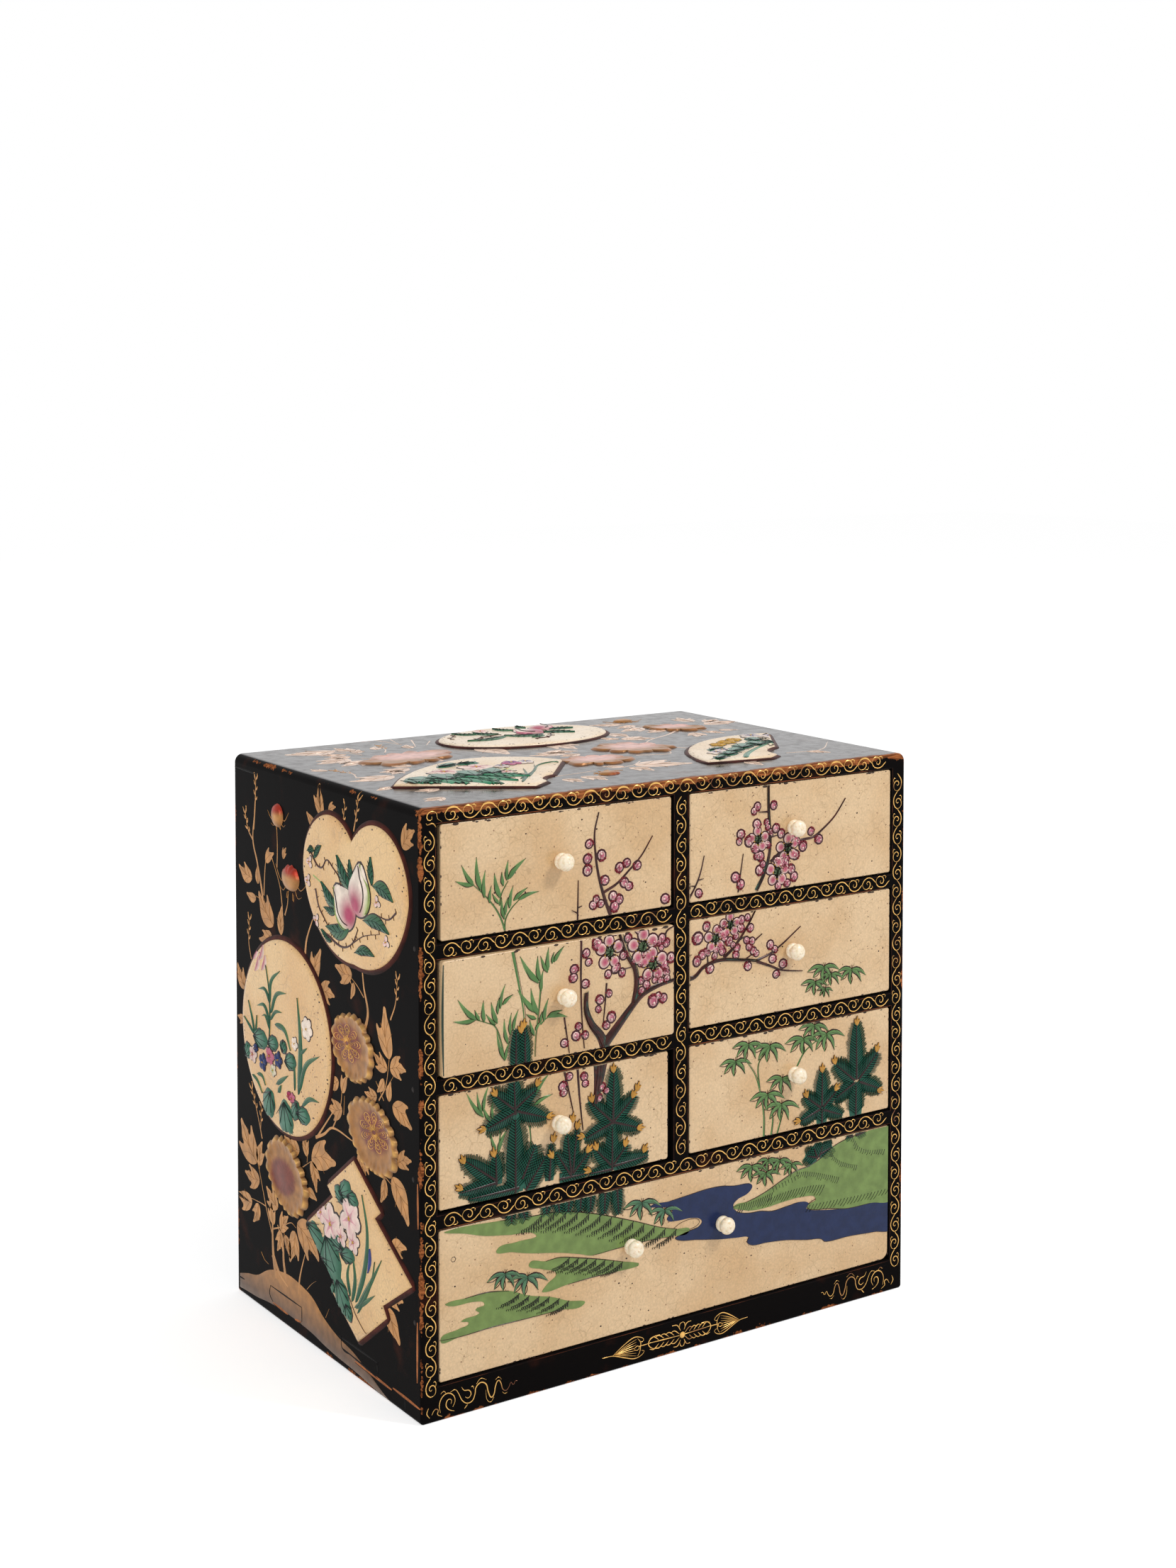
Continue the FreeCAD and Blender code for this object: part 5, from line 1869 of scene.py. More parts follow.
    def fruiting_peach(self) -> None:
        """Paints the peach-shaped plaque of the side: two peaches on a thorny bough."""
        for base, tip, width in (
            ((138, 250), (124, 265), 9), ((141, 252), (137.5, 265), 6), ((161, 256), (159.5, 270), 6.5),
            ((162, 256), (182, 251.5), 8.5), ((152, 237), (178, 235), 8), ((143, 219), (163, 221), 5.5),
            ((124, 238), (107, 248.5), 7.5), ((124, 236.5), (110, 236), 4.5), ((137, 230), (112, 226.5), 9),
            ((118, 219.5), (107, 224), 4), ((99, 259), (107, 267), 4.5), ((92, 262), (99, 263), 4.5),
        ):
            self.veined_leaf(base, tip, width)
        self.twig(((95, 262), (103, 255.8), (108, 256), (113, 260.6), (120, 257.5), (126, 254), (129, 247)))
        self.twig(((100.5, 243.5), (104, 235), (110, 230), (114, 227)))
        self.twig(((185, 247), (177, 242), (166, 242)))
        self.twig(((113, 222), (129, 219), (140, 223), (146, 231)), 2.0)
        self.twig(((140, 223), (152, 229), (168, 233)), 0.9)
        self.stroke(((98, 250), (110, 246.6), (122, 240)), 1.2, PAINTS.lime, Outline.TAPER)
        self.peach((147.5, 249), 11.5, 86, -1)
        self.peach((133, 239), 11, 140)
        for x, y, radius in (
            (94, 256.5, 3.6), (92, 246.5, 3.6), (101, 227.5, 3.8), (166, 248.5, 3.4), (175, 230.5, 3.4),
        ):
            self.flower((x, y), radius, PAINTS.white, PAINTS.blush, 3)

    def meadow(self) -> None:
        """Paints the round plaque of the side: lily, narcissus, violets and broad leaves."""
        for points, width in (
            (((46, 154), (46.6, 165), (46, 178), (42, 192)), 1.3),
            (((46.6, 172), (48, 184), (59, 192)), 3.2), (((48, 167), (54, 178), (66, 181.4)), 3.2),
            (((47, 163), (53, 168.6), (61, 170)), 2.4), (((46, 161), (40, 169), (31, 167.4)), 3.0),
            (((46.6, 172), (41, 178), (33, 177)), 2.8), (((53, 162), (64, 161), (71, 152)), 3.6),
            (((46, 158), (41, 164), (37, 163)), 2.2), (((28, 151), (25, 159), (20.6, 168)), 2.4),
            (((29, 151), (31, 162)), 2.0), (((27, 151), (15, 158)), 2.4),
            (((80, 131), (82, 158), (79, 182)), 5.4), (((81, 133), (88, 148), (104, 157)), 3.8),
            (((84, 126), (92, 131.4), (103, 132.6)), 3.0), (((82, 153), (90, 158)), 2.2),
            (((75.6, 132), (75, 150)), 2.4), (((54, 130), (61, 134), (68, 138)), 3.0),
            (((25, 128), (31, 126), (37, 121)), 2.4), (((31, 130), (37, 130), (41, 126)), 2.4),
            (((56, 126), (60, 131)), 3.6),
        ):
            self.blade(points, width)
        for centre, size, angle in (
            ((35, 150), (9, 5.4), 0), ((50, 151), (6.4, 4.2), 10), ((62.5, 152), (3.4, 4), 80),
            ((70.5, 146), (6.8, 4.6), 10), ((19, 140), (4.6, 4.4), 60), ((44.6, 117), (9, 7.4), -110),
            ((65, 113), (11.5, 8.6), -80), ((85, 121), (8, 4.6), 0), ((76, 121.5), (6, 4.4), -120),
        ):
            self.broad_leaf(centre, size, angle)

        def lily_tone(_t: float, side: float) -> Colour:
            """Whitens a lily's petal to its sides."""
            return between(PAINTS.pink, PAINTS.white, abs(side))

        for x, y in ((38, 197), (33, 190), (41, 192), (31, 196)):
            lily = [(x - 3, y - 4), (x, y + 1), (x + 1, y + 5)]
            self.stroke(lily, 4.2, lily_tone, Outline.LEAF, 0.3, 0.7)
        for x, y, radius, rim, core in (
            (90, 168, 6.4, PAINTS.white, PAINTS.white), (76, 157, 3.8, PAINTS.white, PAINTS.white),
            (46.5, 143.4, 5.4, PAINTS.blush, PAINTS.pink), (56.5, 143.6, 4.8, PAINTS.water, PAINTS.blue),
            (26, 139.5, 5, PAINTS.white, PAINTS.pink), (38, 138, 5, PAINTS.water, PAINTS.blue),
            (29.5, 143.6, 2.8, PAINTS.water, PAINTS.blue), (50.6, 136.6, 3.6, PAINTS.white, PAINTS.lime),
            (73, 127, 3.2, PAINTS.blush, PAINTS.pink), (69, 127.6, 2.6, PAINTS.pink, PAINTS.pink),
        ):
            self.flower((x, y), radius, rim, core, 6 if radius > 6 else 5)
        for _ in range(36):
            bearing, far = self.rng.uniform(-0.9, 0.7), 51.5 * self.rng.uniform(0.6, 0.97)
            spot = polar((63, 157), far, bearing)
            self.bead(spot, self.rng.uniform(0.25, 0.6), PAINTS.bark_red, height=0.12, segments=6)

    def mallow(self) -> None:
        """Paints the two-card plaque of the side: rose mallow, iris blades and great leaves."""
        for centre, size, angle in (
            ((99, 60), (14, 7), -30), ((116, 55), (14, 10), -60), ((111, 45), (13, 8), -40),
            ((127, 38), (11, 8), -60), ((122, 66), (8, 5), 160), ((131, 95), (7, 5), 30),
            ((139, 92.5), (6, 4), -10), ((125, 91), (6, 4), 150), ((133, 62), (8, 4), 10),
            ((134, 33), (5, 4), -60),
        ):
            self.broad_leaf(centre, size, angle)
        for points, width in (
            (((142, 41), (151, 60), (154, 80), (149, 98)), 4.4), (((143, 38), (156, 54), (169, 71)), 3.6),
            (((141, 38), (150, 43), (162, 51)), 3.0), (((138, 40), (141, 52), (139, 64)), 3.8),
            (((136, 42), (133, 52), (136, 60)), 3.2), (((144, 36), (158, 56), (162, 68)), 2.4),
        ):
            self.blade(points, width)
        self.stroke(((157, 73), (156.6, 66), (155, 60)), 3.2, PAINTS.blue, Outline.LEAF, 0.3, 0.5)
        self.stroke(((134, 42), (142, 34), (152, 28)), 0.9, PAINTS.twig, Outline.TAPER)
        for x, y, radius in ((136, 82, 11.5), (115.5, 73, 11), (127, 70, 6), (140, 71, 6.5), (105, 76, 6)):
            self.flower((x, y), radius, PAINTS.white, PAINTS.blush)

    def left_fan(self) -> None:
        """Paints the front left plaque of the top: mallow over a bank of green, with iris."""
        self.rim = PAINTS.leaf_dark
        for centre, size, angle in (
            ((35, 60), (13, 9), 60), ((50, 62), (13, 9), 70), ((66, 64), (12, 8), 80),
            ((80, 64), (11, 7), 60), ((70, 93), (9, 4), 30), ((82, 92), (7, 4), 0),
        ):
            self.broad_leaf(centre, size, angle)
        for base, tip in (
            ((30, 64), (38, 44)), ((40, 62), (50, 34)), ((50, 60), (63, 28)), ((60, 58), (76, 32)),
            ((70, 58), (88, 40)),
        ):
            self.veined_leaf(base, tip, 13, PAINTS.fresh)
        for points, width in (
            (((64, 27), (66, 38), (72, 46)), 5), (((76, 28), (90, 46), (98, 62)), 2.2),
            (((80, 36), (98, 52), (112, 68), (126, 70), (123, 60)), 1.6),
            (((70, 40), (82, 52), (92, 70)), 2.0), (((88, 40), (104, 60), (110, 70)), 1.6),
            (((60, 40), (56, 52)), 3.4),
        ):
            self.blade(points, width)
        for x, y, radius, rim, core in (
            (57, 74, 9, PAINTS.white, PAINTS.pink), (79, 78, 10, PAINTS.white, PAINTS.pink),
            (102, 80, 6, PAINTS.blush, PAINTS.blue), (110, 79, 5, PAINTS.white, PAINTS.blue),
            (92, 74, 4.4, PAINTS.white, PAINTS.blue), (88, 62, 5, PAINTS.white, PAINTS.lime),
            (84, 56, 4, PAINTS.white, PAINTS.blush),
        ):
            self.flower((x, y), radius, rim, core)

    def right_fan(self) -> None:
        """Paints the front right plaque of the top: yellow and blue flowers, leaves and a ribbon stem."""
        self.rim = PAINTS.leaf_dark
        for centre, size, angle in (
            ((221, 57), (7, 4.4), 20), ((228, 50), (10, 5), 40), ((240, 58), (10, 6), 50),
            ((252, 62), (9, 5), 70), ((263, 60), (6, 9), 80), ((260, 74), (8, 5), 60),
            ((206, 34), (7, 3.4), 40), ((218, 42), (8, 5), 50),
        ):
            self.broad_leaf(centre, size, angle)
        self.blade(((214, 22), (226, 36), (242, 48), (256, 56)), 3.4, PAINTS.teal)
        self.blade(((202, 29), (210, 40), (222, 48)), 2.0)
        for x, y, radius, rim, core in (
            (231, 69, 5, PAINTS.pollen, PAINTS.candle), (241, 74, 6, PAINTS.pollen, PAINTS.candle),
            (249, 78, 5, PAINTS.pollen, PAINTS.candle), (266, 84, 7, PAINTS.white, PAINTS.blue),
            (275, 78, 6, PAINTS.white, PAINTS.blue), (213, 47, 5, PAINTS.white, PAINTS.blue),
            (221, 52, 5, PAINTS.white, PAINTS.blue), (258, 52, 4, PAINTS.white, PAINTS.lime),
        ):
            self.flower((x, y), radius, rim, core)

    def magnolia(self) -> None:
        """Paints the oval plaque of the top: magnolia buds on a curved bough."""
        self.rim = PAINTS.leaf_dark
        for base, tip, width in (
            ((170, 156), (150, 164), 8), ((150, 162), (122, 158), 7), ((172, 158), (160, 150), 5),
            ((176, 164), (192, 154), 8), ((184, 172), (200, 168), 7), ((150, 170), (140, 182), 8),
            ((165, 178), (158, 190), 6), ((176, 182), (176, 192), 6), ((140, 176), (128, 186), 5),
        ):
            self.veined_leaf(base, tip, width)
        self.twig(((160, 146), (170, 148), (178, 158), (182, 170)), 1.6)
        self.twig(((118, 170), (124, 178), (130, 184)), 0.9)
        self.twig(((128, 160), (136, 166), (150, 170)), 1.0)
        self.peach((170, 168), 8.5, 110, 1, PAINTS.blush)
        self.peach((184, 178), 7.5, 60, -1, PAINTS.blush)
        self.flower((146, 184), 5, PAINTS.white, PAINTS.blush)


class Plaque:
    """One ceramic plaque bedded in lacquer: a pillowed tile that stands for the plain one, and its art."""

    # The steps in and up from the rim to the middle, the height of the rim and how far it goes in.
    PILLOW = ((0.35, 0.5), (0.6, 0.3), (1.2, 0.2), (1.6, 0.1))
    RIM = 0.9
    BEDDED = 0.6

    def __init__(self, node: str, face: Face) -> None:
        """Takes the plaque's outline from its CAD node.

        Args:
            node: the CAD node.
            face: the side of the chest that it is let into.
        """
        self.node = node
        self.face = face
        self.tile = bmesh.new()
        self.tile.from_mesh(frame["nodes"][node].data)
        bmesh.ops.remove_doubles(self.tile, verts=self.tile.verts, dist=0.25 * MM)
        crown = max(self.height(vert.co) for vert in self.tile.verts)
        top = [f for f in self.tile.faces if self.height(f.calc_center_median()) > crown - 0.05]
        others = [f for f in self.tile.faces if f not in set(top)]
        bmesh.ops.delete(self.tile, geom=others, context="FACES")
        self.top = bmesh.ops.dissolve_faces(self.tile, faces=top, use_verts=False)["region"][0]
        self.outline = [self.ruler(loop.vert.co) for loop in self.top.loops]
        bmesh.ops.translate(self.tile, verts=self.tile.verts, vec=face.out * (self.RIM - crown) * MM)

    def height(self, place: Vector) -> float:
        """Gives a place's height over the side, in millimetres."""
        return (place / MM - self.face.origin).dot(self.face.out)

    def ruler(self, place: Vector) -> Point:
        """Gives a place's millimetres along and up the side."""
        away = place / MM - self.face.origin
        return (away.dot(self.face.along), away.dot(self.face.up))

    def raise_tile(self) -> None:
        """Rounds the tile up from its edge into a pillow and drops its walls into the lacquer."""
        for thickness, depth in self.PILLOW:
            bmesh.ops.inset_region(
                self.tile, faces=[self.top], use_boundary=True, use_even_offset=False,
                thickness=thickness * MM, depth=depth * MM,
            )
        border = [edge for edge in self.tile.edges if edge.is_boundary]
        made = bmesh.ops.extrude_edge_only(self.tile, edges=border)["geom"]
        foot = [part for part in made if isinstance(part, bmesh.types.BMVert)]
        bmesh.ops.translate(self.tile, verts=foot, vec=-self.face.out * (self.RIM + self.BEDDED) * MM)
        bmesh.ops.triangulate(self.tile, faces=[self.top])
        bmesh.ops.recalc_face_normals(self.tile, faces=self.tile.faces)
        if max(self.tile.faces, key=lambda f: f.calc_area()).normal.dot(self.face.out) < 0:
            bmesh.ops.reverse_faces(self.tile, faces=self.tile.faces)

    def surface(self) -> Height:
        """Prepares to measure the tile.

        Returns:
            A function from a place on the side to the tile's height there.
        """
        self.tree = BVHTree.FromBMesh(self.tile)
        flat = self.face

        def rise(x: float, y: float) -> float:
            """Drops a plumb line on the tile."""
            hit = self.tree.ray_cast(flat.at(x, y, 20), -flat.out)[0]
            return self.height(hit) if hit else 0.0

        return rise

    def build(
        self, paint: Callable[[PlaqueArt], None], finishes: Sequence[bpy.types.Material], seed: int
    ) -> None:
        """Makes the tile, its bedding and its painting.

        Args:
            paint: the method of PlaqueArt that paints it.
            finishes: the materials of the tile, the painting and the bedding.
            seed: the seed of the painting.
        """
        glaze, enamel, lacquer_paint = finishes
        self.raise_tile()
        art = PlaqueArt(self.face.raised(self.surface()), seed)
        paint(art)
        art.gather()
        above = self.face.out * 20 * MM
        off = [vert for vert in art.bm.verts if not self.tree.ray_cast(vert.co + above, -self.face.out)[0]]
        bmesh.ops.delete(art.bm, geom=off, context="VERTS")
        ring = [*self.outline, *self.outline[:2]]
        middle = sum((Vector(point) for point in self.outline), Vector((0, 0))) / len(self.outline)
        for place, _ in art.rng.sample(walk(ring, 2, straight=True), 30):
            spot = place.lerp(middle, art.rng.uniform(0.02, 0.07))
            art.bead(tuple(spot), art.rng.uniform(0.3, 0.8), PAINTS.soot, height=0.06, squash=0.7, segments=6)
        bedding = Relief(self.face, seed)

        def red(t: float, side: float) -> Colour:
            """Lets the red-brown bedding darken towards the black."""
            cloud = noise.noise(Vector((t * 30, side, 0)))
            return between(PAINTS.bedding, PAINTS.bedding_dark, abs(side) - 0.2 + 0.6 * cloud)

        bedding.stroke(ring, 5.2, red, Outline.EVEN, 0.15, 0.7, 6, 1.5, straight=True)
        tile = add_piece(self.node + "_tile", self.tile, glaze, "case", Slot.PLAQUE, sharp=60)
        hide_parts(self.node)
        bedding.settle(self.node + "_bedding", lacquer_paint, "case", Slot.LACQUER)
        art.settle(self.node + "_art", enamel, "case", Slot.PLAQUE)


# ---------------------------------------------------------------- gold garden


@dataclass(frozen=True)
class Peony:
    """One peony modelled in raised lacquer: a ruffled gold dish with a mauve heart.

    size and heart are radii, shift is how far the heart lies off the middle, tilt is in degrees, frill
    is the depth of the ruffles as a share of the radius, and edge how crisply the heart ends. body is
    the heart's colour and lip the colour of the painted highlight on the crests of the ruffles.
    """

    centre: Point
    size: Point
    heart: Point
    shift: Point
    height: float
    ruffles: int
    engraved: bool
    tilt: float
    frill: float
    edge: float = 5.0
    body: Colour = GOLD.mauve
    # The colour of the painted highlight on the crests of the ruffles.
    lip: Colour = GOLD.bright

    def wave(self, turn: float) -> float:
        """Gives where a place on the rim lies in its uneven ruffles, as an angle."""
        drift = noise.noise(Vector((math.cos(turn) * 2.5, math.sin(turn) * 2.5, self.size[1])))
        return self.ruffles * turn + 2.2 * drift

    def reach(self, turn: float) -> float:
        """Gives the distance to the ruffled rim at an angle.

        Args:
            turn: the angle in radians.

        Returns:
            The distance in millimetres.
        """
        lobes = 0.0715 * noise.noise(Vector((math.cos(turn) * 1.6, math.sin(turn) * 1.6, self.size[0])))
        ripple = abs(math.sin(self.wave(turn) / 2)) ** 0.6 - 0.6
        return oval(self.size, turn - math.radians(self.tilt)) * (0.97 + lobes + self.frill * ripple)

    def height_at(self, share: float, turn: float) -> float:
        """Shapes the flower as a dish with a turned-up frill.

        Args:
            share: the share of the way to the rim.
            turn: the angle.

        Returns:
            The height there.
        """
        dish = 0.6 + 0.1 * math.cos(math.pi * min(1.0, share / 0.6))
        frill = 0.4 * math.exp(-(((share - 0.9) / 0.12) ** 2))
        wave = -0.16 * math.cos(self.wave(turn)) * share**9
        return self.height * (dish + frill + wave - 0.5 * max(0.0, share - 0.93) / 0.07)

    def mauve(self, share: float, turn: float) -> float:
        """Tells how much a place belongs to the mauve heart.

        Args:
            share: the share of the way to the rim.
            turn: the angle.

        Returns:
            A number from 0 outside the heart to 1 inside.
        """
        x, y = polar((-self.shift[0], -self.shift[1]), self.reach(turn) * share, turn)
        wobble = 0.07 * noise.noise(Vector((x, y, 3)) * 0.35)
        inward = 1.02 + wobble - math.hypot(x / self.heart[0], y / self.heart[1])
        return max(0.0, min(1.0, inward * self.edge))

    def ink(self, share: float, turn: float) -> Colour:
        """Colours the flower gold with a mauve heart, with painted shade in the frill's folds and along its
        outer edge and a painted highlight on the crests near the rim.

        Args:
            share: the share of the way to the rim.
            turn: the angle.

        Returns:
            The colour there.
        """
        fold = 0.5 + 0.5 * math.cos(self.wave(turn))
        cloud = noise.noise(Vector((math.cos(turn) * 4, math.sin(turn) * 4, share * 3)))
        gold = between(GOLD.bronze, GOLD.shaded, 0.55 + 0.6 * cloud)
        # Painted highlight: the lip colour on the crests of the ruffles near the rim.
        gold = between(gold, self.lip, 0.7 * math.exp(-(((share - 0.91) / 0.05) ** 2)) * (1 - fold))
        # Painted shade: darker in the folds of the frill and towards the outer edge.
        gold = between(gold, GOLD.dark_bronze_and_shade, 8 * (share - 0.94) + 0.5 * fold**2 * max(0.0, share - 0.86) / 0.14)
        return between(gold, self.body, self.mauve(share, turn))

    def rise(self, x: float, y: float) -> float:
        """Gives the dish's height at a place on the side.

        Args:
            x: how far along the side the place is.
            y: how far up it is.

        Returns:
            The height in millimetres.
        """
        x, y = x - self.centre[0], y - self.centre[1]
        turn = math.atan2(y, x)
        return self.height_at(min(1.0, math.hypot(x, y) / self.reach(turn)), turn)

    def build(self, name: str, face: Face, gold: bpy.types.Material) -> None:
        """Models the flower and cuts the lines of its petals.

        Args:
            name: the piece's name.
            face: the side that it lies on.
            gold: the gold paint.
        """
        relief = Relief(face, 5)
        relief.disc(self.centre, self.reach, self.height_at, self.ink, 12, 120)
        relief.settle(name, gold, "case", Slot.LACQUER)
        if not self.engraved:
            return
        lines = Relief(face.raised(self.rise), 6)
        cx, cy = self.centre[0] + self.shift[0], self.centre[1] + self.shift[1]
        a, b = self.heart
        petals, rays = 9, 26
        for k in range(petals):
            turn = 2 * math.pi * k / petals + 0.2
            for grow in (0.42, 0.58, 0.74, 0.9):
                arc = []
                for step in range(-3, 4):
                    away = turn + step * 0.11 * grow
                    far = grow * (1 - 0.035 * step * step)
                    arc.append((cx + a * far * math.cos(away), cy + b * far * math.sin(away)))
                lines.stroke(arc, 0.42, GOLD.bright, **ENGRAVED)
        for k in range(rays):
            turn = 2 * math.pi * k / rays
            ray = [(cx + a * far * math.cos(turn), cy + b * far * math.sin(turn)) for far in (0.1, 0.34)]
            lines.stroke(ray, 0.36, GOLD.bright, **ENGRAVED)
        lines.settle(name + "_lines", gold, "case", Slot.LACQUER)


class GoldGarden(Relief):
    """Leaves, stems, buds and earth painted flat in gold on black lacquer.

    LEAVES are outlines and VEINS lines on a leaf that runs from (0, 0) to about (1, 0).
    """

    LEAVES: tuple[tuple[Point, ...], ...] = (
        (
            (0, 0), (0.07, 0.17), (0.22, 0.29), (0.42, 0.36), (0.6, 0.38), (0.76, 0.38), (0.66, 0.27),
            (0.62, 0.19), (0.76, 0.17), (0.9, 0.09), (1.06, 0), (0.9, -0.08), (0.76, -0.15), (0.6, -0.18),
            (0.62, -0.27), (0.7, -0.38), (0.55, -0.37), (0.38, -0.34), (0.2, -0.27), (0.06, -0.15),
        ),
        (
            (0, 0), (0.06, 0.16), (0.2, 0.27), (0.4, 0.31), (0.62, 0.27), (0.82, 0.15), (1.06, 0),
            (0.88, -0.07), (0.7, -0.13), (0.62, -0.17), (0.62, -0.26), (0.7, -0.38), (0.52, -0.36),
            (0.32, -0.31), (0.14, -0.22),
        ),
        (
            (0, 0), (0.07, 0.14), (0.22, 0.25), (0.42, 0.28), (0.64, 0.23), (0.84, 0.12), (1.05, 0),
            (0.84, -0.13), (0.64, -0.23), (0.42, -0.28), (0.22, -0.24), (0.07, -0.13),
        ),
    )

    VEINS: tuple[tuple[Point, ...], ...] = (
        ((0, 0), (0.5, 0), (0.92, 0)),
        ((0.16, 0), (0.34, 0.1), (0.52, 0.36)),
        ((0.14, 0), (0.3, -0.12), (0.46, -0.34)),
        ((0.42, 0), (0.6, 0.08), (0.76, 0.2)),
        ((0.42, 0), (0.58, -0.08), (0.72, -0.2)),
    )

    # How far the gold is paled towards a light colour as painted sheen; the top sets it.
    painted_sheen = 0.0

    def gilt(self, t: float, side: float = 0.0) -> Colour:
        """Gives the gold of a mark, which is browner near its foot and paled towards a light colour as
        painted sheen.
        """
        gold = between(GOLD.bronze, GOLD.leaf, 0.25 + 0.75 * t - 0.2 * abs(side))
        return between(gold, GOLD.painted_sheen, self.painted_sheen)

    def gold_leaf(self, foot: Point, length: float, angle: float) -> None:
        """Paints one leaf, with two, one or no side lobes, and its fine veins.

        Args:
            foot: where it leaves its stem.
            length: its length.
            angle: the angle at which it points, in degrees.
        """
        self.set_aside()
        cos, sin = math.cos(math.radians(angle)), math.sin(math.radians(angle))
        flip = self.rng.choice((-1, 1)) * self.rng.uniform(0.85, 1.05)

        def place(x: float, y: float) -> Point:
            """Turns a place on the leaf to the side's own ruler."""
            x, y = x * length, (y * flip + 0.07 * math.sin(math.pi * x)) * length
            return (foot[0] + x * cos - y * sin, foot[1] + x * sin + y * cos)

        tone = self.gilt(self.rng.uniform(0.35, 1.0) - foot[1] / 400)
        shape = self.LEAVES[self.rng.choice((0, 0, 1, 1, 2)) if length > 12 else self.rng.choice((0, 1, 2))]
        self.patch([place(x, y) for x, y in shape], tone, 0.07)
        vein = between(tone, GOLD.dark_bronze_and_shade, 0.55)
        for mark in self.VEINS if length > 11 else self.VEINS[:1]:
            line = [place(x, y) for x, y in mark]
            self.stroke(line, 0.4, vein, Outline.TAPER, 0.05, 0.06, 2, 1.6, over=0.1)

    def stem(self, points: Sequence[Point], width: float) -> None:
        """Paints one woody stem that narrows along a line."""
        self.stroke(points, width * 1.15, self.gilt, Outline.TAPER, 0.05, 0.08, 2)

    def spray(self, points: Sequence[Point], width: float) -> None:
        """Paints a stem that ends in a spike of small buds, with a pair at its tip.

        Args:
            points: the places that it passes.
            width: its width at the foot.
        """
        self.stem(points, width)
        for k, (place, left) in enumerate(walk(points, 2.6)[-5:]):
            ahead = Vector((left.y, -left.x))
            for side in (-1, 1) if k == 4 else (1 if k % 2 else -1,):
                tip = place + left * side * 2.0 + ahead * (4.2 if k == 4 else 2.6)
                middle = place.lerp(tip, 0.5) + left * side * 0.5
                line = [tuple(place), tuple(middle), tuple(tip)]
                self.stroke(line, 1.9, GOLD.leaf, Outline.LEAF, 0.06, 0.12, 2, 0.9)

    def sepals(self, centre: Point, radius: float, angle: float) -> None:
        """Paints the thin curved sepals behind a bud.

        Args:
            centre: the bud's middle.
            radius: the bud's radius.
            angle: the direction of its stem, in degrees.
        """
        for turn, reach in ((-100, 1.9), (-62, 1.5), (-25, 0.9), (25, 0.9), (62, 1.5), (100, 2.1)):
            bend, bearing = math.radians(angle + turn * 0.72), math.radians(angle + turn)
            line = [polar(centre, radius * share, bend) for share in (0.8, 1.25)]
            line.append(polar(centre, radius * reach, bearing))
            self.stroke(line, 1.0, GOLD.bronze, Outline.TAPER, 0.05, 0.1, 2)

    def bud(self, centre: Point, size: Point, angle: float, blush: float, height: float) -> None:
        """Models a raised bud, gold below and red above, darkened to its edge with painted shade, with its
        sepals.

        Args:
            centre: its middle.
            size: its two radii.
            angle: the direction of its stem, in degrees.
            blush: how much of it is red.
            height: how high it stands.
        """
        self.sepals(centre, max(size), angle)
        foot = math.radians(angle)

        def reach(turn: float) -> float:
            """Draws an oval, frilled on the side away from the stem where it is a wide one.

            Args:
                turn: the angle in radians.

            Returns:
                How far out its edge lies there.
            """
            top = max(0.0, -math.cos(turn - foot))
            frill = 0.07 * top * math.cos(9 * turn) if size[0] > size[1] * 1.2 else 0.0
            return oval(size, turn) * (1 + frill)

        def ink(share: float, turn: float) -> Colour:
            """Darkens the gold to the edge of the dome as painted shade, and reddens the side away from the
            stem.

            Args:
                share: how far out a place is, as a share of the way to the edge.
                turn: its angle in radians.

            Returns:
                Its colour there.
            """
            away = -share * math.cos(turn - foot)
            # Painted shade: the gold darkens towards the bud's edge.
            gold = between(GOLD.leaf, GOLD.shaded, 0.9 * share)
            return between(gold, GOLD.red, blush * (away - 0.02) * 2.4)

        def dome(share: float, _turn: float) -> float:
            """Rounds the bud off to its edge."""
            return height * math.sqrt(max(0.02, 1 - share**2.4))

        self.disc(centre, reach, dome, ink, 8, 40)

    def mound(self, profile: Sequence[Point]) -> None:
        """Paints a hill of gold that fades into the dark at its foot.

        Args:
            profile: the places that the top of the hill passes.
        """
        self.set_aside()
        ridge = walk(profile, 3)
        rows = (0.0, 0.25, 0.5, 0.75, 0.97, 1.0)
        last, top = len(ridge) - 1, len(rows) - 1
        made = bmesh.ops.create_grid(self.bm, x_segments=last, y_segments=top, size=0.5)["verts"]
        for vert in made:
            place = ridge[round((vert.co.x + 0.5) * last)][0]
            share = rows[round((vert.co.y + 0.5) * top)]
            height = 0.25 + max(0.1, place.y - 0.25) * share
            vert.co = self.face.at(place.x, height, 0.04 if share < 1 else self.SUNK)
            tone = between(GOLD.dark_bronze_and_shade, GOLD.bronze, height / 17 - 0.35)
            vert[self.paint] = between(tone, GOLD.earth, 0.8 - height / 10)


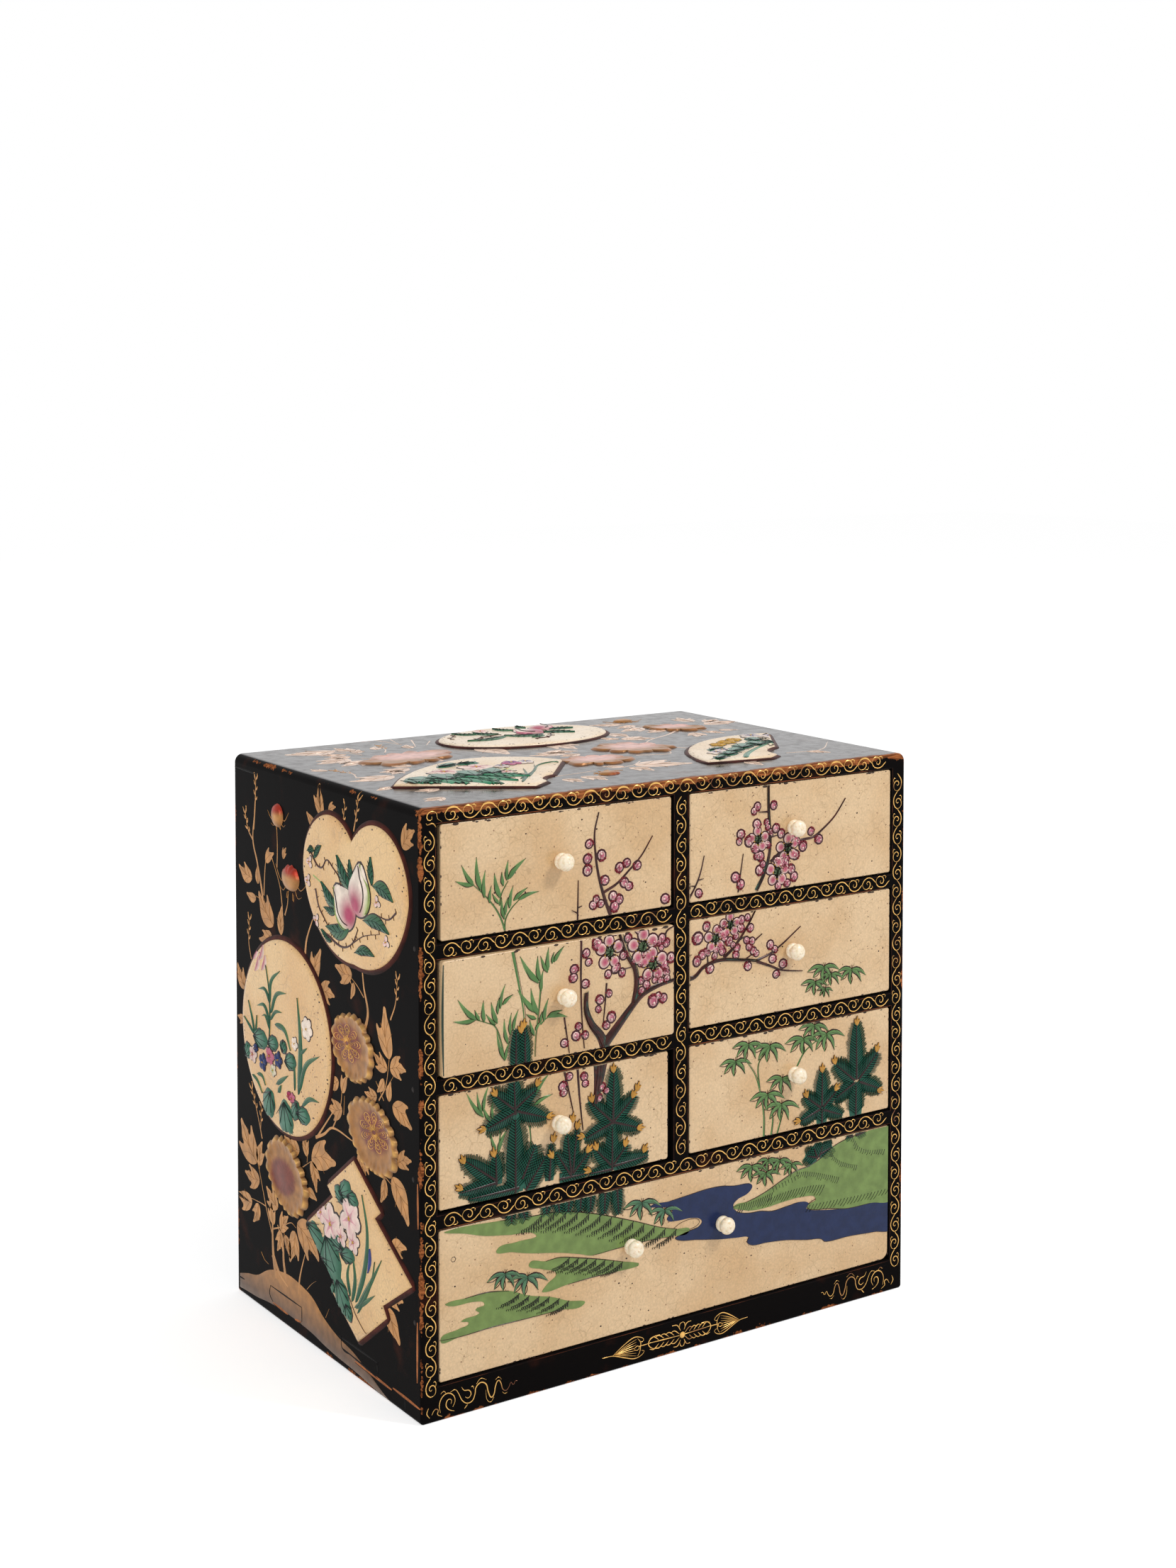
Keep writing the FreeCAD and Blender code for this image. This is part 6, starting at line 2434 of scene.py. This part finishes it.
@dataclass(frozen=True)
class Garden:
    """Where one side's stems, leaves and flowers lie, in millimetres along and up it.

    leaves are (x, y, length, angle) with their middles; stems and sprays (points, width); buds (centre,
    radii, angle of the stem, share of red, height).
    """

    leaves: tuple[tuple[float, float, float, float], ...]
    stems: tuple[Mark, ...]
    sprays: tuple[Mark, ...]
    peonies: tuple[Peony, ...]
    buds: tuple[tuple[Point, Point, float, float, float], ...]
    hill: tuple[Point, ...] = ()
    # How far the gold is paled as painted sheen.
    painted_sheen: float = 0.0

    def build(self, name: str, face: Face, gold: bpy.types.Material) -> None:
        """Paints the garden on one side.

        Args:
            name: the start of the pieces' names.
            face: the side of the chest.
            gold: the gold paint.
        """
        garden = GoldGarden(face, len(name))
        garden.painted_sheen = self.painted_sheen
        if self.hill:
            garden.mound(self.hill)
        for points, width in self.stems:
            garden.stem(points, width)
        for points, width in self.sprays:
            garden.spray(points, width)
        for x, y, length, angle in self.leaves:
            garden.gold_leaf(polar((x, y), -length / 2, math.radians(angle)), length, angle)
        garden.settle(name + "_gold_garden", gold, "case", Slot.LACQUER)
        raised = GoldGarden(face, len(name) + 1)
        for bud in self.buds:
            raised.bud(*bud)
        raised.settle(name + "_gold_buds", gold, "case", Slot.LACQUER)
        for k, peony in enumerate(self.peonies, 1):
            peony.build(f"{name}_peony_{k}", face, gold)


SIDE_GARDEN = Garden(
    leaves=(
        (102, 289, 16, 100), (92, 278, 11, 150), (193, 284, 15, 40), (115, 287, 8, 20), (14, 237, 16, 165),
        (29, 238, 10, 90), (21, 225, 11, 175), (39, 221, 22, 140), (57, 218, 15, 85), (38, 206, 15, 200),
        (43, 250, 11, 30), (61, 255, 7, 60), (97, 202, 20, 65), (108, 190, 16, 5), (127, 206, 17, 175),
        (136, 198, 9, 250), (8, 178, 15, 130), (7, 155, 8, 180), (171, 184, 24, 100), (165, 169, 14, 160),
        (182, 169, 15, 10), (165, 157, 10, 230), (174, 156, 10, 80), (186, 147, 19, -20), (155, 150, 12, 185),
        (115, 146, 12, 200), (127, 148, 11, 60), (117, 133, 15, 190), (188, 125, 14, 20), (184, 105, 24, -50),
        (167, 105, 13, -110), (145, 110, 15, -70), (84, 105, 12, 100), (103, 102, 26, 10), (93, 91, 15, -70),
        (68, 101, 17, 170), (16, 88, 26, 135), (30, 85, 14, 75), (20, 70, 17, 180), (10, 55, 18, 180),
        (24, 51, 13, -120), (44, 65, 15, 150), (44, 56, 11, 100), (85, 54, 26, -25), (68, 46, 18, -110),
        (58, 55, 13, 50), (90, 80, 11, -10), (182, 80, 16, 20), (178, 54, 16, 10), (175, 40, 20, -40),
        (52, 44, 12, -110), (62, 44, 12, -60),
    ),
    stems=(
        (((35, 224), (33, 232), (28, 245), (23, 256), (25, 270), (26, 278)), 3.4),
        (((36, 228), (38, 245), (41, 253)), 2.0), (((52, 246), (52.6, 256), (52, 268)), 1.8),
        (((58, 226), (55, 237), (46, 250)), 1.6), (((61, 222), (64, 228), (65, 234)), 2.0),
        (((37, 213), (34, 224), (26, 226)), 1.4), (((84, 205), (86, 214), (93, 226)), 3.4),
        (((147, 178), (152, 190), (148, 202), (146, 213)), 4.4), (((148, 197), (140, 202), (127, 207)), 1.2),
        (((132, 206), (134, 202), (136, 200)), 1.0), (((163, 149), (170, 158), (174, 174)), 1.6),
        (((170, 156), (178, 165)), 1.0), (((168, 150), (160, 158)), 1.0),
        (((95, 112), (104, 116), (114, 122), (136, 121)), 3.0), (((114, 122), (122, 134), (125, 148)), 1.8),
        (((96, 112), (112, 128), (120, 136)), 2.4), (((126, 132), (127, 142)), 1.0),
        (((170, 112), (176, 110), (182, 108)), 1.0), (((80, 92), (90, 98), (94, 100)), 1.0),
        (((85, 96), (86, 104)), 0.9), (((48, 22), (45, 32), (44, 42), (44, 56)), 6.0),
        (((44, 34), (52, 26), (62, 22)), 6.0), (((60, 24), (57, 34), (56, 44), (50, 52)), 5.0),
        (((74, 22), (76, 32), (82, 46)), 3.0), (((44, 44), (36, 58), (28, 76), (24, 84)), 1.8),
        (((36, 58), (30, 58), (16, 57)), 1.2), (((28, 76), (30, 82)), 1.0),
        (((44, 48), (54, 52), (66, 58), (72, 57)), 1.6), (((30, 31), (34, 28), (39, 27)), 0.7),
        (((84, 28), (90, 33), (95, 36)), 0.7), (((105, 20), (109, 26)), 0.6),
        (((160, 45), (166, 44), (172, 43)), 1.2), (((140, 112), (138, 108)), 1.2),
        (((56, 42), (58, 50)), 2.0),
    ),
    sprays=(
        (((24, 262), (26, 275), (27, 289)), 2.4), (((23, 256), (17, 261), (14, 269)), 2.0),
        (((138, 279), (140, 285), (143, 295)), 2.0), (((127, 283), (129, 291)), 1.2),
        (((20, 190), (17, 199), (18, 211)), 1.6), (((175, 192), (180, 201), (182, 213)), 1.8),
        (((32, 94), (27, 105), (20, 118)), 1.8), (((30, 98), (31, 108), (31, 114)), 1.4),
    ),
    peonies=(
        Peony((136.4, 169), (22.6, 17), (15.5, 10.4), (-4, 1.6), 2.0, 19, True, -12, 0.1),
        Peony((157.2, 129.4), (26.6, 18), (16.5, 11), (3, 3), 2.0, 22, True, -14, 0.1),
        Peony((62.2, 82), (25.2, 18.6), (15.4, 10.4), (-3.2, -1), 2.1, 21, False, -26, 0.1),
    ),
    buds=(((53.4, 274), (6.2, 6.4), -85, 1.0, 2.4), ((68.4, 243), (9.8, 7), -95, 1.0, 2.4)),
    hill=(
        (0.4, 10), (13, 14), (25, 17), (38, 24), (50, 27.6), (65, 29.5), (85, 27.5), (93, 25), (102, 20),
        (118, 15), (135, 12.5), (150, 8), (165, 3), (175, 0.4),
    ),
)

# The deep ruffles and soft hearts of the top's peonies, and their colours paled with painted sheen: a rose
# heart and copper for the painted highlight on the ruffle crests.
TOP_PEONY_PAINTED_SHEEN = (0.36, 1.8, GOLD.rose, GOLD.copper)

TOP_GARDEN = Garden(
    leaves=(
        (36, 182, 28, 175), (57, 182, 15, 110), (43, 169, 14, 160), (41, 160, 14, 170), (33, 150, 22, 200),
        (39, 138, 21, 210), (74, 177, 10, 70), (56, 118, 15, 110), (46, 106, 18, 190), (43, 100, 12, 230),
        (24, 90, 26, 190), (14, 60, 12, 210), (30, 44, 13, 180), (78, 127, 18, -60), (108, 110, 15, 95),
        (122, 132, 26, -80), (142, 106, 21, 180), (152, 108, 18, -10), (163, 126, 26, -80),
        (174, 43, 30, -20), (156, 37, 15, -70), (148, 51, 11, 150), (106, 27, 13, -70), (119, 27, 16, -70),
        (220, 28, 17, -20), (216, 18, 13, -80), (202, 134, 13, 120), (215, 124, 19, -20),
        (213, 141, 17, -80), (231, 179, 19, 160), (236, 166, 15, 200), (233, 155, 19, 200),
        (241, 143, 16, 205), (252, 118, 15, 240), (266, 120, 14, -60), (279, 122, 11, -30),
        (283, 170, 18, 85), (294, 148, 25, 0), (293, 158, 13, 20), (60, 172, 12, 60), (150, 96, 13, 190),
        (92, 172, 12, 75), (13, 128, 10, 120), (270, 29, 13, -50), (20, 20, 13, 200),
    ),
    stems=(
        (((258, 142), (240, 128), (218, 116), (206, 104)), 3.4), (((180, 76), (198, 70), (206, 84)), 1.8),
        (((253, 36), (275, 34), (298, 54)), 1.8), (((87.4, 203.4), (90, 192), (92, 180)), 1.8),
        (((105, 192), (98, 176), (94, 168)), 1.6), (((96, 200), (92, 184)), 1.4),
        (((112, 183), (102, 170)), 1.4), (((133, 46), (112, 43), (92, 41)), 1.4),
        (((206, 104), (216, 84), (226, 70)), 2.0), (((170, 58), (160, 50), (150, 46)), 1.6),
        (((44, 182), (52, 172), (56, 160)), 1.4), (((50, 150), (58, 146)), 1.2),
        (((72, 136), (78, 130)), 1.4), (((122, 146), (118, 162), (112, 176)), 1.4),
        (((236, 186), (240, 172), (248, 160)), 1.4), (((278, 146), (286, 148)), 1.4),
        (((268, 128), (262, 136)), 1.2), (((24, 116), (22, 104)), 1.0), (((160, 142), (162, 132)), 1.2),
        (((200, 40), (212, 34)), 1.2),
    ),
    sprays=((((70, 160), (76, 170), (80, 184)), 1.6), (((18, 96), (22, 108), (20, 122)), 1.4)),
    peonies=(
        Peony((71, 136), (30, 16), (29, 15), (4, 5), 1.1, 9, False, 12, *TOP_PEONY_PAINTED_SHEEN),
        Peony((151, 73), (21, 13), (20, 12), (3, 4), 1.1, 8, False, -8, *TOP_PEONY_PAINTED_SHEEN),
        Peony((193, 97), (23, 15.5), (21.5, 14.5), (4, 5), 1.1, 8, False, -35, *TOP_PEONY_PAINTED_SHEEN),
        Peony((257, 146), (18, 10), (16, 8.6), (3, 4), 1.1, 7, False, -38, *TOP_PEONY_PAINTED_SHEEN),
    ),
    buds=(((134, 35), (6.6, 4.6), 120, 0.25, 1.2), ((248, 186), (6.6, 4.6), -100, 0.15, 1.2)),
    # Painted sheen: the top's gold leaves and stems are paled most of the way to a light colour.
    painted_sheen=0.75,
)


@dataclass(frozen=True)
class Joinery:
    """The case's joints where they show through the lacquer of a side."""

    cracks: tuple[tuple[Point, ...], ...] = (
        ((41, 16), (78, 16.2)), ((41, 16), (40, 11), (44, 8)), ((78, 16), (78, 8.6)),
        ((119, 15.6), (161, 16)), ((122, 16), (123, 10.4), (133, 10)), ((160, 15.6), (161, 10.4)),
        ((1, 293), (30, 292.6)), ((0.5, 8.4), (9, 8.9)), ((188, 9), (188.6, 1)),
        ((123, 10.4), (150, 9), (161, 8)),
    )
    bared: tuple[tuple[Point, ...], ...] = (
        ((44, 7.6), (62, 7)), ((70, 7.2), (77, 8)), ((137, 8.4), (149, 8)), ((148, 8), (175, 7.4)),
        ((176, 8.8), (203, 8)), ((200.4, 50), (200, 20)), ((201, 118), (201.4, 96)),
    )
    pegs: tuple[Point, ...] = ((197, 163), (199, 232), (197, 119), (198, 49))

    def build(self, name: str, face: Face, lacquer_paint: bpy.types.Material) -> None:
        """Lays the cracks, the bared wood and the pegs of one side.

        Args:
            name: the start of the piece's name.
            face: the side.
            lacquer_paint: the paint of worn lacquer.
        """
        marks = Relief(face, 11)
        for line in self.cracks:
            marks.stroke(line, 1.2, shade("#070606"), Outline.SWELL, 0.02, 0.05, 2, over=0.12)
        for line in self.bared:
            marks.stroke(line, 1.9, shade("#a8663c"), Outline.SWELL, 0.03, 0.05, 2, over=0.1)
            below = [(x, y - 0.7) for x, y in line]
            marks.stroke(below, 0.6, shade("#0b0909"), Outline.SWELL, 0.02, 0.05, 2, over=0.1)
        for spot in self.pegs:
            marks.bead(spot, 1.4, shade("#2b2523"), shade("#0e0c0c"), 0.12, segments=8)
        marks.settle(name + "_joints", lacquer_paint, "case", Slot.LACQUER)


# ---------------------------------------------------------------- the case


def rounded(size: Point, rounds: tuple[float, float, float, float]) -> Height:
    """Gives the height of a board's surface where it falls off over its rounded edges.

    Args:
        size: the board's width and height, in millimetres.
        rounds: the radii of its left, right, lower and upper edges.

    Returns:
        A function from a place on the board to the height of its surface there, 0 or less.
    """

    def rise(x: float, y: float) -> float:
        """Adds up the fall over each edge that is near.

        Args:
            x: how far along the board a place is.
            y: how far up it is.

        Returns:
            How far the surface stands off the flat, which is zero or less.
        """
        fall = 0.0
        for inward, radius in zip((x, size[0] - x, y, size[1] - y), rounds):
            over = min(max(radius - inward, 0.0), radius)
            fall += radius - math.sqrt(radius**2 - over**2)
        return -fall

    return rise


@dataclass(frozen=True)
class Case:
    """The lacquered case: its faces and what is rubbed off them.

    low is its lower front left corner and high its upper back right one, in metres. clear is the gap
    between a drawer's front and the edge of its opening. upper_round, foot_round and arris are the
    radii of its top, bottom and other edges.
    """

    low: Vector
    high: Vector
    clear: float = 1.1
    upper_round: float = 4.5
    foot_round: float = 1.8
    arris: float = 1.5

    @property
    def front(self) -> Face:
        """The front, measured from its lower left corner."""
        return Face(self.low / MM, *TO_THE_FRONT)

    def side(self, right: bool) -> Face:
        """Measures a side of the case from its lower back corner.

        Args:
            right: whether it is the right side.

        Returns:
            The side.
        """
        back = self.high.y / MM
        origin = Vector(((self.high if right else self.low).x / MM, back, 0))
        size = (back - self.low.y / MM, self.high.z / MM)
        edges = rounded(size, (self.arris, self.arris, self.foot_round, self.upper_round))
        return Face(origin, Vector((0, -1, 0)), Vector((0, 0, 1)), Vector((1 if right else -1, 0, 0)), edges)

    @property
    def top(self) -> Face:
        """The top, measured from its front left corner."""
        origin = Vector((self.low.x, self.low.y, self.high.z)) / MM
        size = ((self.high.x - self.low.x) / MM, self.high.y / MM - origin.y)
        edges = rounded(size, (self.upper_round, self.upper_round, self.arris, self.arris))
        return Face(origin, Vector((1, 0, 0)), Vector((0, 1, 0)), Vector((0, 0, 1)), edges)

    def rubbed_edges(self, lacquer_paint: bpy.types.Material) -> None:
        """Runs a thin red-brown line along the rubbed edge of every drawer opening.

        Args:
            lacquer_paint: the paint of worn lacquer.
        """
        relief = Relief(self.front, 7)
        for name in DRAWERS:
            low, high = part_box(name + "_front")
            x0, x1 = (low.x - self.low.x) / MM - self.clear, (high.x - self.low.x) / MM + self.clear
            z0, z1 = low.z / MM - self.clear, high.z / MM + self.clear
            low_left, low_right, high_left, high_right = (x0, z0), (x1, z0), (x0, z1), (x1, z1)
            across = ((low_left, low_right), (high_left, high_right))
            for line in (*across, (low_left, high_left), (low_right, high_right)):
                seed = relief.rng.uniform(0, 50)

                def rub(t: float, _side: float, seed: float = seed) -> Colour:
                    """Shows wood where the lacquer is rubbed off.

                    Args:
                        t: the share along the edge.
                        seed: what tells one edge's worn places from another's.

                    Returns:
                        Its colour there.
                    """
                    coarse = noise.noise(Vector((seed, t * 9, 0)))
                    fine = noise.noise(Vector((seed, t * 40, 5)))
                    return between(shade("#1c1412"), shade("#7a4128"), 0.35 + 1.3 * (coarse + 0.5 * fine))

                relief.stroke(line, 0.75, rub, Outline.EVEN, lift=0.01, swell=0.02, across=2, step=1.6)
        relief.settle("rubbed_edges", lacquer_paint, "case", Slot.LACQUER)


DRAWERS: dict[str, tuple[Picture | RiverBank, tuple[Point, ...]]] = {
    "drawer_top_left": (TOP_LEFT, ((80.8, 266.05),)),
    "drawer_top_right": (TOP_RIGHT, ((228.9, 267.05),)),
    "drawer_mid_left": (MID_LEFT, ((80.4, 198.7),)),
    "drawer_mid_right": (MID_RIGHT, ((228.35, 200.8),)),
    "drawer_low_left": (LOW_LEFT, ((79.15, 134.45),)),
    "drawer_low_right": (LOW_RIGHT, ((230.1, 133.7),)),
    "drawer_wide": (RiverBank(), ((123.3, 62.35), (181.9, 62.35))),
}
# Dark marks on two slabs: a dark green line down the left edge of one and a small dark ring on the other.
STRAY_MARKS: dict[str, tuple] = {
    "drawer_mid_left": ((((11.6, 170), (11.2, 196), (11.6, 224)), 1.6, shade("#2a3a30")),),
    "drawer_wide": ((((17, 78), (18.4, 79.4), (19.8, 78), (18.4, 76.6), (17, 78)), 0.8, PAINTS.soot),),
}


# ---------------------------------------------------------------- studio


@dataclass(frozen=True)
class Studio:
    """A white floor, soft lamps and the camera.

    sky is the strength of the light from all round and glow what keeps the floor white to the eye.
    The lamps are (name, place, size, power).
    """

    lens: float = 52.708
    sensor: float = 36.0
    shift: float = -0.1808
    place: tuple[float, float, float] = (-0.6952, -1.0402, 0.4989)
    yaw: float = 34.069
    pitch: float = 2.721
    sky: float = 0.52
    glow: float = 0.52
    floor: str = "#f4f4f4"
    floor_reach: float = 6.0
    lamps: tuple = (("key", (1.0, -1.3, 1.9), 0.45, 29), ("fill", (-2.2, -0.5, 1.0), 1.2, 16))
    lit: tuple[float, float, float] = (0, 0, 0.15)

    def camera(self) -> None:
        """Sets up the camera."""
        data = bpy.data.cameras.new("camera")
        data.sensor_width = self.sensor
        data.lens = self.lens
        data.shift_y = self.shift
        camera = bpy.data.objects.new("camera", data)
        camera.location = self.place
        camera.rotation_euler = (math.radians(90 - self.pitch), 0, math.radians(-self.yaw))
        bpy.context.scene.collection.objects.link(camera)
        bpy.context.scene.camera = camera

    def seen(self, mix: Recipe) -> bpy.types.NodeSocket:
        """Gives 1 for what is seen straight, in a reflection or through glass, and 0 for what only lights.

        Args:
            mix: the recipe that asks.

        Returns:
            The output with the answer.
        """
        rays = mix.add("LightPath", output="node")
        answer = rays.outputs["Is Camera Ray"]
        for kind in ("Is Glossy Ray", "Is Transmission Ray"):
            answer = mix.add("Math", {0: answer, 1: rays.outputs[kind]}, operation="MAXIMUM")
        return answer

    def white_sky(self) -> None:
        """Lights evenly from all round, and shows white to the eye and in reflections."""
        mix = Recipe("white_sky", "worlds", "Background")
        strength = mix.add("MapRange", {0: self.seen(mix), 3: self.sky, 4: 1.0})
        bpy.context.scene.world = mix.finish(Color=(1, 1, 1, 1), Strength=strength)

    def white_floor(self) -> None:
        """Lays a matt white floor that shows white but keeps the chest's shadow."""
        mix = Recipe("matt_white_board")
        glow = mix.add("Math", {0: self.seen(mix), 1: self.glow}, **TIMES)
        white = {"Emission Color": (1, 1, 1, 1), "Emission Strength": glow, "Specular IOR Level": 0.0}
        material = mix.finish(Base_Color=shade(self.floor), Roughness=0.9, **white)
        bm = bmesh.new()
        bmesh.ops.create_grid(bm, x_segments=1, y_segments=1, size=self.floor_reach)
        mesh = bpy.data.meshes.new("floor")
        bm.to_mesh(mesh)
        bm.free()
        mesh.materials.append(material)
        floor = bpy.data.objects.new("floor", mesh)
        bpy.context.scene.collection.objects.link(floor)

    def lamp(self, name: str, place: tuple[float, float, float], size: float, power: float) -> None:
        """Hangs one soft square lamp that faces the chest.

        Args:
            name: its name.
            place: where it hangs, in metres.
            size: the length of its edge in metres.
            power: its power in watts.
        """
        data = bpy.data.lights.new(name, "AREA")
        data.size = size
        data.energy = power
        lamp = bpy.data.objects.new(name, data)
        lamp.location = place
        lamp.rotation_euler = (Vector(self.lit) - Vector(place)).to_track_quat("-Z", "Y").to_euler()
        bpy.context.scene.collection.objects.link(lamp)

    def build(self) -> None:
        """Sets up the whole studio."""
        bpy.context.scene.view_settings.view_transform = "Standard"
        self.camera()
        self.white_sky()
        self.white_floor()
        for lamp in self.lamps:
            self.lamp(*lamp)


# ---------------------------------------------------------------- putting it together


def dress(node: str, finish: bpy.types.Material) -> None:
    """Gives a carried-over CAD node its finish.

    Args:
        node: the node's name.
        finish: its material.
    """
    mesh = frame["nodes"][node].data
    mesh.materials.clear()
    mesh.materials.append(finish)


def main() -> None:
    """Builds the chest from the case outwards and reports each piece."""
    logging.basicConfig(level=logging.INFO, format="%(message)s")
    Studio().build()
    front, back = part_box("left_side")
    case_low = Vector((front.x, front.y, 0))
    case_high = Vector((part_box("right_side")[1].x, back.y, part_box("top_board")[1].z))
    case = Case(case_low, case_high)
    lacquer = Urushi("black_urushi", case_low, case_high).material()
    glaze = CrackleGlaze("crackled_cream_glaze").material()
    plaque_glaze = CrackleGlaze("plaque_glaze", "#e6bf86", "#dbab6e", roughness=0.26, specks=0.4).material()
    # A paler copy of the plaque glaze, for the plaques of the top.
    paler_top_plaque = CrackleGlaze("bleached_glaze", "#f3e0c6", "#e8caa4", roughness=0.3, specks=0.4).material()
    enamel = PaintedRelief("overglaze_enamel").material()
    gold = PaintedRelief("gold_lacquer", 0.3, 0.22, metallic=0.35, sheen=0.25, depth=0.03).material()
    lacquer_paint = PaintedRelief("rubbed_lacquer", 0.4, 0.3, sheen=0.05).material()
    bone = TurnedBone("turned_bone").material()
    wood = Paulownia("aged_paulownia").material()
    finishes = {"black_lacquer": lacquer, "drawer_wood": wood, "crackle_glaze": glaze}
    finishes |= {"plaque_ceramic": plaque_glaze, "knob_bone": bone}
    for part in frame["record"]["subparts"]:
        dress(part["node"], finishes[part["material_slot"]])
    Scrollwork().build(case.front, gold)
    case.rubbed_edges(lacquer_paint)
    for name, right in (("left", False), ("right", True)):
        side = case.side(right)
        SIDE_GARDEN.build(name, side, gold)
        Joinery().build(name, side, lacquer_paint)
        paintings = {"peach": PlaqueArt.fruiting_peach, "round": PlaqueArt.meadow, "cards": PlaqueArt.mallow}
        for seed, (shape, paint) in enumerate(paintings.items()):
            Plaque(f"plaque_{name}_{shape}", side).build(paint, (plaque_glaze, enamel, lacquer_paint), seed)
    TOP_GARDEN.build("top", case.top, gold)
    paintings = {"fan_left": PlaqueArt.left_fan, "fan_right": PlaqueArt.right_fan, "oval": PlaqueArt.magnolia}
    for seed, (shape, paint) in enumerate(paintings.items()):
        Plaque(f"plaque_top_{shape}", case.top).build(paint, (paler_top_plaque, enamel, lacquer_paint), seed)
    for seed, (name, (picture, knobs)) in enumerate(DRAWERS.items(), 1):
        drawer = DrawerFront(name, picture, knobs, case_low.x / MM, seed, STRAY_MARKS.get(name, ()))
        drawer.paint(enamel)
        drawer.chips(enamel)
        TurnedKnob(drawer).build(bone)


if __name__ == "__main__":
    main()
